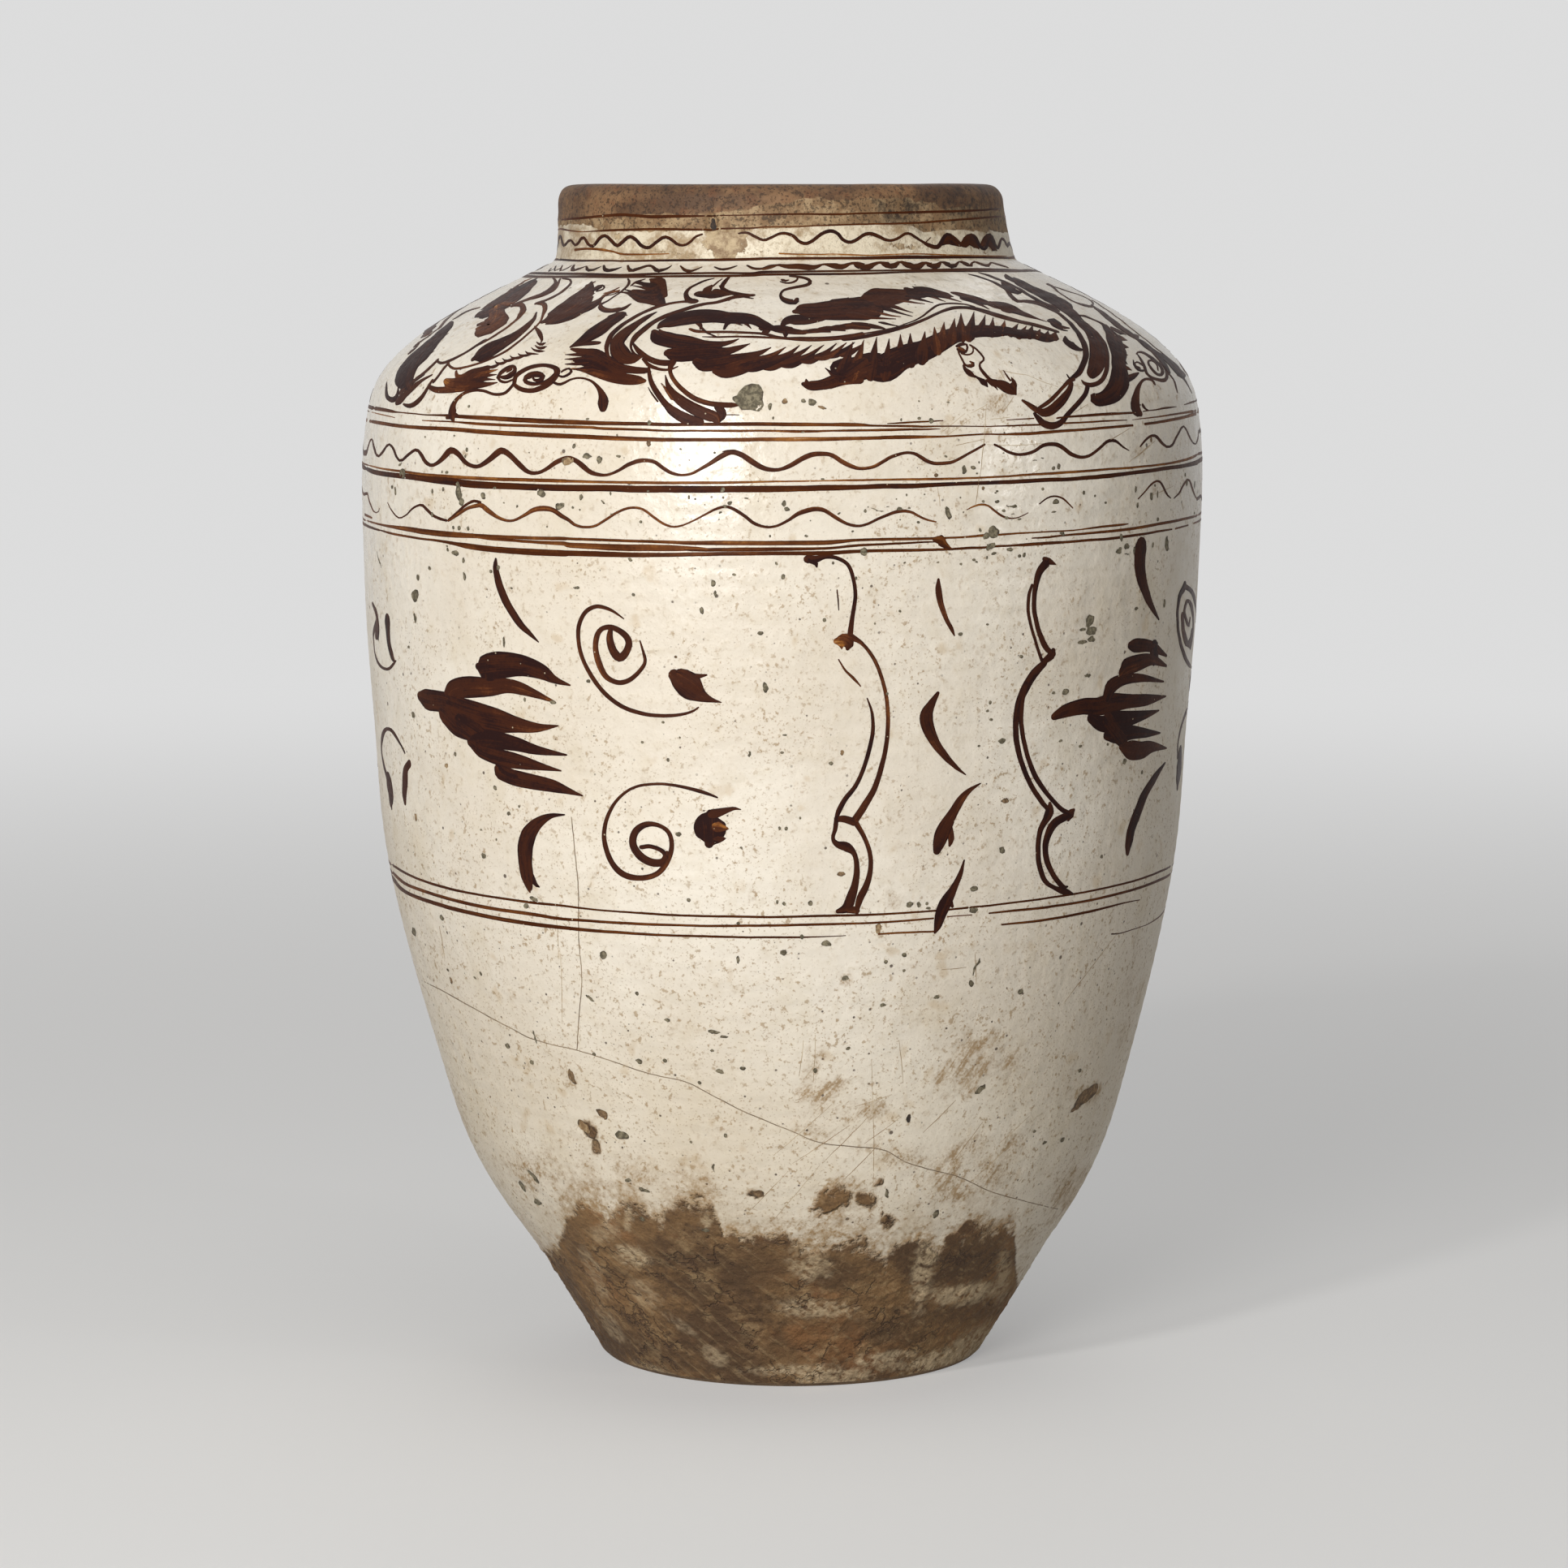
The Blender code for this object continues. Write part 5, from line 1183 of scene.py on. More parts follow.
# Soft patches of a finish in an enlargement: x, y, width, height, turn in degrees, strength
clayPatches = {
    "footWide": [
        (866, 178, 92, 62, -10, 0.85), (944, 184, 48, 34, 10, 0.85), (992, 228, 36, 34, 0, 0.9),
        (976, 142, 22, 16, 0, 0.7), (1141, 277, 30, 36, 0, 0.95), (1178, 248, 48, 32, -20, 0.95),
        (688, 166, 36, 16, 20, 1), (310, 22, 50, 24, 50, 0.9), (326, 60, 22, 34, 0, 0.8),
    ],
}
darkPatches = {
    "footWide": [
        (1047, 320, 80, 90, 10, 1), (1193, 314, 170, 116, -25, 1), (1141, 277, 29, 35, 0, 1),
        (1178, 248, 47, 35, -20, 1), (890, 291, 76, 35, 0, 0.7), (878, 355, 140, 84, 0, 0.9),
        (691, 344, 170, 100, 0, 0.8), (541, 320, 190, 44, 0, 0.9), (1158, 437, 230, 56, -8, 0.8),
        (983, 484, 240, 50, 0, 0.7), (573, 388, 47, 41, 0, 1), (661, 493, 58, 35, 0, 0.9),
        (290, 303, 76, 29, 30, 0.8), (383, 355, 93, 35, 10, 0.6), (278, 402, 35, 140, -30, 0.7),
        (740, 540, 260, 60, 0, 0.4), (440, 520, 200, 40, 30, 0.5), (600, 250, 90, 50, 0, 0.4),
        (470, 290, 120, 40, 0, 0.5),
    ],
}
palePatches = {
    "footWide": [
        (1078, 345, 46, 170, 12, 1), (1165, 398, 190, 44, -6, 1), (828, 430, 170, 46, 4, 0.75),
        (322, 350, 30, 120, -25, 0.45), (402, 322, 70, 30, 25, 0.6), (440, 395, 50, 80, -35, 0.4),
        (1150, 545, 230, 50, -18, 0.8), (980, 560, 130, 40, -12, 0.7), (880, 590, 190, 34, 0, 0.75),
        (745, 578, 110, 22, 0, 0.6), (598, 545, 50, 40, 30, 0.6), (815, 335, 90, 70, 20, 0.75),
        (1260, 350, 30, 120, 8, 0.7), (1200, 510, 120, 40, -25, 0.7), (407, 314, 76, 44, 15, 0.9),
        (588, 530, 50, 26, 20, 0.5), (810, 574, 240, 24, 0, 0.9), (1190, 512, 120, 46, -35, 1.1),
        (1105, 552, 170, 42, -14, 1.1), (985, 545, 140, 28, -8, 1), (360, 470, 30, 110, -35, 0.4),
        (520, 470, 90, 22, 35, 0.4), (480, 585, 120, 20, 25, 0.5), (398, 230, 16, 46, 8, 0.8),
        (350, 250, 60, 50, -20, 0.5), (575, 230, 26, 34, 0, 0.7),
    ],
}
grimePatches = {
    "footWide": [
        (290, 200, 130, 130, 0, 0.9), (440, 215, 200, 120, 0, 0.8), (560, 190, 150, 110, 0, 0.8),
        (740, 260, 260, 90, 0, 0.9), (880, 190, 170, 130, 0, 0.8), (900, 270, 220, 90, 0, 0.9),
        (1060, 300, 170, 130, 0, 0.6), (1190, 240, 120, 60, 0, 0.7), (250, 60, 170, 130, 0, 0.5),
        (1150, 160, 180, 120, 0, 0.6), (260, 360, 60, 200, -28, 0.8), (1290, 330, 60, 200, 25, 0.6),
        (480, 130, 120, 60, 0, 0.5),
    ],
    "bandsRightWide": [
        (480, 245, 170, 110, -25, 1.1), (1310, 195, 110, 120, 0, 1.2), (490, 100, 70, 90, 30, 0.7),
        (600, 205, 60, 30, -10, 1), (220, 512, 90, 24, 0, 0.9), (140, 622, 60, 24, 0, 0.8),
        (480, 450, 30, 60, 0, 1), (430, 410, 60, 40, 0, 0.9), (575, 535, 30, 60, 0, 0.9),
        (320, 390, 50, 50, 0, 0.7), (1240, 490, 90, 110, 20, 0.6), (1330, 690, 140, 120, 10, 0.6),
        (760, 560, 200, 90, 0, 0.3), (300, 340, 360, 160, 0, 0.35), (1390, 560, 150, 220, 20, 0.4),
    ],
    "lowerWide": [
        (1140, 375, 150, 110, -10, 1.2), (1338, 428, 60, 40, -20, 1.6), (860, 425, 100, 46, -20, 1.4),
        (940, 460, 64, 44, 0, 1.4), (838, 370, 40, 110, 5, 1.1), (390, 395, 26, 60, -15, 1),
        (990, 70, 40, 40, 0, 0.9), (900, 215, 26, 30, 0, 1), (330, 560, 160, 110, 0, 0.8),
        (500, 580, 120, 100, 0, 0.7), (1010, 540, 260, 60, 10, 0.7), (1140, 560, 200, 120, -30, 0.9),
        (870, 470, 150, 90, -20, 0.8), (640, 330, 200, 160, 0, 0.25), (1320, 620, 110, 130, 20, 1),
        (180, 470, 60, 160, -15, 0.6), (1420, 260, 60, 240, 10, 0.5),
    ],
}
# Soot on the neck's bare clay, and at its left and right ends painted shade where the light falls off
sootAndEdgeShadePatches = {
    "neckWhole": [
        (1160, 92, 150, 76, 0, 1), (1390, 50, 260, 150, 0, 0.75), (1130, 128, 160, 30, 6, 0.5),
        (160, 70, 120, 150, 0, 0.35), (440, 28, 60, 30, 0, 0.5), (300, 100, 60, 40, 0, 0.3),
        (1440, 130, 120, 60, 0, 0.6), (870, 30, 70, 36, 0, 0.3), (1225, 165, 70, 40, 20, 0.5),
    ],
}
# Where the neck's thin wash begins and where its white slip begins, left to right, and its worn places
washEdge = [
    (100, 128), (240, 120), (450, 112), (600, 108), (680, 95), (760, 76), (900, 62), (1180, 60), (1260, 70),
    (1300, 85), (1400, 95), (1500, 100),
]
slipEdge = [
    (100, 152), (130, 146), (160, 141), (220, 143), (250, 160), (560, 158), (600, 161), (690, 160),
    (720, 154), (860, 150), (940, 141), (1100, 136), (1140, 134), (1200, 146), (1240, 161), (1300, 158),
    (1480, 166), (1510, 170),
]
wornPatches = {
    "neckWhole": [
        (632, 196, 110, 110, 0, 1), (600, 166, 70, 36, 0, 0.9), (1150, 205, 190, 26, 4, 0.6),
        (700, 226, 120, 20, 0, 0.5), (300, 180, 34, 22, 0, 0.6), (1080, 176, 20, 16, 0, 0.5),
        (480, 228, 200, 16, 6, 0.5), (1420, 215, 90, 40, 0, 0.5),
    ],
}
# Scratches in an enlargement, each a short line: x and y of its ends
scratches = {
    "lowerWide": [
        (945, 365, 948, 640), (806, 440, 892, 404), (765, 542, 872, 448), (800, 556, 905, 486),
        (855, 556, 940, 470), (820, 330, 812, 396), (842, 320, 838, 408), (996, 330, 1003, 408),
        (915, 452, 982, 430), (932, 520, 1000, 470), (1128, 590, 1212, 512), (1090, 560, 1150, 480),
        (725, 640, 792, 570), (765, 660, 850, 560), (1300, 260, 1400, 130), (1075, 200, 1120, 196),
        (1136, 172, 1138, 226), (382, 372, 396, 420), (1180, 520, 1235, 470), (372, 160, 376, 300),
        (365, 100, 370, 180), (150, 120, 160, 180), (1040, 500, 1100, 440), (880, 600, 960, 520),
    ],
    "bandsRightWide": [
        (415, 250, 380, 640), (375, 640, 355, 800), (500, 70, 640, 96), (640, 96, 800, 160),
        (800, 130, 930, 160), (170, 405, 300, 300), (200, 420, 330, 330), (250, 470, 400, 440),
        (420, 470, 720, 462), (1030, 470, 1180, 380), (1180, 560, 1290, 470), (1210, 540, 1320, 450),
        (620, 640, 700, 600), (880, 300, 960, 250), (480, 60, 520, 130), (330, 300, 420, 250),
        (150, 690, 165, 800), (1300, 740, 1420, 690), (500, 300, 560, 210), (440, 330, 540, 320),
    ],
}

# How thin the paint of a whole line is, less where it is dark, and where strokes are thin: x and y in the
# photograph, reach, share
# middleThick, middleThin and upperWave are made lighter partly as a painted highlight, the lamp's glare on
# their paint
lineDrynessAndGlare = {
    "middleThick": -0.22, "middleThin": 0.1, "bellyTop": -0.05, "bellyMiddle": -0.02, "bellyBottom": 0.05,
    "bellyInner": 0.05, "lowerWave": 0.26, "upperWave": 0.2, "shoulderLineA": 0.08, "shoulderLineB": 0.12,
    "shoulderLineC": 0.12, "neckSmears": 0.25, "neckWave": -0.25, "dabs": -0.35, "rimLine": -0.1,
    "neckLine": -0.1, "neckBase": -0.2, "dabLineTop": -0.3, "dabLineLow": -0.3, "footThin": -0.05,
    "footMiddle": -0.08, "footLow": -0.05,
}
thinPaint = [
    (1037, 787, 14, 0.5), (1090, 860, 60, 0.22), (1162, 745, 40, 0.28), (1170, 1000, 50, 0.18),
    (890, 1020, 18, 0.3), (700, 835, 60, 0.15), (1180, 830, 40, 0.15), (620, 390, 60, 0.2),
    (555, 470, 30, 0.35), (1000, 575, 90, 0.12),
]

# Brushwork: the step between a stroke's points in pixels, the paint's thickness and the edge's wander in
# millimetres; fullness widens the strokes, and those wider than broadFrom get the broad section
bandLooks = {"step": 4.0, "thickness": 0.1, "wander": 0.5, "backStep": 2.6}
handLooks = {"fullness": 1.12, "step": 3.2, "thickness": 0.12, "wander": 0.5, "broadFrom": 2.6}
crackLooks = {"width": 1.2, "step": 4, "thickness": 0.03, "wander": 1.2}
scratchLooks = {"width": 0.8, "step": 4, "thickness": 0.02, "wander": 1.2, "bend": (0.01, 0.02)}
thinFades = (0.4, 1.1)  # where a thin place begins to fade and where it ends, as shares of its reach
# Lines carried on round the back: where they leave on the right, where they come in on the left, and the
# length of a wave in millimetres or 0
roundTheBack = [
    ("shoulderLineA", "shoulderLineB", 0), ("shoulderLineStub", "shoulderLineA", 0),
    ("shoulderLineC", "shoulderLineC", 0), ("middleThin", "middleThin", 0),
    ("middleThick", "middleThick", 0), ("bellyInner", "bellyTop", 0), ("bellyBottom", "bellyBottom", 0),
    ("footThin", "footThin", 0), ("footMiddle", "footMiddle", 0), ("footLow", "footLow", 0),
    ("rimLine", "rimLine", 0), ("neckLine", "neckLine", 0), ("neckBase", "neckBase", 0),
    ("dabLineTop", "dabLineTop", 0), ("dabLineLow", "dabLineLow", 0), ("upperWave", "upperWave", 46),
    ("lowerWave", "lowerWave", 46), ("neckWave", "neckWave", 30),
]
# How they go on: how fast they leave their ends, their drift and each wave's height in millimetres
backLines = {
    "fade": 12,
    "drift": 2.2,
    "waveHeights": {46: 4.2, 30: 3.4},
    "seed": 50,
    "thinnest": 0.75,  # their width as a share of the front's, and how much they swell from there
    "swelling": 0.5,
    "unsteadiness": 0.35,
    "waveThinning": 0.35,
}


# How the biggest chips dent the clay, in millimetres, and the small hole below the rim: its place in an
# enlargement and half its width and height in turns
dents = {
    "count": 60,
    "around": 0.02,  # in turns, how much of the wall a dent can touch; then where its side begins and ends
    "side": (0.5, 1.1),
    "least": 0.3,
    "bySize": 0.07,
    "most": 0.7,
    "smallHole": {"view": "neckLeft", "at": (1158, 372), "half": (0.0058, 0.0085), "depth": 2.2},
}
solidTone = 0.9  # chips of a higher tone are smears that lie in the glaze
chipStretch = (0.9, 2.2)  # how far the wall's slant may change a chip's size


def chipRows():  # every chip in photograph pixels: x, y, width, height, turn, tone
    rows = []
    for view, listed in chips.items():
        zoom = views[view][2]
        for chip in listed:
            rest = list(chip[4:])
            tone = chipTones[rest.pop()] if rest and isinstance(rest[-1], str) else 0.0
            turn = math.radians(rest[0]) if rest else 0.0
            x, y = inPhoto(view, [chip[:2]])[0]
            rows.append((x, y, chip[2] / zoom, chip[3] / zoom, turn, tone))
    return np.array(rows)


def pixelSteps(x, y, size=0.7):  # the flat wall's step for one photograph pixel: 2 by 2 for each point
    across = flatPlaces(x + size, y) - flatPlaces(x - size, y)
    down = flatPlaces(x, y + size) - flatPlaces(x, y - size)
    return np.stack([across, down], 2) / (2 * size)


pixelLength = photoView["distance"] / focal
chipTable = chipRows()
chipFlat = flatPlaces(chipTable[:, 0], chipTable[:, 1])
plainStep = flatLength(pixelLength, wallPlace(chipTable[:, 0], chipTable[:, 1])[1])[:, None]
stretched = np.linalg.norm(pixelSteps(chipTable[:, 0], chipTable[:, 1]), axis=1)
chipHalf = chipTable[:, 2:4] / 2 * np.clip(stretched, *(share * plainStep for share in chipStretch))
print("chips placed:", len(chipTable))


def dentDepth(turns, flat):  # how deep the clay is broken away, in metres
    depth = np.zeros_like(turns)
    big = [i for i in np.argsort(-chipHalf.prod(1))[: dents["count"]] if chipTable[i, 5] < solidTone]
    for mirrored in (False, True):
        for i in big:
            u, v = chipFlat[i]
            across = np.mod(turns - (0.5 - u if mirrored else u) + 0.5, 1) - 0.5
            near = np.nonzero(np.maximum(np.abs(across), np.abs(flat - v)) < dents["around"])
            c, s = math.cos(chipTable[i, 4]), math.sin(chipTable[i, 4])
            a, b = across[near], flat[near] - v
            reach = np.hypot((c * a - s * b) / chipHalf[i, 0], (s * a + c * b) / chipHalf[i, 1])
            deep = min(dents["least"] * mm + chipHalf[i].min() * dents["bySize"], dents["most"] * mm)
            depth[near] = np.maximum(depth[near], deep * (1 - smoothStep(reach, *dents["side"])))
    hole = dents["smallHole"]
    u, v = flatPlaces(*inPhoto(hole["view"], [hole["at"]]).T)[0]
    halfWidth, halfHeight = hole["half"]
    reach = np.hypot((np.mod(turns - u + 0.5, 1) - 0.5) / halfWidth, (flat - v) / halfHeight)
    return np.maximum(depth, hole["depth"] * mm * (1 - smoothStep(reach, *dents["side"])))


def foldsAt(turns, flat):  # the crumpled clay's slanting creases, standing up where the value is high
    slanted = turns - flat * jar["foldSlant"]
    coarse = 1 - np.abs(2 * gridNoise(slanted, flat * 1.2, cells=74, seed=11) - 1)
    fine = 1 - np.abs(2 * gridNoise(slanted, flat * 1.4, cells=150, seed=12) - 1)
    return coarse**5 + 0.6 * fine**5


def fadesIn(part, height):  # 0 to 1 between that part's two heights
    low, high = jar["fadesIn"][part]
    return smoothStep(height, low * mm, high * mm)


def relief(turns, along):  # how far the wall stands off its outline, in metres
    flat = np.interp(along, lineAlong, lineFlat)
    height = np.interp(along, lineAlong, lineHeight)
    lumps = gridNoise(turns, flat, cells=12, seed=1) + 0.5 * gridNoise(turns, flat, cells=29, seed=2) - 0.75
    drift = 0.6 * gridNoise(turns, flat, cells=7, seed=3)
    ridges = np.sin(2 * math.pi * (along / (jar["ridgeSpacing"] * mm) + drift))
    ridges = ridges * (0.3 + gridNoise(turns, flat, cells=16, seed=4)) * fadesIn("ridges", height)
    coarse = gridNoise(turns, flat * 1.8, cells=150, seed=5)
    wrinkles = coarse + 0.6 * gridNoise(turns, flat, cells=260, seed=6) - 0.8
    edge = (gridNoise(turns, flat, cells=40, seed=9) - 0.5) * 0.05
    wrinkled = 1 - fadesIn("slip", height + edge)
    crumpled = jar["wrinkles"] * wrinkles + jar["folds"] * (foldsAt(turns, flat) - 0.4)
    stand = jar["lumps"] * lumps + jar["ridges"] * ridges + crumpled * wrinkled
    return stand * mm * fadesIn("foot", height) - dentDepth(turns, flat)


slopeReach = 0.001  # how far along the outline to each side its slope is taken, in metres


def wallPoints(turns, along, stand):  # the wall's points in space, standing off its outline
    height = np.interp(along, lineAlong, lineHeight)
    before, after = np.clip(along - slopeReach, 0, None), np.clip(along + slopeReach, None, lineAlong[-1])
    outwards = np.interp(after, lineAlong, lineHeight) - np.interp(before, lineAlong, lineHeight)
    upwards = np.interp(before, lineAlong, lineRadius) - np.interp(after, lineAlong, lineRadius)
    length = np.hypot(outwards, upwards)
    radius = np.interp(along, lineAlong, lineRadius) + stand * outwards / length
    waver = (gridNoise(turns, height * 0, cells=5, seed=8) - 0.5) * jar["rimWaver"] * mm
    waver = waver * fadesIn("rim", height)
    angle = turns * 2 * math.pi
    level = height + stand * upwards / length + waver
    return np.stack([leanAt(height) + radius * np.sin(angle), -radius * np.cos(angle), level], -1)


def rowsUp(low, high, step):
    ends = np.interp([low, high], lineHeight, lineAlong)
    return np.linspace(*ends, max(2, round((ends[1] - ends[0]) / (step * mm))) + 1)


seamHeights = [height * mm for height in jar["seams"][:-1]] + [lineHeight[-1]]
sectionRows = [rowsUp(low, high, jar["rowStep"]) for low, high in zip(seamHeights[:-1], seamHeights[1:])]
sectionRows[0] = rowsUp(*seamHeights[:2], jar["footRowStep"])
sectionRows[-1] = rowsUp(*seamHeights[-2:], jar["neckRowStep"])
rowAlong = np.concatenate([sectionRows[0][:1]] + [rows[1:] for rows in sectionRows])
seamRows = np.cumsum([0] + [len(rows) - 1 for rows in sectionRows])
columns = jar["columns"]
columnTurns = np.arange(columns) / columns
gridTurns, gridAlong = np.meshgrid(columnTurns, rowAlong)
gridHeight = np.interp(gridAlong, lineAlong, lineHeight)
gridFlat = np.interp(gridAlong, lineAlong, lineFlat)
wallGrid = wallPoints(gridTurns, gridAlong, relief(gridTurns, gridAlong))
wallNormals = np.cross(np.roll(wallGrid, -1, 1) - np.roll(wallGrid, 1, 1), np.gradient(wallGrid, axis=0))
wallNormals /= np.linalg.norm(wallNormals, axis=2, keepdims=True)
print("outside laid out:", wallGrid.shape[:2])


def added(name, mesh):
    made = bpy.data.objects.new(name, mesh)
    bpy.context.scene.collection.objects.link(made)
    return made


def store(mesh, name, values, kind="FLOAT"):  # one value or vector for each point of a mesh
    layer = mesh.attributes.new(name, kind, "POINT")
    field = "vector" if kind == "FLOAT_VECTOR" else "value"
    layer.data.foreach_set(field, np.ravel(values).astype(np.float32))


def lathed(profile):  # (radius, height) points in metres turned round the leaning middle
    angle = columnTurns * 2 * math.pi
    radius, height = np.array(profile)[:, :1], np.array(profile)[:, 1:]
    sideways = leanAt(height) + radius * np.sin(angle)
    return np.stack([sideways, -radius * np.cos(angle), height + 0 * angle], -1)


def turnedPiece(name, points, outsideRows, softFrom, softTo, kinds):
    # Closed rows of points: the outside's rows first, then the rest down the inside; kinds are the
    # finishes of the strips between rows, and the strips from softFrom to softTo are smooth
    count = len(points)
    column = np.arange(columns)
    low = np.arange(count)[:, None] * columns
    high = np.roll(low, -1)
    after = (column + 1) % columns
    quads = np.stack([low + column, low + after, high + after, high + column], -1)
    corners = points.reshape(-1, 3)[quads]
    flat = np.cross(corners[:, :, 2] - corners[:, :, 0], corners[:, :, 3] - corners[:, :, 1])
    flat /= np.linalg.norm(flat, axis=2, keepdims=True)
    soft = np.zeros(count, bool)
    soft[: outsideRows - 1] = True
    soft[softFrom:softTo] = True
    byRow = flat * soft[:, None, None]
    byRow = byRow + np.roll(byRow, 1, 0)
    byRow = byRow + np.roll(byRow, 1, 1)
    byRow /= np.maximum(np.linalg.norm(byRow, axis=2, keepdims=True), 1e-9)
    first = int(np.argmin(np.linalg.norm(wallGrid[:, 0] - points[0, 0], axis=1)))
    byRow[:outsideRows] = wallNormals[first : first + outsideRows]
    above, beside = np.roll(byRow, -1, 0), np.roll(byRow, -1, 1)
    smooth = np.stack([byRow, beside, np.roll(above, -1, 1), above], 2)
    normals = np.where(soft[:, None, None, None], smooth, flat[:, :, None])
    mesh = bpy.data.meshes.new(name)
    mesh.from_pydata(points.reshape(-1, 3).tolist(), [], quads.reshape(-1, 4).tolist())
    mesh.shade_smooth()
    mesh.normals_split_custom_set(normals.reshape(-1, 3).tolist())
    mesh.polygons.foreach_set("material_index", np.repeat(kinds, columns).astype(np.int32))
    return added(name, mesh)


seamKey = {"half": 3, "depth": 4}  # the groove between two sections, in millimetres


def keyed(outer, inner, height):  # the ridge and groove between two sections, from outside to inside
    middle, half = (outer + inner) / 2, seamKey["half"]
    return [(middle + half, height), (middle, height - seamKey["depth"]), (middle - half, height)]


insideLine = np.array(jar["insideLine"], float)
insideStep = 9


def insideBetween(low, high):  # down the inside of a section, in millimetres
    heights = np.linspace(high, low, max(3, round((high - low) / insideStep)) + 1)
    return [(float(np.interp(z, insideLine[:, 1], insideLine[:, 0])), float(z)) for z in heights]


def thrownSection(index, name, inside, softCount, kinds):  # softCount: the first smooth strip and how many
    first, last = seamRows[index], seamRows[index + 1]
    outside = wallGrid[first : last + 1]
    points = np.concatenate([outside, lathed(np.array(inside) * mm)])
    rows = len(outside)
    softFrom = rows + softCount[0]
    made = turnedPiece(name, points, rows, softFrom, softFrom + softCount[1], [0] * (rows - 1) + kinds)
    uncovered = np.zeros((len(points) - rows) * columns)
    for key, values in wallCover.items():
        store(made.data, key, np.r_[values[first : last + 1].ravel(), uncovered])
    return made


# Every place of the wall in the photograph's pixels, the back as the front's mirror image
frontAngle = np.where(np.abs(gridTurns - 0.5) < 0.25, 0.5 - gridTurns, gridTurns) * 2 * math.pi
plainRadius = np.interp(gridAlong, lineAlong, lineRadius)
sideways, depth = leanAt(gridHeight) + plainRadius * np.sin(frontAngle), -plainRadius * np.cos(frontAngle)
pixelX, pixelY = photoPlace(np.stack([sideways, depth, gridHeight], -1).reshape(-1, 3))
pixelX, pixelY = pixelX.reshape(gridTurns.shape), pixelY.reshape(gridTurns.shape)


patchEdge = {"cells": 130, "seed": 51, "size": 0.5}  # how the patches' edges wander
patchFades = (0.55, 1.4)  # where a patch begins to fade and where it ends, as shares of its reach


def wandering(cells, seed, size):  # a noise of two sizes round zero over the whole wall
    coarse = gridNoise(gridTurns, gridFlat, cells, seed)
    return (coarse + gridNoise(gridTurns, gridFlat, cells * 3, seed + 1) - 1) * size


def coverFrom(patches):  # soft patches read off the photograph, as a share at each place
    share = np.zeros_like(gridTurns)
    ragged = wandering(**patchEdge)
    for view, listed in patches.items():
        zoom = views[view][2]
        for x, y, wide, tall, turn, strength in listed:
            cx, cy = inPhoto(view, [(x, y)])[0]
            c, s = math.cos(math.radians(turn)), math.sin(math.radians(turn))
            a, b = (pixelX - cx) * zoom, (pixelY - cy) * zoom
            reach = np.hypot((c * a + s * b) / (wide / 2), (c * b - s * a) / (tall / 2))
            share = np.maximum(share, strength * (1 - smoothStep(reach + ragged, *patchFades)))
    return share


def below(edge, view, wander, soft):  # 1 under a line read off the photograph, 0 above it
    points = inPhoto(view, edge)
    return smoothStep(pixelY + wander - np.interp(pixelX, points[:, 0], points[:, 1]), -soft, soft)


wallCover = {
    "bareClay": np.maximum(
        below(clayEdge, "footWide", wandering(cells=110, seed=33, size=14), soft=20), coverFrom(clayPatches)
    ),
    "darkened": coverFrom(darkPatches),
    "stained": below(clayEdge, "footWide", wandering(cells=60, seed=35, size=50), soft=75),
    "pale": coverFrom(palePatches),
    "grime": coverFrom(grimePatches),
    "wash": below(washEdge, "neckWhole", wandering(cells=60, seed=41, size=5), soft=5),
    "slipCover": below(slipEdge, "neckWhole", wandering(cells=70, seed=43, size=2.5), soft=2.2),
    "worn": coverFrom(wornPatches),
    "sootAndEdgeShade": coverFrom(sootAndEdgeShadePatches),
}
print("finishes laid out:", sorted(wallCover))


# The wall as one sheet with its flat places as a texture map: what brushwork and chips are laid on
def layingSheet():
    wide = columns + 1
    points = np.concatenate([wallGrid, wallGrid[:, :1]], 1)
    normals = np.concatenate([wallNormals, wallNormals[:, :1]], 1)
    low = np.arange(len(points) - 1)[:, None] * wide + np.arange(columns)
    quads = np.stack([low, low + 1, low + wide + 1, low + wide], -1).reshape(-1, 4)
    mesh = bpy.data.meshes.new("layingSheet")
    mesh.from_pydata(points.reshape(-1, 3).tolist(), [], quads.tolist())
    store(mesh, "wallNormal", normals, "FLOAT_VECTOR")
    across = np.linspace(0, 1, wide)
    flat = np.interp(rowAlong, lineAlong, lineFlat)
    places = np.stack(np.broadcast_arrays(across, flat[:, None]), -1).reshape(-1, 2)
    layer = mesh.uv_layers.new(name="flatPlace")
    layer.data.foreach_set("uv", places[quads.ravel()].astype(np.float32).ravel())
    return added("layingSheet", mesh)


def emptyGroup(name, inputs):  # a Geometry Nodes tree with its named inputs
    tree = bpy.data.node_groups.new(name, "GeometryNodeTree")
    tree.interface.new_socket("Geometry", in_out="INPUT", socket_type="NodeSocketGeometry")
    tree.interface.new_socket("Geometry", in_out="OUTPUT", socket_type="NodeSocketGeometry")
    for label, kind in inputs.items():
        tree.interface.new_socket(label, in_out="INPUT", socket_type="NodeSocket" + kind)
    graph = Graph(tree)
    start = tree.nodes.new("NodeGroupInput")
    return graph, {socket.name: Wire(graph, socket) for socket in start.outputs if socket.name}


def named(graph, name, kind="FLOAT"):
    return graph.node("GeometryNodeInputNamedAttribute", {"data_type": kind}, {"Name": name})


def geometryOf(graph, source):  # the mesh of an object that a tree is given
    return graph.node("GeometryNodeObjectInfo", None, {"Object": source}, out=4)


def aroundZero(graph, noise):
    return graph.vector("SUBTRACT", noise, (0.5, 0.5, 0.5))


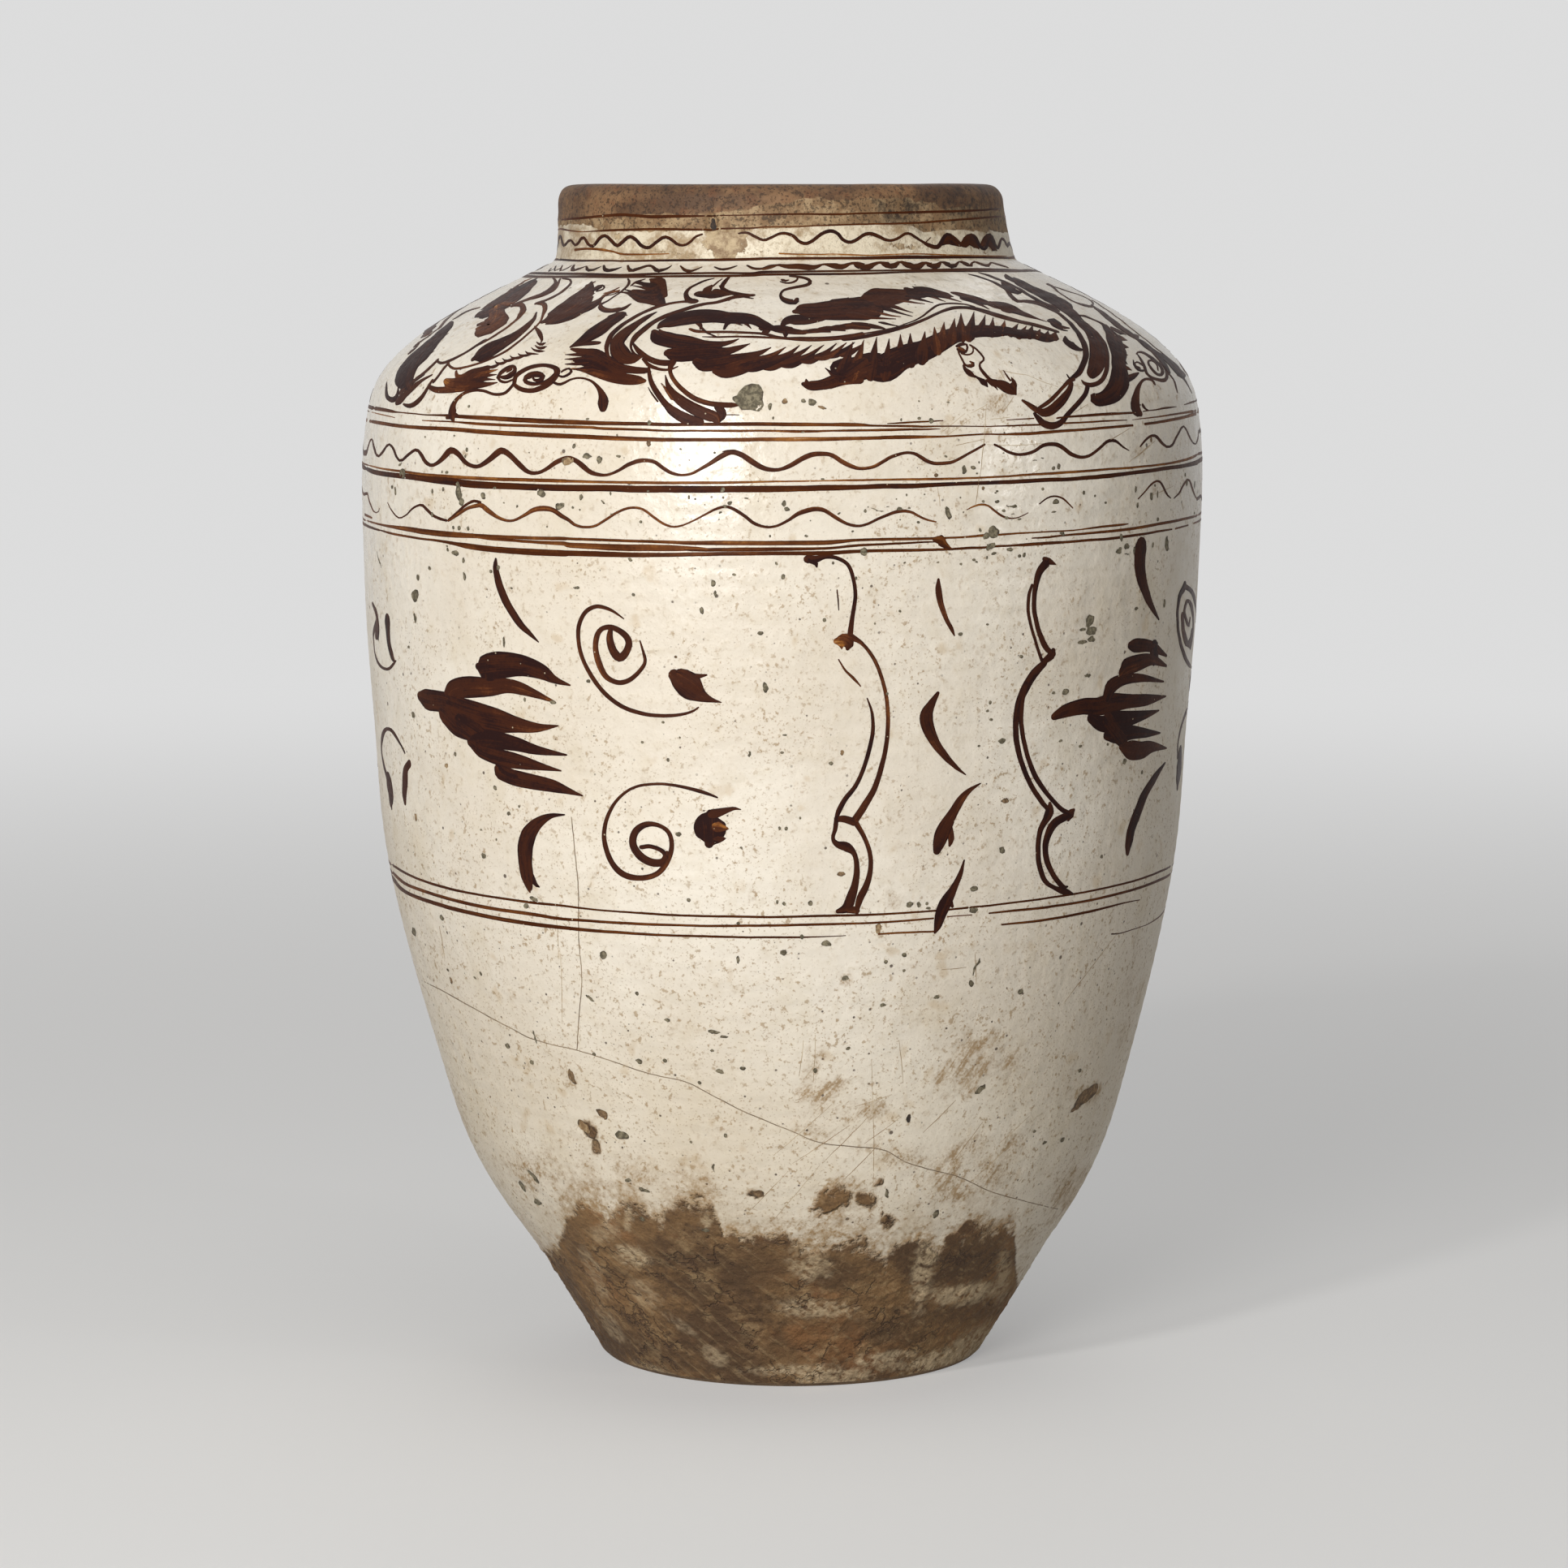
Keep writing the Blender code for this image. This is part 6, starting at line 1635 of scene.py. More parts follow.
def ontoWall(graph, given, geometry, place, rise):  # moves what is drawn flat onto the wall
    sheet = geometryOf(graph, given["Sheet"])
    x, y = (graph.node("ShaderNodeSeparateXYZ", None, {0: place}, out=k) for k in (0, 1))
    inRange = graph.node("ShaderNodeCombineXYZ", None, {0: graph.maths("FRACT", x), 1: y})
    flatPlace = named(graph, "flatPlace", "FLOAT_VECTOR")
    sampled = []
    for name in ("position", "wallNormal"):
        value = named(graph, name, "FLOAT_VECTOR")
        inputs = {"Mesh": sheet, "Value": value, "UV Map": flatPlace, "Sample UV": inRange}
        sampled.append(graph.node("GeometryNodeSampleUVSurface", {"data_type": "FLOAT_VECTOR"}, inputs))
    lifted = graph.vector("ADD", sampled[0], graph.scaled(graph.vector("NORMALIZE", sampled[1]), rise))
    moved = graph.node("GeometryNodeSetPosition", None, {"Geometry": geometry, "Position": lifted})
    real = graph.node("GeometryNodeRealizeInstances", None, {"Geometry": moved})
    return graph.node("GeometryNodeSetMaterial", None, {"Geometry": real, "Material": given["Finish"]})


def finishGroup(graph, geometry):
    end = graph.tree.nodes.new("NodeGroupOutput")
    graph.tree.links.new(geometry.socket, end.inputs[0])
    return graph.tree


# How the trees draw: a wandering noise's scale and its share, how far a chip's edge may stray at most in
# turns, and how high a chip domes in metres
wanderNoises = ((95.0, 0.6), (420.0, 0.4))
chipEdge = {"fineScale": 480.0, "fineMost": 0.0026, "broadScale": 150.0, "broadMost": 0.0075}
chipDome = 0.00006


def brushGroup():  # sweeps a brush's section along every stroke and lays it on the wall
    objects = {"Section": "Object", "Sheet": "Object", "Finish": "Material"}
    graph, given = emptyGroup("brushwork", {**objects, "Thickness": "Float", "Wander": "Float"})
    curve = graph.node("GeometryNodeMeshToCurve", None, {"Mesh": given["Geometry"]})
    radius = {"Curve": curve, "Radius": named(graph, "halfWidth")}
    curve = graph.node("GeometryNodeSetCurveRadius", None, radius)
    curve = graph.node("GeometryNodeSetCurveNormal", {"mode": "Z_UP"}, {"Curve": curve})
    section = graph.node("GeometryNodeMeshToCurve", None, {"Mesh": geometryOf(graph, given["Section"])})
    swept = graph.node(
        "GeometryNodeCurveToMesh",
        None,
        {"Curve": curve, "Profile Curve": section, "Scale": named(graph, "halfWidth"), "Fill Caps": True},
    )
    place = graph.node("GeometryNodeInputPosition")
    shifts = []
    for scale, share in wanderNoises:
        noise = graph.noise(place, scale, 1.0, out=1)
        shifts.append(graph.scaled(aroundZero(graph, noise), given["Wander"] * share))
    place = graph.vector("ADD", graph.vector("ADD", place, shifts[0]), shifts[1])
    rise = named(graph, "rise") * given["Thickness"] + named(graph, "level")
    return finishGroup(graph, ontoWall(graph, given, swept, place, rise))


def chipGroup():  # lays a small irregular patch on every chipped place
    objects = {"Patch": "Object", "Sheet": "Object", "Finish": "Material"}
    graph, given = emptyGroup("chipping", {**objects, "Raggedness": "Float"})
    patch = geometryOf(graph, given["Patch"])
    turn = graph.node("ShaderNodeCombineXYZ", None, {2: named(graph, "turn")})
    turn = graph.node("FunctionNodeEulerToRotation", None, {0: turn})
    spread = graph.node(
        "GeometryNodeInstanceOnPoints",
        None,
        {
            "Points": graph.node("GeometryNodeMeshToPoints", None, {"Mesh": given["Geometry"]}),
            "Instance": patch,
            "Rotation": turn,
            "Scale": named(graph, "size", "FLOAT_VECTOR"),
        },
    )
    spread = graph.node("GeometryNodeRealizeInstances", None, {"Geometry": spread})
    place = graph.node("GeometryNodeInputPosition")
    fine = graph.noise(place, chipEdge["fineScale"], 3.0, 0.75, out=1)
    broad = graph.noise(place, chipEdge["broadScale"], 1.0, out=1)
    reach = named(graph, "extent") * given["Raggedness"]
    for shift, limit in ((fine, chipEdge["fineMost"]), (broad, chipEdge["broadMost"])):
        shift = graph.scaled(aroundZero(graph, shift), graph.maths("MINIMUM", reach, limit))
        place = graph.vector("ADD", place, shift)
    rise = named(graph, "rise") * chipDome + named(graph, "level")
    return finishGroup(graph, ontoWall(graph, given, spread, place, rise))


def runGroup(drawing, name, group, inputs):  # a drawing put through a tree and kept as a plain mesh
    modifier = drawing.modifiers.new("laid", "NODES")
    modifier.node_group = group
    for item in group.interface.items_tree:
        if item.in_out == "INPUT" and item.name in inputs:
            modifier[item.identifier] = inputs[item.name]
    drawing.update_tag()
    ready = bpy.context.evaluated_depsgraph_get()
    mesh = bpy.data.meshes.new_from_object(drawing.evaluated_get(ready), depsgraph=ready)
    bpy.data.objects.remove(drawing)
    mesh.name = name
    mesh.shade_smooth()
    mesh.set_sharp_from_angle(angle=math.radians(50))
    made = added(name, mesh)
    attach(made, "root")
    print(name, "has", sum(len(face.vertices) - 2 for face in mesh.polygons), "triangles")
    return made


# A brush stroke's section: the rise of its rims and of its closed underside, as shares of the thickness,
# and how tall the section is while it is swept
strokeSection = {"rim": 0.3, "plateau": 0.25, "under": -0.6, "underHalf": 0.97, "swept": 0.2}


def sectionObject(name, tops):  # tops: how many points lie across the section's upper side
    across = np.cos(np.linspace(math.pi, 0, tops)) if tops > 3 else np.array([-1, 0.0, 1])
    rise = np.sqrt(np.clip(1 - across**6, 0, 1)) * (1 - strokeSection["plateau"]) + strokeSection["plateau"]
    rise[0] = rise[-1] = strokeSection["rim"]
    across = np.r_[across, strokeSection["underHalf"], -strokeSection["underHalf"]]
    rise = np.r_[rise, strokeSection["under"], strokeSection["under"]]
    mesh = bpy.data.meshes.new(name)
    count = len(across)
    edges = [(i, (i + 1) % count) for i in range(count)]
    mesh.from_pydata([(x, strokeSection["swept"] * y, 0) for x, y in zip(across, rise)], edges, [])
    store(mesh, "across", across)
    store(mesh, "rise", rise)
    return added(name, mesh)


def smoothLine(points, step):  # a smooth line through given points, in pixels, at even steps
    points = np.array(points, float)
    if len(points) == 2:
        points = np.array([points[0], points.mean(0), points[1]])
    ends = np.vstack([2 * points[0] - points[1], points, 2 * points[-1] - points[-2]])
    t = np.linspace(0, 1, 12, endpoint=False)[:, None]
    line = []
    for a, b, c, d in zip(ends, ends[1:], ends[2:], ends[3:]):
        bend = (2 * a - 5 * b + 4 * c - d) * t**2 + (3 * b - a - 3 * c + d) * t**3
        line.append(0.5 * (2 * b + (c - a) * t + bend))
    line = np.vstack(line + [points[-1:]])
    along = np.r_[0, np.cumsum(np.hypot(*np.diff(line[:, :2], axis=0).T))]
    even = np.linspace(0, along[-1], max(4, round(along[-1] / step)) + 1)
    line = np.stack([np.interp(even, along, line[:, k]) for k in range(3)], 1)
    line[:, 2] = np.clip(line[:, 2], 0.5, None)
    return line


class Stroke:  # photo: its line in pixels; flat and half: its line and half widths in turns
    def __init__(self, photo=None, flat=None, half=None, dryness=0.0):
        self.photo, self.flat, self.half, self.dryness = photo, flat, half, dryness

    def turned(self, turn):
        return Stroke(None, self.flat + (turn, 0), self.half, self.dryness)


strokeStretch = (0.7, 3.0)  # how far the wall's slant may change a stroke's width


def layFlat(strokes):  # every stroke from the photograph's pixels to the flat wall, in one go
    points = np.vstack([stroke.photo for stroke in strokes])
    flat = flatPlaces(points[:, 0], points[:, 1])
    steps = pixelSteps(points[:, 0], points[:, 1])
    turns = np.linalg.det(steps)
    height = np.interp(flat[:, 1], lineFlat, lineHeight)
    plain = flatLength(pixelLength, height)
    start = 0
    for stroke in strokes:
        end = start + len(stroke.photo)
        heading = np.gradient(stroke.photo[:, :2], axis=0)
        heading /= np.maximum(np.linalg.norm(heading, axis=1, keepdims=True), 1e-9)
        moved = np.einsum("nij,nj->ni", steps[start:end], heading)
        stretch = np.abs(turns[start:end]) / np.maximum(np.linalg.norm(moved, axis=1), 1e-9)
        stretch = np.clip(stretch / plain[start:end], *strokeStretch) * plain[start:end]
        stroke.flat, stroke.half = flat[start:end], stroke.photo[:, 2] / 2 * stretch
        start = end


# How strokes are made: the least half width, the round ends as shares of the half width at the end, out and
# wide, and the small lifts that keep crossing strokes apart
strokeEnds = {
    "leastHalf": 0.12,
    "roundedBy": ((0.62, 0.74), (0.92, 0.3)),
    "lift": 0.011,
    "lifts": 9,
    "beltHeight": 0.4,  # where in metres up the jar lengths in millimetres are turned into turns
}


def drawingOf(name, strokes, seed):  # strokes as one drawing on the flat wall, for the brush group
    rng = np.random.default_rng(seed)
    points, edges, values = [], [], {key: [] for key in ("halfWidth", "along", "seed", "dryness", "level")}
    start = 0
    leastHalf = flatLength(strokeEnds["leastHalf"] * mm, strokeEnds["beltHeight"])
    for order, stroke in enumerate(strokes):
        flat, half = stroke.flat, np.maximum(stroke.half, leastHalf)
        for end, inner in ((0, 1), (-1, -2)):
            away = flat[end] - flat[inner]
            away /= max(np.hypot(*away), 1e-9)
            size = half[end]
            extra = [(flat[end] + away * size * out, size * wide) for out, wide in strokeEnds["roundedBy"]]
            extra = extra if end else extra[::-1]
            spots, sizes = np.array([e[0] for e in extra]), np.array([e[1] for e in extra])
            flat = np.vstack([flat, spots] if end else [spots, flat])
            half = np.r_[half, sizes] if end else np.r_[sizes, half]
        count = len(flat)
        height = np.interp(flat[:, 1], lineFlat, lineHeight)
        metres = np.interp(height, lineHeight, lineRadius) * 2 * math.pi
        steps = np.hypot(*np.diff(flat, axis=0).T) * metres[1:]
        points += [(u, v, 0.0) for u, v in flat.tolist()]
        edges += [(start + i, start + i + 1) for i in range(count - 1)]
        values["halfWidth"].append(half)
        values["along"].append(np.r_[0, np.cumsum(steps)])
        values["seed"].append(np.full(count, rng.random()))
        values["dryness"].append(np.pad(stroke.dryness * np.ones(count - 4), 2, mode="edge"))
        values["level"].append(np.full(count, order % strokeEnds["lifts"] * (strokeEnds["lift"] * mm)))
        start += count
    mesh = bpy.data.meshes.new(name)
    mesh.from_pydata(points, edges, [])
    for key, listed in values.items():
        store(mesh, key, np.concatenate(listed))
    width = np.concatenate(values["halfWidth"])
    radius = np.interp(np.interp([p[1] for p in points], lineFlat, lineHeight), lineHeight, lineRadius)
    store(mesh, "broadness", width * radius * 2 * math.pi)
    return added(name, mesh)


def linear(red, green, blue):  # a colour as seen on screen, 0 to 255
    return tuple(((c / 255 + 0.055) / 1.055) ** 2.4 for c in (red, green, blue)) + (1.0,)


def screenTones(looks):  # the colours among a finish's values, made linear
    return {key: linear(*value) for key, value in looks.items() if isinstance(value, tuple)}


def newMaterial(name):  # a material, its graph, its shader and the Object coordinates
    material = bpy.data.materials.new(name)
    material.use_nodes = True
    graph = Graph(material.node_tree)
    shader = material.node_tree.nodes["Principled BSDF"]
    place = graph.node("ShaderNodeTexCoord", None, None, out=3)
    return material, graph, shader, place


def scaledPlace(graph, place, x, y, z):
    return graph.vector("MULTIPLY", place, (x, y, z))


def setFinish(graph, shader, colour, roughness, bump=None, strength=1.0):
    graph.plug(shader.inputs["Base Color"], colour)
    graph.plug(shader.inputs["Roughness"], roughness)
    if bump is not None:
        values = {"Height": bump, "Strength": strength, "Distance": 1.0}
        graph.plug(shader.inputs["Normal"], graph.node("ShaderNodeBump", None, values))


def dots(graph, place, scale, size, share):  # round specks up to that size in a share of a pattern's cells
    cells = graph.node("ShaderNodeTexVoronoi", None, {"Vector": place, "Scale": scale})
    colour = Wire(graph, cells.socket.node.outputs["Color"])
    chance = graph.node("ShaderNodeSeparateColor", None, {0: colour})
    reach = (chance - (1 - share)) * (size / share)
    return graph.rise(reach - cells, 0.0, size * 0.35)


def ridged(graph, noise):  # sharp creases where a noise crosses its middle
    return 1 - graph.maths("ABSOLUTE", (noise - 0.5) * 4)


wallLooks = {
    "cream": (224, 213, 195),
    "paleCream": (236, 227, 211),
    "warmCream": (206, 190, 160),
    "stain": (196, 172, 136),
    "grime": (156, 127, 88),
    "speck": (64, 44, 30),
    "clayDark": (84, 62, 41),
    "clayMiddle": (128, 98, 64),
    "clayPale": (172, 146, 108),
    "clayRust": (132, 90, 54),
    "clayStain": (156, 125, 84),
    "rubbedSlip": (198, 176, 142),
    "glossyRoughness": 0.22,
    "dullRoughness": 0.5,
    "clayRoughness": 0.82,
    "shine": 0.4,
    "warmth": 0.4,  # how strongly each layer covers the one below it
    "lowWarmth": 0.3,
    "mottle": 0.22,
    "stains": 0.45,
    "grimeStrength": 1.15,
    "dust": 0.62,
    "specks": 0.85,
    "clayStains": 1.1,
    "rubbed": 0.9,
}


# The noises of the wall's finish, each with its scale, detail and roughness
wallNoises = {
    "cloud": (7.0, 4.0, 0.55),
    "middling": (110.0, 3.0, 0.6),
    "fine": (320.0, 2.0, 0.6),
    "tiny": (800.0, 1.0, 0.5),
    "stains": (70.0, 2.0, 0.5),
    "scatter": (30.0, 2.0, 0.5),
    "grime": (48.0, 6.0, 0.75),
    "edge": (80.0, 5.0, 0.7),
    "creases": (75.0, 3.0, 0.6),
    "creased": (34.0, 2.0, 0.5),
    "swell": (60.0, 2.0, 0.5),
}
clayNoises = {
    "broad": (15.0, 4.0, 0.6),
    "middling": (70.0, 4.0, 0.65),
    "fine": (280.0, 3.0, 0.65),
    "rust": (24.0, 4.0, 0.65),
    "pale": (33.0, 5.0, 0.7),
}
# Its streaks: scale across and along them, and how they lean in degrees
wallStreaks = {"scuffs": (380.0, 42.0, 52.0), "drips": (230.0, 30.0, 84.0), "rubs": (300.0, 42.0, -42.0)}
# Its dots: scale, size and the share of cells that have one
wallDots = {"pits": (250.0, 0.2, 0.5), "blots": (90.0, 0.12, 0.3)}
# The heights in metres between which the specks thin out, the warmth fades and the glaze turns glossy
wallHeights = {"specked": (0.2, 0.48), "warm": (0.13, 0.25), "glossy": (0.3, 0.55)}
# The most that a layer covers or dulls where many of its marks lie on one another
wallLimits = {"grime": 0.85, "dust": 0.7, "specks": 0.9, "clayStains": 0.75, "dulled": 0.4}
# How strongly each layer of the bare clay covers the one below it; the creases' layer is painted shade
clayCover = {"rust": 0.6, "pale": 0.5, "dark": 0.85, "grain": 0.35, "creases": 0.6, "streaks": 0.35}
# How high each part of it stands or how deep it lies, in metres
wallRelief = {
    "grain": 0.00022,
    "swell": 0.0011,
    "mottle": 0.0003,
    "speck": 0.0003,
    "bareClay": 0.0003,
    "crumple": 0.0022,
    "crease": 0.0007,
    "clayGrain": 0.0006,
    "clayStreak": 0.0008,
}


def noisesOf(graph, place, settings):
    return {name: graph.noise(place, *values) for name, values in settings.items()}


def clayColour(graph, place, creases, tones):  # the bare, worn clay round the foot, with painted shade in its creases
    noise = noisesOf(graph, place, clayNoises)
    middling, fine = noise["middling"], noise["fine"]
    cloudy = graph.rise(noise["broad"] * 0.55 + middling * 0.3 + fine * 0.15, 0.42, 0.58)
    tone = graph.mix(cloudy, tones["clayDark"], tones["clayMiddle"])
    rusty = graph.rise(noise["rust"], 0.5, 0.68)
    tone = graph.mix(rusty * clayCover["rust"], tone, tones["clayRust"])
    pale = graph.rise(middling * 0.5 + noise["pale"] * 0.5, 0.53, 0.64)
    tone = graph.mix(pale * clayCover["pale"], tone, tones["clayPale"])
    darkened = graph.attribute("darkened") * graph.rise(middling * 0.6 + fine * 0.4, 0.34, 0.5)
    tone = graph.mix(darkened * clayCover["dark"], tone, tones["clayDark"])
    grain = graph.rise(fine, 0.55, 0.68)
    tone = graph.mix(grain * clayCover["grain"], tone, tones["speck"])
    # painted shade: the thin creases are darkened as if shadowed in their folds
    return graph.mix(creases * clayCover["creases"], tone, tones["speck"])


def slanting(graph, place, across, along, turn):  # a noise drawn out into streaks that lean by a turn
    c, s = math.cos(math.radians(turn)), math.sin(math.radians(turn))
    x, y, z = (graph.node("ShaderNodeSeparateXYZ", None, {0: place}, out=k) for k in range(3))
    spot = {0: (x * c + z * s) * along, 1: (z * c - x * s) * across, 2: y * across * 0.5}
    return graph.noise(graph.node("ShaderNodeCombineXYZ", None, spot), 1.0, 4.0, 0.6)


def whiteGlaze():  # cream slip, then its warm clouds, grime and specks, then the bare clay over them
    material, graph, shader, place = newMaterial("white_slip_glaze")
    tones = screenTones(wallLooks)
    noise = noisesOf(graph, place, wallNoises)
    cloud, middling, fine, tiny = noise["cloud"], noise["middling"], noise["fine"], noise["tiny"]
    blotch = graph.noise(scaledPlace(graph, place, 1, 1, 0.6), 26.0, 4.0, 0.6)
    scuffs, drips, streaks = (slanting(graph, place, *values) for values in wallStreaks.values())
    pits, blots = (dots(graph, place, *values) for values in wallDots.values())
    height = graph.node("ShaderNodeSeparateXYZ", None, {0: place}, out=2)

    belowBelly = 1 - graph.rise(height, *wallHeights["specked"])
    lowered = 1 - graph.rise(height + (blotch - 0.5) * 0.1, *wallHeights["warm"])
    tone = graph.mix(graph.rise(cloud, 0.38, 0.64), tones["cream"], tones["paleCream"])
    tone = graph.mix(graph.rise(blotch, 0.5, 0.76) * wallLooks["warmth"], tone, tones["warmCream"])
    tone = graph.mix(lowered * wallLooks["lowWarmth"], tone, tones["warmCream"])
    mottled = graph.rise(middling * 0.7 + fine * 0.3, 0.46, 0.68)
    tone = graph.mix(mottled * wallLooks["mottle"], tone, tones["warmCream"])
    stains = graph.rise(noise["stains"], 0.64, 0.76)
    tone = graph.mix(stains * wallLooks["stains"], tone, tones["stain"])

    scattered = graph.rise(noise["scatter"] + belowBelly * 0.16, 0.4, 0.68)
    specks = graph.maths("MAXIMUM", pits * (scattered * 0.7 + 0.3), blots)
    dust = graph.rise(fine, 0.6, 0.68) * (scattered * 0.8 + 0.2)
    dust = dust + graph.rise(tiny, 0.62, 0.7) * (scattered * 0.6 + 0.2)
    grimeShare = graph.attribute("grime")
    cloudy = graph.rise(noise["grime"] + (grimeShare - 1) * 0.14, 0.36, 0.62)
    dusty = graph.rise(fine * 0.5 + tiny * 0.5, 0.4, 0.6)
    scuffed = graph.rise(scuffs, 0.5, 0.62)
    grime = graph.rise(grimeShare, 0.0, 0.9) * cloudy * (dusty * 0.4 + scuffed * 0.5 + 0.2)
    grimy = graph.maths("MINIMUM", grime * wallLooks["grimeStrength"], wallLimits["grime"])
    tone = graph.mix(grimy, tone, tones["grime"])
    dusted = graph.maths("MINIMUM", dust * wallLooks["dust"], wallLimits["dust"])
    tone = graph.mix(dusted, tone, tones["grime"])
    specked = graph.maths("MINIMUM", specks * wallLooks["specks"], wallLimits["specks"])
    tone = graph.mix(specked, tone, tones["speck"])

    ragged = (noise["edge"] - 0.5) * 0.9 + (fine - 0.5) * 0.4 + (drips - 0.5) * 0.25
    bare = graph.attribute("bareClay") + ragged
    smear = graph.rise(noise["edge"] * 0.5 + drips * 0.2 + fine * 0.3, 0.38, 0.6)
    stained = graph.attribute("stained") * smear * wallLooks["clayStains"]
    tone = graph.mix(graph.maths("MINIMUM", stained, wallLimits["clayStains"]), tone, tones["clayStain"])
    tone = graph.mix(graph.rise(bare, 0.05, 0.45) * 0.6, tone, tones["clayStain"])
    clay = graph.rise(bare, 0.32, 0.8)
    # thin crease lines of the bare clay: sunk as bumps, and darkened in colour as painted shade
    creases = graph.rise(ridged(graph, noise["creases"]), 0.86, 0.97)
    creases = creases * graph.rise(noise["creased"], 0.5, 0.6)
    rubs = noise["edge"] * 0.4 + fine * 0.25 + streaks * 0.35
    rubbed = graph.attribute("pale") * graph.rise(rubs, 0.38, 0.56)
    bareTone = clayColour(graph, place, creases, tones)
    streaky = graph.rise(streaks, 0.52, 0.72)
    bareTone = graph.mix(streaky * clayCover["streaks"], bareTone, tones["clayPale"])
    bareTone = graph.mix(rubbed * wallLooks["rubbed"], bareTone, tones["rubbedSlip"])
    tone = graph.mix(clay, tone, bareTone)

    gloss = graph.rise(height + (cloud - 0.5) * 0.3, *wallHeights["glossy"])
    rough = wallLooks["dullRoughness"] - gloss * (wallLooks["dullRoughness"] - wallLooks["glossyRoughness"])
    dulled = graph.maths("MINIMUM", specks * 0.3 + grime * 0.3 + dust * 0.2, wallLimits["dulled"])
    rough = rough + (middling - 0.5) * 0.25 + dulled
    rough = rough * (1 - clay) + clay * wallLooks["clayRoughness"]
    grain = fine * wallRelief["grain"] + noise["swell"] * wallRelief["swell"]
    grain = grain + middling * wallRelief["mottle"]
    crumple = noise["creases"] * wallRelief["crumple"] - creases * wallRelief["crease"]
    crumple = crumple + fine * wallRelief["clayGrain"] + streaks * wallRelief["clayStreak"]
    bump = grain + crumple * clay - specks * wallRelief["speck"] - clay * wallRelief["bareClay"]
    setFinish(graph, shader, tone, rough, bump, 1.0)
    shader.inputs["Specular IOR Level"].default_value = wallLooks["shine"]
    return material


neckLooks = {
    "clay": (88, 64, 45),
    "paleClay": (134, 102, 72),
    "rustyClay": (114, 74, 48),
    "pits": (42, 30, 22),
    "wash": (130, 102, 72),
    "paleWash": (164, 138, 104),
    "slip": (222, 209, 184),
    "stainedSlip": (164, 140, 108),
    "worn": (138, 113, 84),
    "paleWorn": (190, 168, 134),
    "shine": 0.3,
    "roughness": 0.66,
    "slipSmoothness": 0.28,  # how much smoother the slip is, and how much rougher worn clay
    "wornRoughness": 0.2,
    "rust": 0.6,  # how strongly each layer covers the one below it
    "pitting": 0.7,
    "slipStains": 0.6,
    "slipPits": 0.6,
    "sootAndShadeStrength": 0.85,
}
# How high each part of it stands or how deep it lies, in metres
neckRelief = {
    "fine": 0.0005,
    "middling": 0.0008,
    "broad": 0.0008,
    "slip": 0.0002,
    "worn": 0.0004,
    "pits": 0.0002,
}
neckDots = (260.0, 0.14, 0.5)  # scale, size and the share of cells that have one
neckNoises = {
    "fine": (300.0, 3.0, 0.65),
    "middling": (110.0, 4.0, 0.7),
    "edge": (120.0, 4.0, 0.7),
    "tiny": (700.0, 2.0, 0.6),
}


def scorchedNeck():  # rough clay, the thin wash and the white slip on it, worn places, then soot and painted shade at the neck's two ends
    material, graph, shader, place = newMaterial("scorched_neck_clay")
    tones = screenTones(neckLooks)
    broad = graph.noise(scaledPlace(graph, place, 1, 1, 1.6), 22.0, 5.0, 0.66)
    fine, middling, edge, tiny = noisesOf(graph, place, neckNoises).values()
    clay = graph.mix(graph.rise(broad, 0.4, 0.6), tones["clay"], tones["paleClay"])
    clay = graph.mix(graph.rise(middling, 0.48, 0.66) * neckLooks["rust"], clay, tones["rustyClay"])
    wash = graph.mix(graph.rise(middling, 0.42, 0.6), tones["wash"], tones["paleWash"])
    tone = graph.mix(graph.rise(graph.attribute("wash") + (edge - 0.5) * 1.1, 0.35, 0.65), clay, wash)
    pits = graph.maths("MAXIMUM", graph.rise(fine, 0.54, 0.64), graph.rise(tiny, 0.56, 0.66))
    tone = graph.mix(pits * neckLooks["pitting"], tone, tones["pits"])
    clouds = graph.rise(broad * 0.5 + middling * 0.5, 0.46, 0.62)
    slip = graph.mix(clouds, tones["slip"], tones["stainedSlip"])
    stained = graph.rise(fine * 0.5 + tiny * 0.5, 0.52, 0.66)
    slip = graph.mix(stained * neckLooks["slipStains"], slip, tones["stainedSlip"])
    slip = graph.mix(dots(graph, place, *neckDots) * neckLooks["slipPits"], slip, tones["pits"])
    cover = graph.rise(graph.attribute("slipCover") + (edge - 0.5) * 1.1, 0.42, 0.6)
    tone = graph.mix(cover, tone, slip)
    worn = graph.rise(graph.attribute("worn") + (edge - 0.5) * 1.5 + (tiny - 0.5) * 0.8, 0.5, 0.62)
    wornTone = graph.mix(graph.rise(middling, 0.4, 0.6), tones["worn"], tones["paleWorn"])
    tone = graph.mix(worn, tone, wornTone)
    # soot darkens the clay, and at the neck's two ends this darkening is painted shade
    sootAndEdgeShadeShare = graph.attribute("sootAndEdgeShade") * (graph.rise(fine * 0.4 + middling * 0.6, 0.44, 0.56) * 0.75 + 0.25)
    tone = graph.mix(sootAndEdgeShadeShare * neckLooks["sootAndShadeStrength"], tone, tones["pits"])
    rough = neckLooks["roughness"] - cover * neckLooks["slipSmoothness"]
    rough = rough + (broad - 0.5) * 0.3 + worn * neckLooks["wornRoughness"]
    bump = fine * neckRelief["fine"] + middling * neckRelief["middling"] + broad * neckRelief["broad"]
    bump = bump + cover * neckRelief["slip"] - worn * neckRelief["worn"] - pits * neckRelief["pits"]
    setFinish(graph, shader, tone, rough, bump, 0.8)
    shader.inputs["Specular IOR Level"].default_value = neckLooks["shine"]
    return material


plainNoises = {"broad": (30.0, 4.0, 0.6), "fine": (300.0, 3.0, 0.65)}
plainRelief = {"fine": 0.0004, "broad": 0.0005}


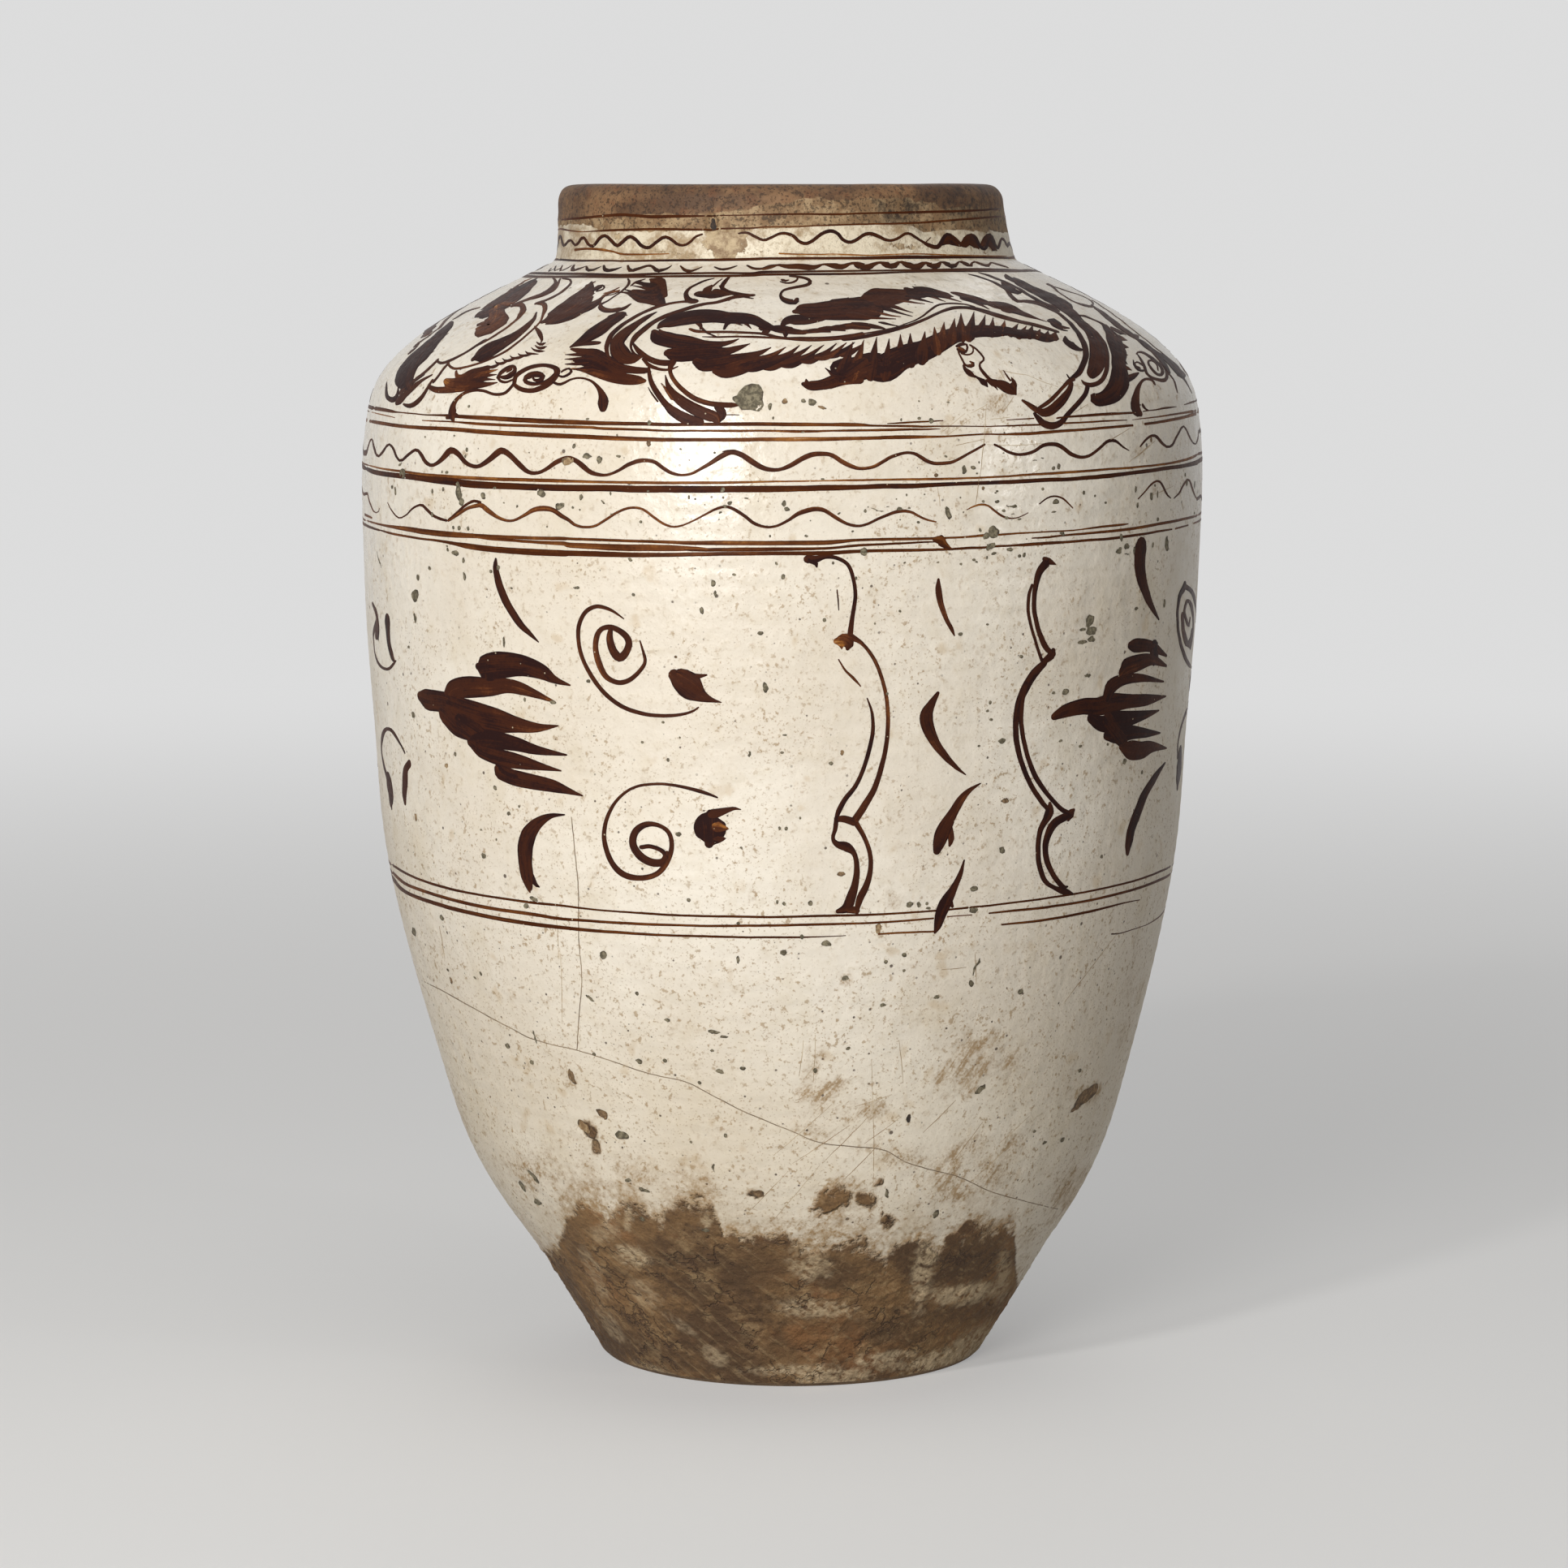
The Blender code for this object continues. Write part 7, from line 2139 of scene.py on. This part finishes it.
def plainClay(name, dark, pale, rough):  # a clay or dirt that clouds between two tones
    material, graph, shader, place = newMaterial(name)
    broad, fine = noisesOf(graph, place, plainNoises).values()
    tone = graph.mix(graph.rise(broad * 0.6 + fine * 0.4, 0.4, 0.6), linear(*dark), linear(*pale))
    bump = fine * plainRelief["fine"] + broad * plainRelief["broad"]
    setFinish(graph, shader, tone, (fine - 0.5) * 0.2 + rough, bump, 0.7)
    return material


# Brush paint, from where it is thickest to where the slip shows through; roughness and shine of all of it
paintLooks = {
    "darkest": (44, 26, 24),
    "chocolate": (66, 36, 25),
    "brown": (98, 56, 33),
    "golden": (154, 100, 48),
    "dry": (206, 188, 158),
    "bare": (206, 190, 160),
    "roughness": 0.36,
    "shine": 0.03,
}
linePaintLooks = {**paintLooks, "chocolate": (70, 36, 18), "brown": (104, 60, 30), "golden": (150, 98, 48)}
# The paint's streaks: scale along and across a stroke, and detail
paintStreaks = {"hairs": (22.0, 1500.0, 2.0), "ribbons": (24.0, 380.0, 3.0), "pools": (55.0, 110.0, 3.0)}
# How much each of them, the grain and the stroke itself change the amount of paint
paintUnevenness = {"ribbons": 1.2, "hairs": 0.9, "pools": 1.3, "grain": 0.5, "stroke": 0.3}
paintGathers = {"broad": 0.14, "edge": 0.14}  # how much more paint a broad stroke and a stroke's edge hold
barePits = {"dots": (230.0, 0.13, 0.35), "strength": 0.75}
# The amounts of paint between which it turns from the tone before into this one
paintLevels = {
    "golden": (-0.05, 0.2),
    "brown": (0.16, 0.44),
    "chocolate": (0.4, 0.74),
    "darkest": (0.8, 1.15),
}


def brushPaint(name, load, unevenness, looks):  # load: how full the brush is; unevenness: how it varies
    material, graph, shader, place = newMaterial(name)
    tones = screenTones(looks)
    across, along = graph.attribute("across"), graph.attribute("along")
    seed, dryness, broad = graph.attribute("seed"), graph.attribute("dryness"), graph.attribute("broadness")
    offset = seed * 37.0
    acrossReal = across * broad

    def streak(alongScale, acrossScale, detail):
        spot = {0: along * alongScale + offset, 1: acrossReal * acrossScale, 2: offset}
        return graph.noise(graph.node("ShaderNodeCombineXYZ", None, spot), 1.0, detail, 0.55)

    hairs, ribbons, pools = (streak(*values) for values in paintStreaks.values())
    grain = graph.noise(place, 600.0, 2.0, 0.6)
    edge = graph.maths("ABSOLUTE", across)
    uneven = (ribbons - 0.5) * paintUnevenness["ribbons"] + (hairs - 0.5) * paintUnevenness["hairs"]
    uneven = uneven + (pools - 0.5) * paintUnevenness["pools"] + (grain - 0.5) * paintUnevenness["grain"]
    amount = uneven * unevenness + load + (seed - 0.5) * paintUnevenness["stroke"]
    amount = amount + graph.rise(broad, 0.001, 0.005) * paintGathers["broad"]
    amount = amount + graph.rise(edge, 0.7, 0.95) * paintGathers["edge"] - dryness
    tone = tones["dry"]
    for key, (low, high) in paintLevels.items():
        tone = graph.mix(graph.rise(amount, low, high), tone, tones[key])
    tone = graph.mix(dots(graph, place, *barePits["dots"]) * barePits["strength"], tone, tones["bare"])
    bump = ribbons * 0.0001 + hairs * 0.00006 + graph.noise(place, 420.0, 2.0) * 0.0001
    bump = bump + graph.noise(place, 60.0, 2.0, 0.5) * 0.0008
    setFinish(graph, shader, tone, (grain - 0.5) * 0.3 + looks["roughness"], bump, 0.7)
    shader.inputs["Specular IOR Level"].default_value = looks["shine"]
    return material


# A chip's darker and paler tone for each kind of clay in it, then the painted shade along its rim
chipLooks = {
    "greyGreen": ((84, 76, 58), (132, 122, 98)),
    "brown": ((96, 74, 50), (138, 112, 80)),
    "dark": ((28, 20, 14), (54, 40, 28)),
    "ochre": ((126, 98, 66), (166, 142, 106)),
}
chipRimShade = (54, 42, 30)
# The tones of chipTones between which a chip turns from the clay before into this one
chipLevels = {"brown": (0.1, 0.3), "dark": (0.4, 0.5), "ochre": (0.55, 0.65)}


def chipClay():
    material, graph, shader, place = newMaterial("chip_clay")
    tone = graph.attribute("tone")
    fine = graph.noise(place, 500.0, 3.0, 0.65)
    shade = graph.rise(fine, 0.4, 0.62)
    clays = {key: graph.mix(shade, linear(*dark), linear(*pale)) for key, (dark, pale) in chipLooks.items()}
    colour = clays["greyGreen"]
    for key, (low, high) in chipLevels.items():
        colour = graph.mix(graph.rise(tone, low, high), colour, clays[key])
    # painted shade: the chip's rim is darkened as if it were the shadowed edge of a pit
    rim = graph.rise(graph.attribute("reach"), 0.55, 0.95)
    rim = rim * graph.rise(graph.noise(place, 240.0, 2.0), 0.4, 0.6)
    colour = graph.mix(rim * 0.85, colour, linear(*chipRimShade))
    setFinish(graph, shader, colour, 0.8, fine * 0.0005, 0.8)
    return material


finish = {
    "glaze": whiteGlaze(),
    "neck": scorchedNeck(),
    "inside": plainClay("inside_glaze", (38, 24, 17), (66, 42, 28), rough=0.35),
    "base": plainClay("bare_base_clay", (92, 72, 52), (128, 104, 78), rough=0.85),
    "paint": brushPaint("brown_brush_paint", load=0.84, unevenness=0.75, looks=paintLooks),
    "linePaint": brushPaint("brown_line_paint", load=0.58, unevenness=0.6, looks=linePaintLooks),
    "chip": chipClay(),
    "crack": plainClay("hairline_dirt", (104, 86, 66), (150, 130, 104), rough=0.7),
    "scratch": plainClay("scratch_dirt", (146, 118, 82), (198, 178, 146), rough=0.6),
}


def sectionEnd(height):  # a section's end at a seam: the groove, from outside to inside
    outer = float(np.interp(height * mm, lineHeight, lineRadius)) / mm
    inner = float(np.interp(height, insideLine[:, 1], insideLine[:, 0]))
    return keyed(outer, inner, height)


def dressed(made, node, outside):  # a thrown piece's finishes, body and node
    for key in (outside, "inside", "base"):
        made.data.materials.append(finish[key])
    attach(made, "root")
    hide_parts(node)
    print(made.name, "built")


# The thrown sections from the foot up, each with its slot; the foot ring's hidden outline and the neck's
# lip and bore, in millimetres
sectionSlots = {
    "foot_wall": "worn_foot_clay",
    "lower_wall": "white_slip_glaze",
    "upper_wall": "white_slip_glaze",
    "shoulder": "white_slip_glaze",
}
footRing = [(94, 18), (94, 4), (86, 4), (86, 0), (104, 0)]
neckRing = {"lipInside": 8.7, "bore": 103.0, "bottom": 600, "lipPoints": 9, "borePoints": 5}
baseDisc = {"radius": 93.7, "bottom": 4.3, "top": 18.0}

for index, (name, slot) in enumerate(sectionSlots.items()):
    low, high = jar["seams"][index : index + 2]
    ring = footRing if index == 0 else sectionEnd(low)[::-1]
    inside = insideBetween(footRing[0][1] if index == 0 else low, high)
    kinds = [1] * (3 + len(inside)) + [2] * len(ring) + [2]
    hidden = sectionEnd(high) + inside + ring
    made = thrownSection(index, name + "_glazed", hidden, (3, len(inside) - 1), kinds)
    dressed(made, name, "glaze")

lipTurn = np.linspace(0, math.pi / 2, neckRing["lipPoints"])[1:]
lipInside = line[-1] / mm + neckRing["lipInside"] * np.c_[-np.sin(lipTurn), np.cos(lipTurn) - 1]
boreHeights = np.linspace(lipInside[-1, 1], neckRing["bottom"], neckRing["borePoints"])[1:]
inside = [tuple(p) for p in lipInside.tolist()] + [(neckRing["bore"], float(z)) for z in boreHeights]
softStrips = len(inside) + 1
inside = inside + sectionEnd(neckRing["bottom"])[::-1]
kinds = [0] * len(lipTurn) + [1] * (len(inside) - len(lipTurn) + 1)
made = thrownSection(4, "neck_ring_slipped", inside, (-1, softStrips), kinds)
dressed(made, "neck_ring", "neck")

discProfile = np.array([(baseDisc["radius"], baseDisc[end]) for end in ("bottom", "top")]) * mm
rings = lathed(discProfile).reshape(-1, 3)
middles = [(float(leanAt(z)), 0.0, float(z)) for z in discProfile[:, 1]]
around = [(i, (i + 1) % columns) for i in range(columns)]
discFaces = [(i, after, columns + after, columns + i) for i, after in around]
discFaces += [(2 * columns, after, i) for i, after in around]
discFaces += [(2 * columns + 1, columns + i, columns + after) for i, after in around]
discMesh = bpy.data.meshes.new("base_disc_fired")
discMesh.from_pydata(rings.tolist() + middles, [], discFaces)
disc = added("base_disc_fired", discMesh)
discMesh.materials.append(finish["base"])
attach(disc, "root")
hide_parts("base_disc")
print(disc.name, "built")

sheet = layingSheet()
narrowSection = sectionObject("narrowSection", tops=3)
broadSection = sectionObject("broadSection", tops=9)
brushwork = brushGroup()


def drynessOf(line):  # where a stroke's paint is thin: one share for each of its points
    dry = np.zeros(len(line))
    for x, y, reach, share in thinPaint:
        away = np.hypot(line[:, 0] - x, line[:, 1] - y) / reach
        dry += share * (1 - smoothStep(away, *thinFades))
    return dry


bandStrokes = {}
for name, pieces in bandLines.items():
    for piece in pieces:
        photo = np.vstack([inPhoto(view, points) for view, points in piece])
        line = smoothLine(photo, bandLooks["step"])
        made = Stroke(line, dryness=drynessOf(line) + lineDrynessAndGlare.get(name, 0))
        bandStrokes.setdefault(name, []).append(made)
handStrokes = {}
for name, (view, drawn) in handDrawn.items():
    lines = [smoothLine(inPhoto(view, points), handLooks["step"]) for points in drawn]
    for line in lines:
        line[:, 2] *= handLooks["fullness"]
    handStrokes[name] = [Stroke(line, dryness=drynessOf(line)) for line in lines]
crackWide, crackStep = crackLooks["width"], crackLooks["step"]
crackStrokes = [Stroke(smoothLine([(x, y, crackWide) for x, y in line], crackStep)) for line in cracks]
scratchStrokes = []
bendX, bendY = scratchLooks["bend"]
for view, listed in scratches.items():
    for x0, y0, x1, y1 in listed:
        wide = scratchLooks["width"] * views[view][2]
        bent = (x0 + x1) / 2 + bendX * (y1 - y0), (y0 + y1) / 2 + bendY * (x1 - x0)
        points = inPhoto(view, [(x0, y0, wide / 2), (*bent, wide), (x1, y1, wide / 2)])
        scratchStrokes.append(Stroke(smoothLine(points, scratchLooks["step"])))
layFlat([stroke for listed in (*bandStrokes.values(), *handStrokes.values()) for stroke in listed])
layFlat(crackStrokes + scratchStrokes)
print("strokes read:", sum(map(len, bandStrokes.values())), "and", sum(map(len, handStrokes.values())))


def backStroke(piece, leaving, arriving, waveLength, seed):  # a line carried on round the back
    start, end = leaving.flat[-1], arriving.flat[0] + (1, 0)
    height = float(np.interp((start[1] + end[1]) / 2, lineFlat, lineHeight))
    length = end[0] - start[0]
    t = np.linspace(0, 1, round(length / flatLength(bandLooks["backStep"] * mm, height)))
    u = start[0] + length * t
    v = start[1] + (end[1] - start[1]) * t
    ends = np.clip(np.minimum(t, 1 - t) * backLines["fade"], 0, 1)
    drift = gridNoise(u, u * 0 + seed, cells=24, seed=seed) - 0.5
    v = v + drift * flatLength(backLines["drift"] * mm, height) * ends
    typical = np.median(np.r_[leaving.half, arriving.half])
    swelling = gridNoise(u, u * 0 + seed, cells=30, seed=seed + 1)
    half = typical * (backLines["thinnest"] + backLines["swelling"] * swelling)
    if waveLength:
        waves = round(length / flatLength(waveLength * mm, height))
        unsteady = backLines["unsteadiness"] * (gridNoise(u, u * 0 + seed, cells=20, seed=seed + 2) - 0.5)
        phase = 2 * math.pi * (waves * t + unsteady * ends)
        tall = backLines["waveHeights"][waveLength]
        v = v + np.sin(phase) * flatLength(tall * mm, height) * ends
        half = half * (1 - backLines["waveThinning"] * np.cos(phase) * ends)
    half = half * ends + (leaving.half[-3] * (1 - t) + arriving.half[2] * t) * (1 - ends)
    return Stroke(None, np.c_[u, v], half, lineDrynessAndGlare.get(piece, 0))


for order, (leaving, arriving, waveLength) in enumerate(roundTheBack):
    last, first = bandStrokes[leaving][-1], bandStrokes[arriving][0]
    back = backStroke(leaving, last, first, waveLength, backLines["seed"] + 3 * order)
    bandStrokes[leaving].append(back)

hiddenFrom, hiddenTo = 0.235, 0.765  # the turns between which the photograph doesn't show the wall


def copiesBehind(strokes, turns, reach=0.5):  # reach: how far from the front's middle strokes are taken
    made = []
    for turn in turns:
        for stroke in strokes:
            middle = (stroke.flat[:, 0].min() + stroke.flat[:, 0].max()) / 2
            near = abs((middle + 0.5) % 1 - 0.5) < reach
            if near and hiddenFrom < (middle + turn) % 1 < hiddenTo:
                made.append(stroke.turned(turn))
    return made


def copiedTwice(strokes, turn):  # each copy keeps to its own share of the turn
    return copiesBehind(strokes, [turn, 2 * turn], reach=turn / 2)


def groups(*names):  # the strokes of several lines or groups, in that order
    return [stroke for name in names for stroke in {**bandStrokes, **handStrokes}[name]]


# Behind the neck the dabs in the middle of the front come again and again
dabs = bandStrokes["dabs"]
firstDab, endDab = 3, 8
dabSpan = dabs[endDab].flat[0, 0] - dabs[firstDab].flat[0, 0]
backDabs = copiesBehind(dabs[firstDab:endDab], [dabSpan * k for k in range(1, 9)])
shoulderFront = groups(*[name for name in handDrawn if "Panel" not in name])
shoulderBack = copiedTwice(shoulderFront, turn=1 / 3)
panelFront = groups("leftPanel", "rightPanel")
panelBack = copiedTwice(panelFront, turn=140 / 360)
neckLines = groups("rimLine", "neckLine", "neckWave", "neckSmears", "neckBase", "dabLineTop", "dabLineLow")
shoulderLines = groups("shoulderLineA", "shoulderLineStub", "shoulderLineB", "shoulderLineC")
brushed = {
    "neck_brushwork": (neckLines + dabs + backDabs, "linePaint"),
    "shoulder_lines": (shoulderLines, "linePaint"),
    "middle_lines": (groups("middleThin", "middleThick"), "linePaint"),
    "belly_lines": (groups("bellyTop", "bellyMiddle", "bellyBottom", "bellyInner"), "linePaint"),
    "foot_lines": (groups("footThin", "footMiddle", "footLow"), "linePaint"),
    "wave_bands": (groups("upperWave", "upperWaveHook", "lowerWave"), "paint"),
    "leaf_brushwork_front": (shoulderFront, "paint"),
    "leaf_brushwork_back": (shoulderBack, "paint"),
    "panel_brushwork": (panelFront + panelBack, "paint"),
}


def broadEnough(stroke):  # whether a stroke gets the broad section
    height = float(np.interp(np.median(stroke.flat[:, 1]), lineFlat, lineHeight))
    return stroke.half.max() > flatLength(handLooks["broadFrom"] * mm, height)


def brushedOn(strokes, name, section, paint, looks, seed):  # strokes as one piece of brushwork on the wall
    inputs = {
        "Section": section,
        "Sheet": sheet,
        "Finish": finish[paint],
        "Thickness": looks["thickness"] * mm,
        "Wander": flatLength(looks["wander"] * mm, strokeEnds["beltHeight"]),
    }
    runGroup(drawingOf(name + "Drawing", strokes, seed), name, brushwork, inputs)


for seed, (name, (strokes, paint)) in enumerate(brushed.items(), start=100):
    looks = handLooks if paint == "paint" else bandLooks
    narrow = [stroke for stroke in strokes if not broadEnough(stroke)]
    broad = [stroke for stroke in strokes if broadEnough(stroke)]
    if narrow:
        brushedOn(narrow, name, narrowSection, paint, looks, seed)
    if broad:
        brushedOn(broad, name + "_broad", broadSection, paint, looks, seed)
brushedOn(crackStrokes, "hairline_cracks", narrowSection, "crack", crackLooks, seed=90)
brushedOn(scratchStrokes, "fine_scratches", narrowSection, "scratch", scratchLooks, seed=91)

# Chips: one small round patch, spread over the front's chips and their mirror images behind
chipLaying = {
    "seed": 5,
    "rings": (0.55, 1.0),
    "rounds": 16,
    "stray": 0.004,  # how far in turns a chip behind lies from its mirrored place
    "backSizes": (0.6, 1.3),
    "height": 0.12,  # above the wall in millimetres, with small lifts that keep chips apart
    "lift": 0.01,
    "lifts": 5,
    "raggedness": 1.3,
}
rng = np.random.default_rng(chipLaying["seed"])
rounds = chipLaying["rounds"]
patchPoints, patchReach = [(0.0, 0.0, 0.0)], [0.0]
for reach in chipLaying["rings"]:
    for k in range(rounds):
        angle = 2 * math.pi * k / rounds
        patchPoints.append((reach * math.cos(angle), reach * math.sin(angle), 0.0))
        patchReach.append(reach)
patchFaces = [(0, 1 + k, 1 + (k + 1) % rounds) for k in range(rounds)]
for k in range(rounds):
    after = (k + 1) % rounds
    patchFaces.append((1 + k, 1 + rounds + k, 1 + rounds + after, 1 + after))
patchMesh = bpy.data.meshes.new("chipPatch")
patchMesh.from_pydata(patchPoints, [], patchFaces)
store(patchMesh, "reach", patchReach)
store(patchMesh, "rise", [1 - reach for reach in patchReach])
patch = added("chipPatch", patchMesh)
solid = chipTable[:, 5] < solidTone
front, halves, tones, leaning = chipFlat[solid], chipHalf[solid], chipTable[solid, 5], chipTable[solid, 4]
mirrored = np.c_[0.5 - front[:, 0], front[:, 1]] + rng.normal(0, chipLaying["stray"], front.shape)
spots = np.vstack([front, mirrored])
count = len(spots)
chipDrawing = bpy.data.meshes.new("chipDrawing")
chipDrawing.from_pydata([(u % 1, v, 0.0) for u, v in spots.tolist()], [], [])
sizes = np.vstack([halves, halves * rng.uniform(*chipLaying["backSizes"], (len(halves), 1))])
store(chipDrawing, "size", np.c_[sizes, np.ones(count)], "FLOAT_VECTOR")
store(chipDrawing, "extent", sizes.max(1))
store(chipDrawing, "turn", np.r_[-leaning, leaning])
store(chipDrawing, "tone", np.r_[tones, tones])
lifts = np.arange(count) % chipLaying["lifts"]
store(chipDrawing, "level", chipLaying["height"] * mm + lifts * (chipLaying["lift"] * mm))
chipInputs = {"Patch": patch, "Sheet": sheet, "Finish": finish["chip"]}
chipInputs["Raggedness"] = chipLaying["raggedness"]
runGroup(added("chipDrawing", chipDrawing), "glaze_chips", chipGroup(), chipInputs)

for leftover in (sheet, narrowSection, broadSection, patch):
    bpy.data.objects.remove(leftover)

# The room: a pale floor, a pale grey surround as the camera sees it, and soft lamps
room = {
    "floorRadius": 9.0,
    "floorCorners": 96,
    "floorTone": (233, 231, 227),
    "floorRoughness": 0.7,
    "backdrop": 0.72,
    "surround": 0.1,
    "floorBounce": (150, 146, 140),
    "floorGlow": 0.4,
    "floorFades": (0.6, 4.0),  # from where to where, in metres, it turns into the backdrop
    "lampsAim": (0, 0, 0.35),
    "lamps": {
        "front": {"at": (-1.15, -3.1, 0.95), "size": 1.1, "watts": 66},
        "upperLeft": {"at": (-1.15, -2.2, 1.7), "size": 0.26, "watts": 25},
        "right": {"at": (2.3, -1.4, 0.72), "size": 0.3, "watts": 6},
        "overhead": {"at": (0.2, -0.4, 2.9), "size": 1.6, "watts": 10},
        "behind": {"at": (0.0, 2.6, 2.7), "size": 2.0, "watts": 12},
    },
}


def directRays(graph):  # 1 for what the camera, a mirror or a pane of glass sees, 0 for what lights the jar
    seen, mirrored, through = (graph.node("ShaderNodeLightPath", None, None, out=k) for k in (0, 3, 6))
    return graph.maths("MINIMUM", seen + mirrored + through, 1.0)


def makeFloor():  # lit like a floor near the jar, and as bright as the backdrop far from it
    material, graph, shader, place = newMaterial("pale_floor")
    white = graph.node("ShaderNodeEmission", None, {"Color": (1, 1, 1, 1), "Strength": room["backdrop"]})
    distance = graph.node("ShaderNodeVectorMath", {"operation": "LENGTH"}, {0: place}, out=1)
    direct = directRays(graph)
    tone = graph.mix(direct, linear(*room["floorBounce"]), linear(*room["floorTone"]))
    graph.plug(shader.inputs["Base Color"], tone)
    graph.plug(shader.inputs["Roughness"], room["floorRoughness"])
    far = graph.rise(distance, *room["floorFades"]) * (1 - room["floorGlow"]) + room["floorGlow"]
    lit = Wire(graph, shader.outputs[0])
    mixed = graph.node("ShaderNodeMixShader", None, {0: far * direct, 1: lit, 2: white})
    graph.plug(graph.tree.nodes["Material Output"].inputs[0], mixed)
    radius, corners = room["floorRadius"], room["floorCorners"]
    angles = [2 * math.pi * k / corners for k in range(corners)]
    mesh = bpy.data.meshes.new("floor")
    edge = [(radius * math.cos(a), radius * math.sin(a), 0.0) for a in angles]
    mesh.from_pydata(edge, [], [tuple(range(corners))])
    mesh.materials.append(material)
    added("floor", mesh)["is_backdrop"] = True


def makeSurround():
    world = bpy.data.worlds.new("surround")
    bpy.context.scene.world = world
    world.use_nodes = True
    graph = Graph(world.node_tree)
    background = world.node_tree.nodes["Background"]
    graph.plug(background.inputs["Color"], (1.0, 1.0, 1.0, 1.0))
    strength = directRays(graph) * (room["backdrop"] - room["surround"]) + room["surround"]
    graph.plug(background.inputs["Strength"], strength)


def makeLamps():
    for name, lamp in room["lamps"].items():
        data = bpy.data.lights.new(name, "AREA")
        data.shape = "DISK"
        data.size = lamp["size"]
        data.energy = lamp["watts"]
        made = bpy.data.objects.new(name, data)
        made.location = lamp["at"]
        away = Vector(lamp["at"]) - Vector(room["lampsAim"])
        made.rotation_euler = away.to_track_quat("Z", "Y").to_euler()
        made.visible_camera = False
        bpy.context.scene.collection.objects.link(made)


def makeCamera():
    data = bpy.data.cameras.new("photoCamera")
    data.lens = photoView["lens"]
    data.sensor_width = photoView["sensor"]
    camera = bpy.data.objects.new("photoCamera", data)
    camera.location = (0, -photoView["distance"], photoView["height"])
    camera.rotation_euler = (math.pi / 2 - photoView["lookDown"], 0, 0)
    bpy.context.scene.collection.objects.link(camera)
    bpy.context.scene.camera = camera


makeFloor()
makeSurround()
makeLamps()
makeCamera()
bpy.context.scene.view_settings.view_transform = "Standard"
print("room ready")

sizes = {"cad": [list(corner) for corner in cadBox], "visual": [list(corner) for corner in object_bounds()]}
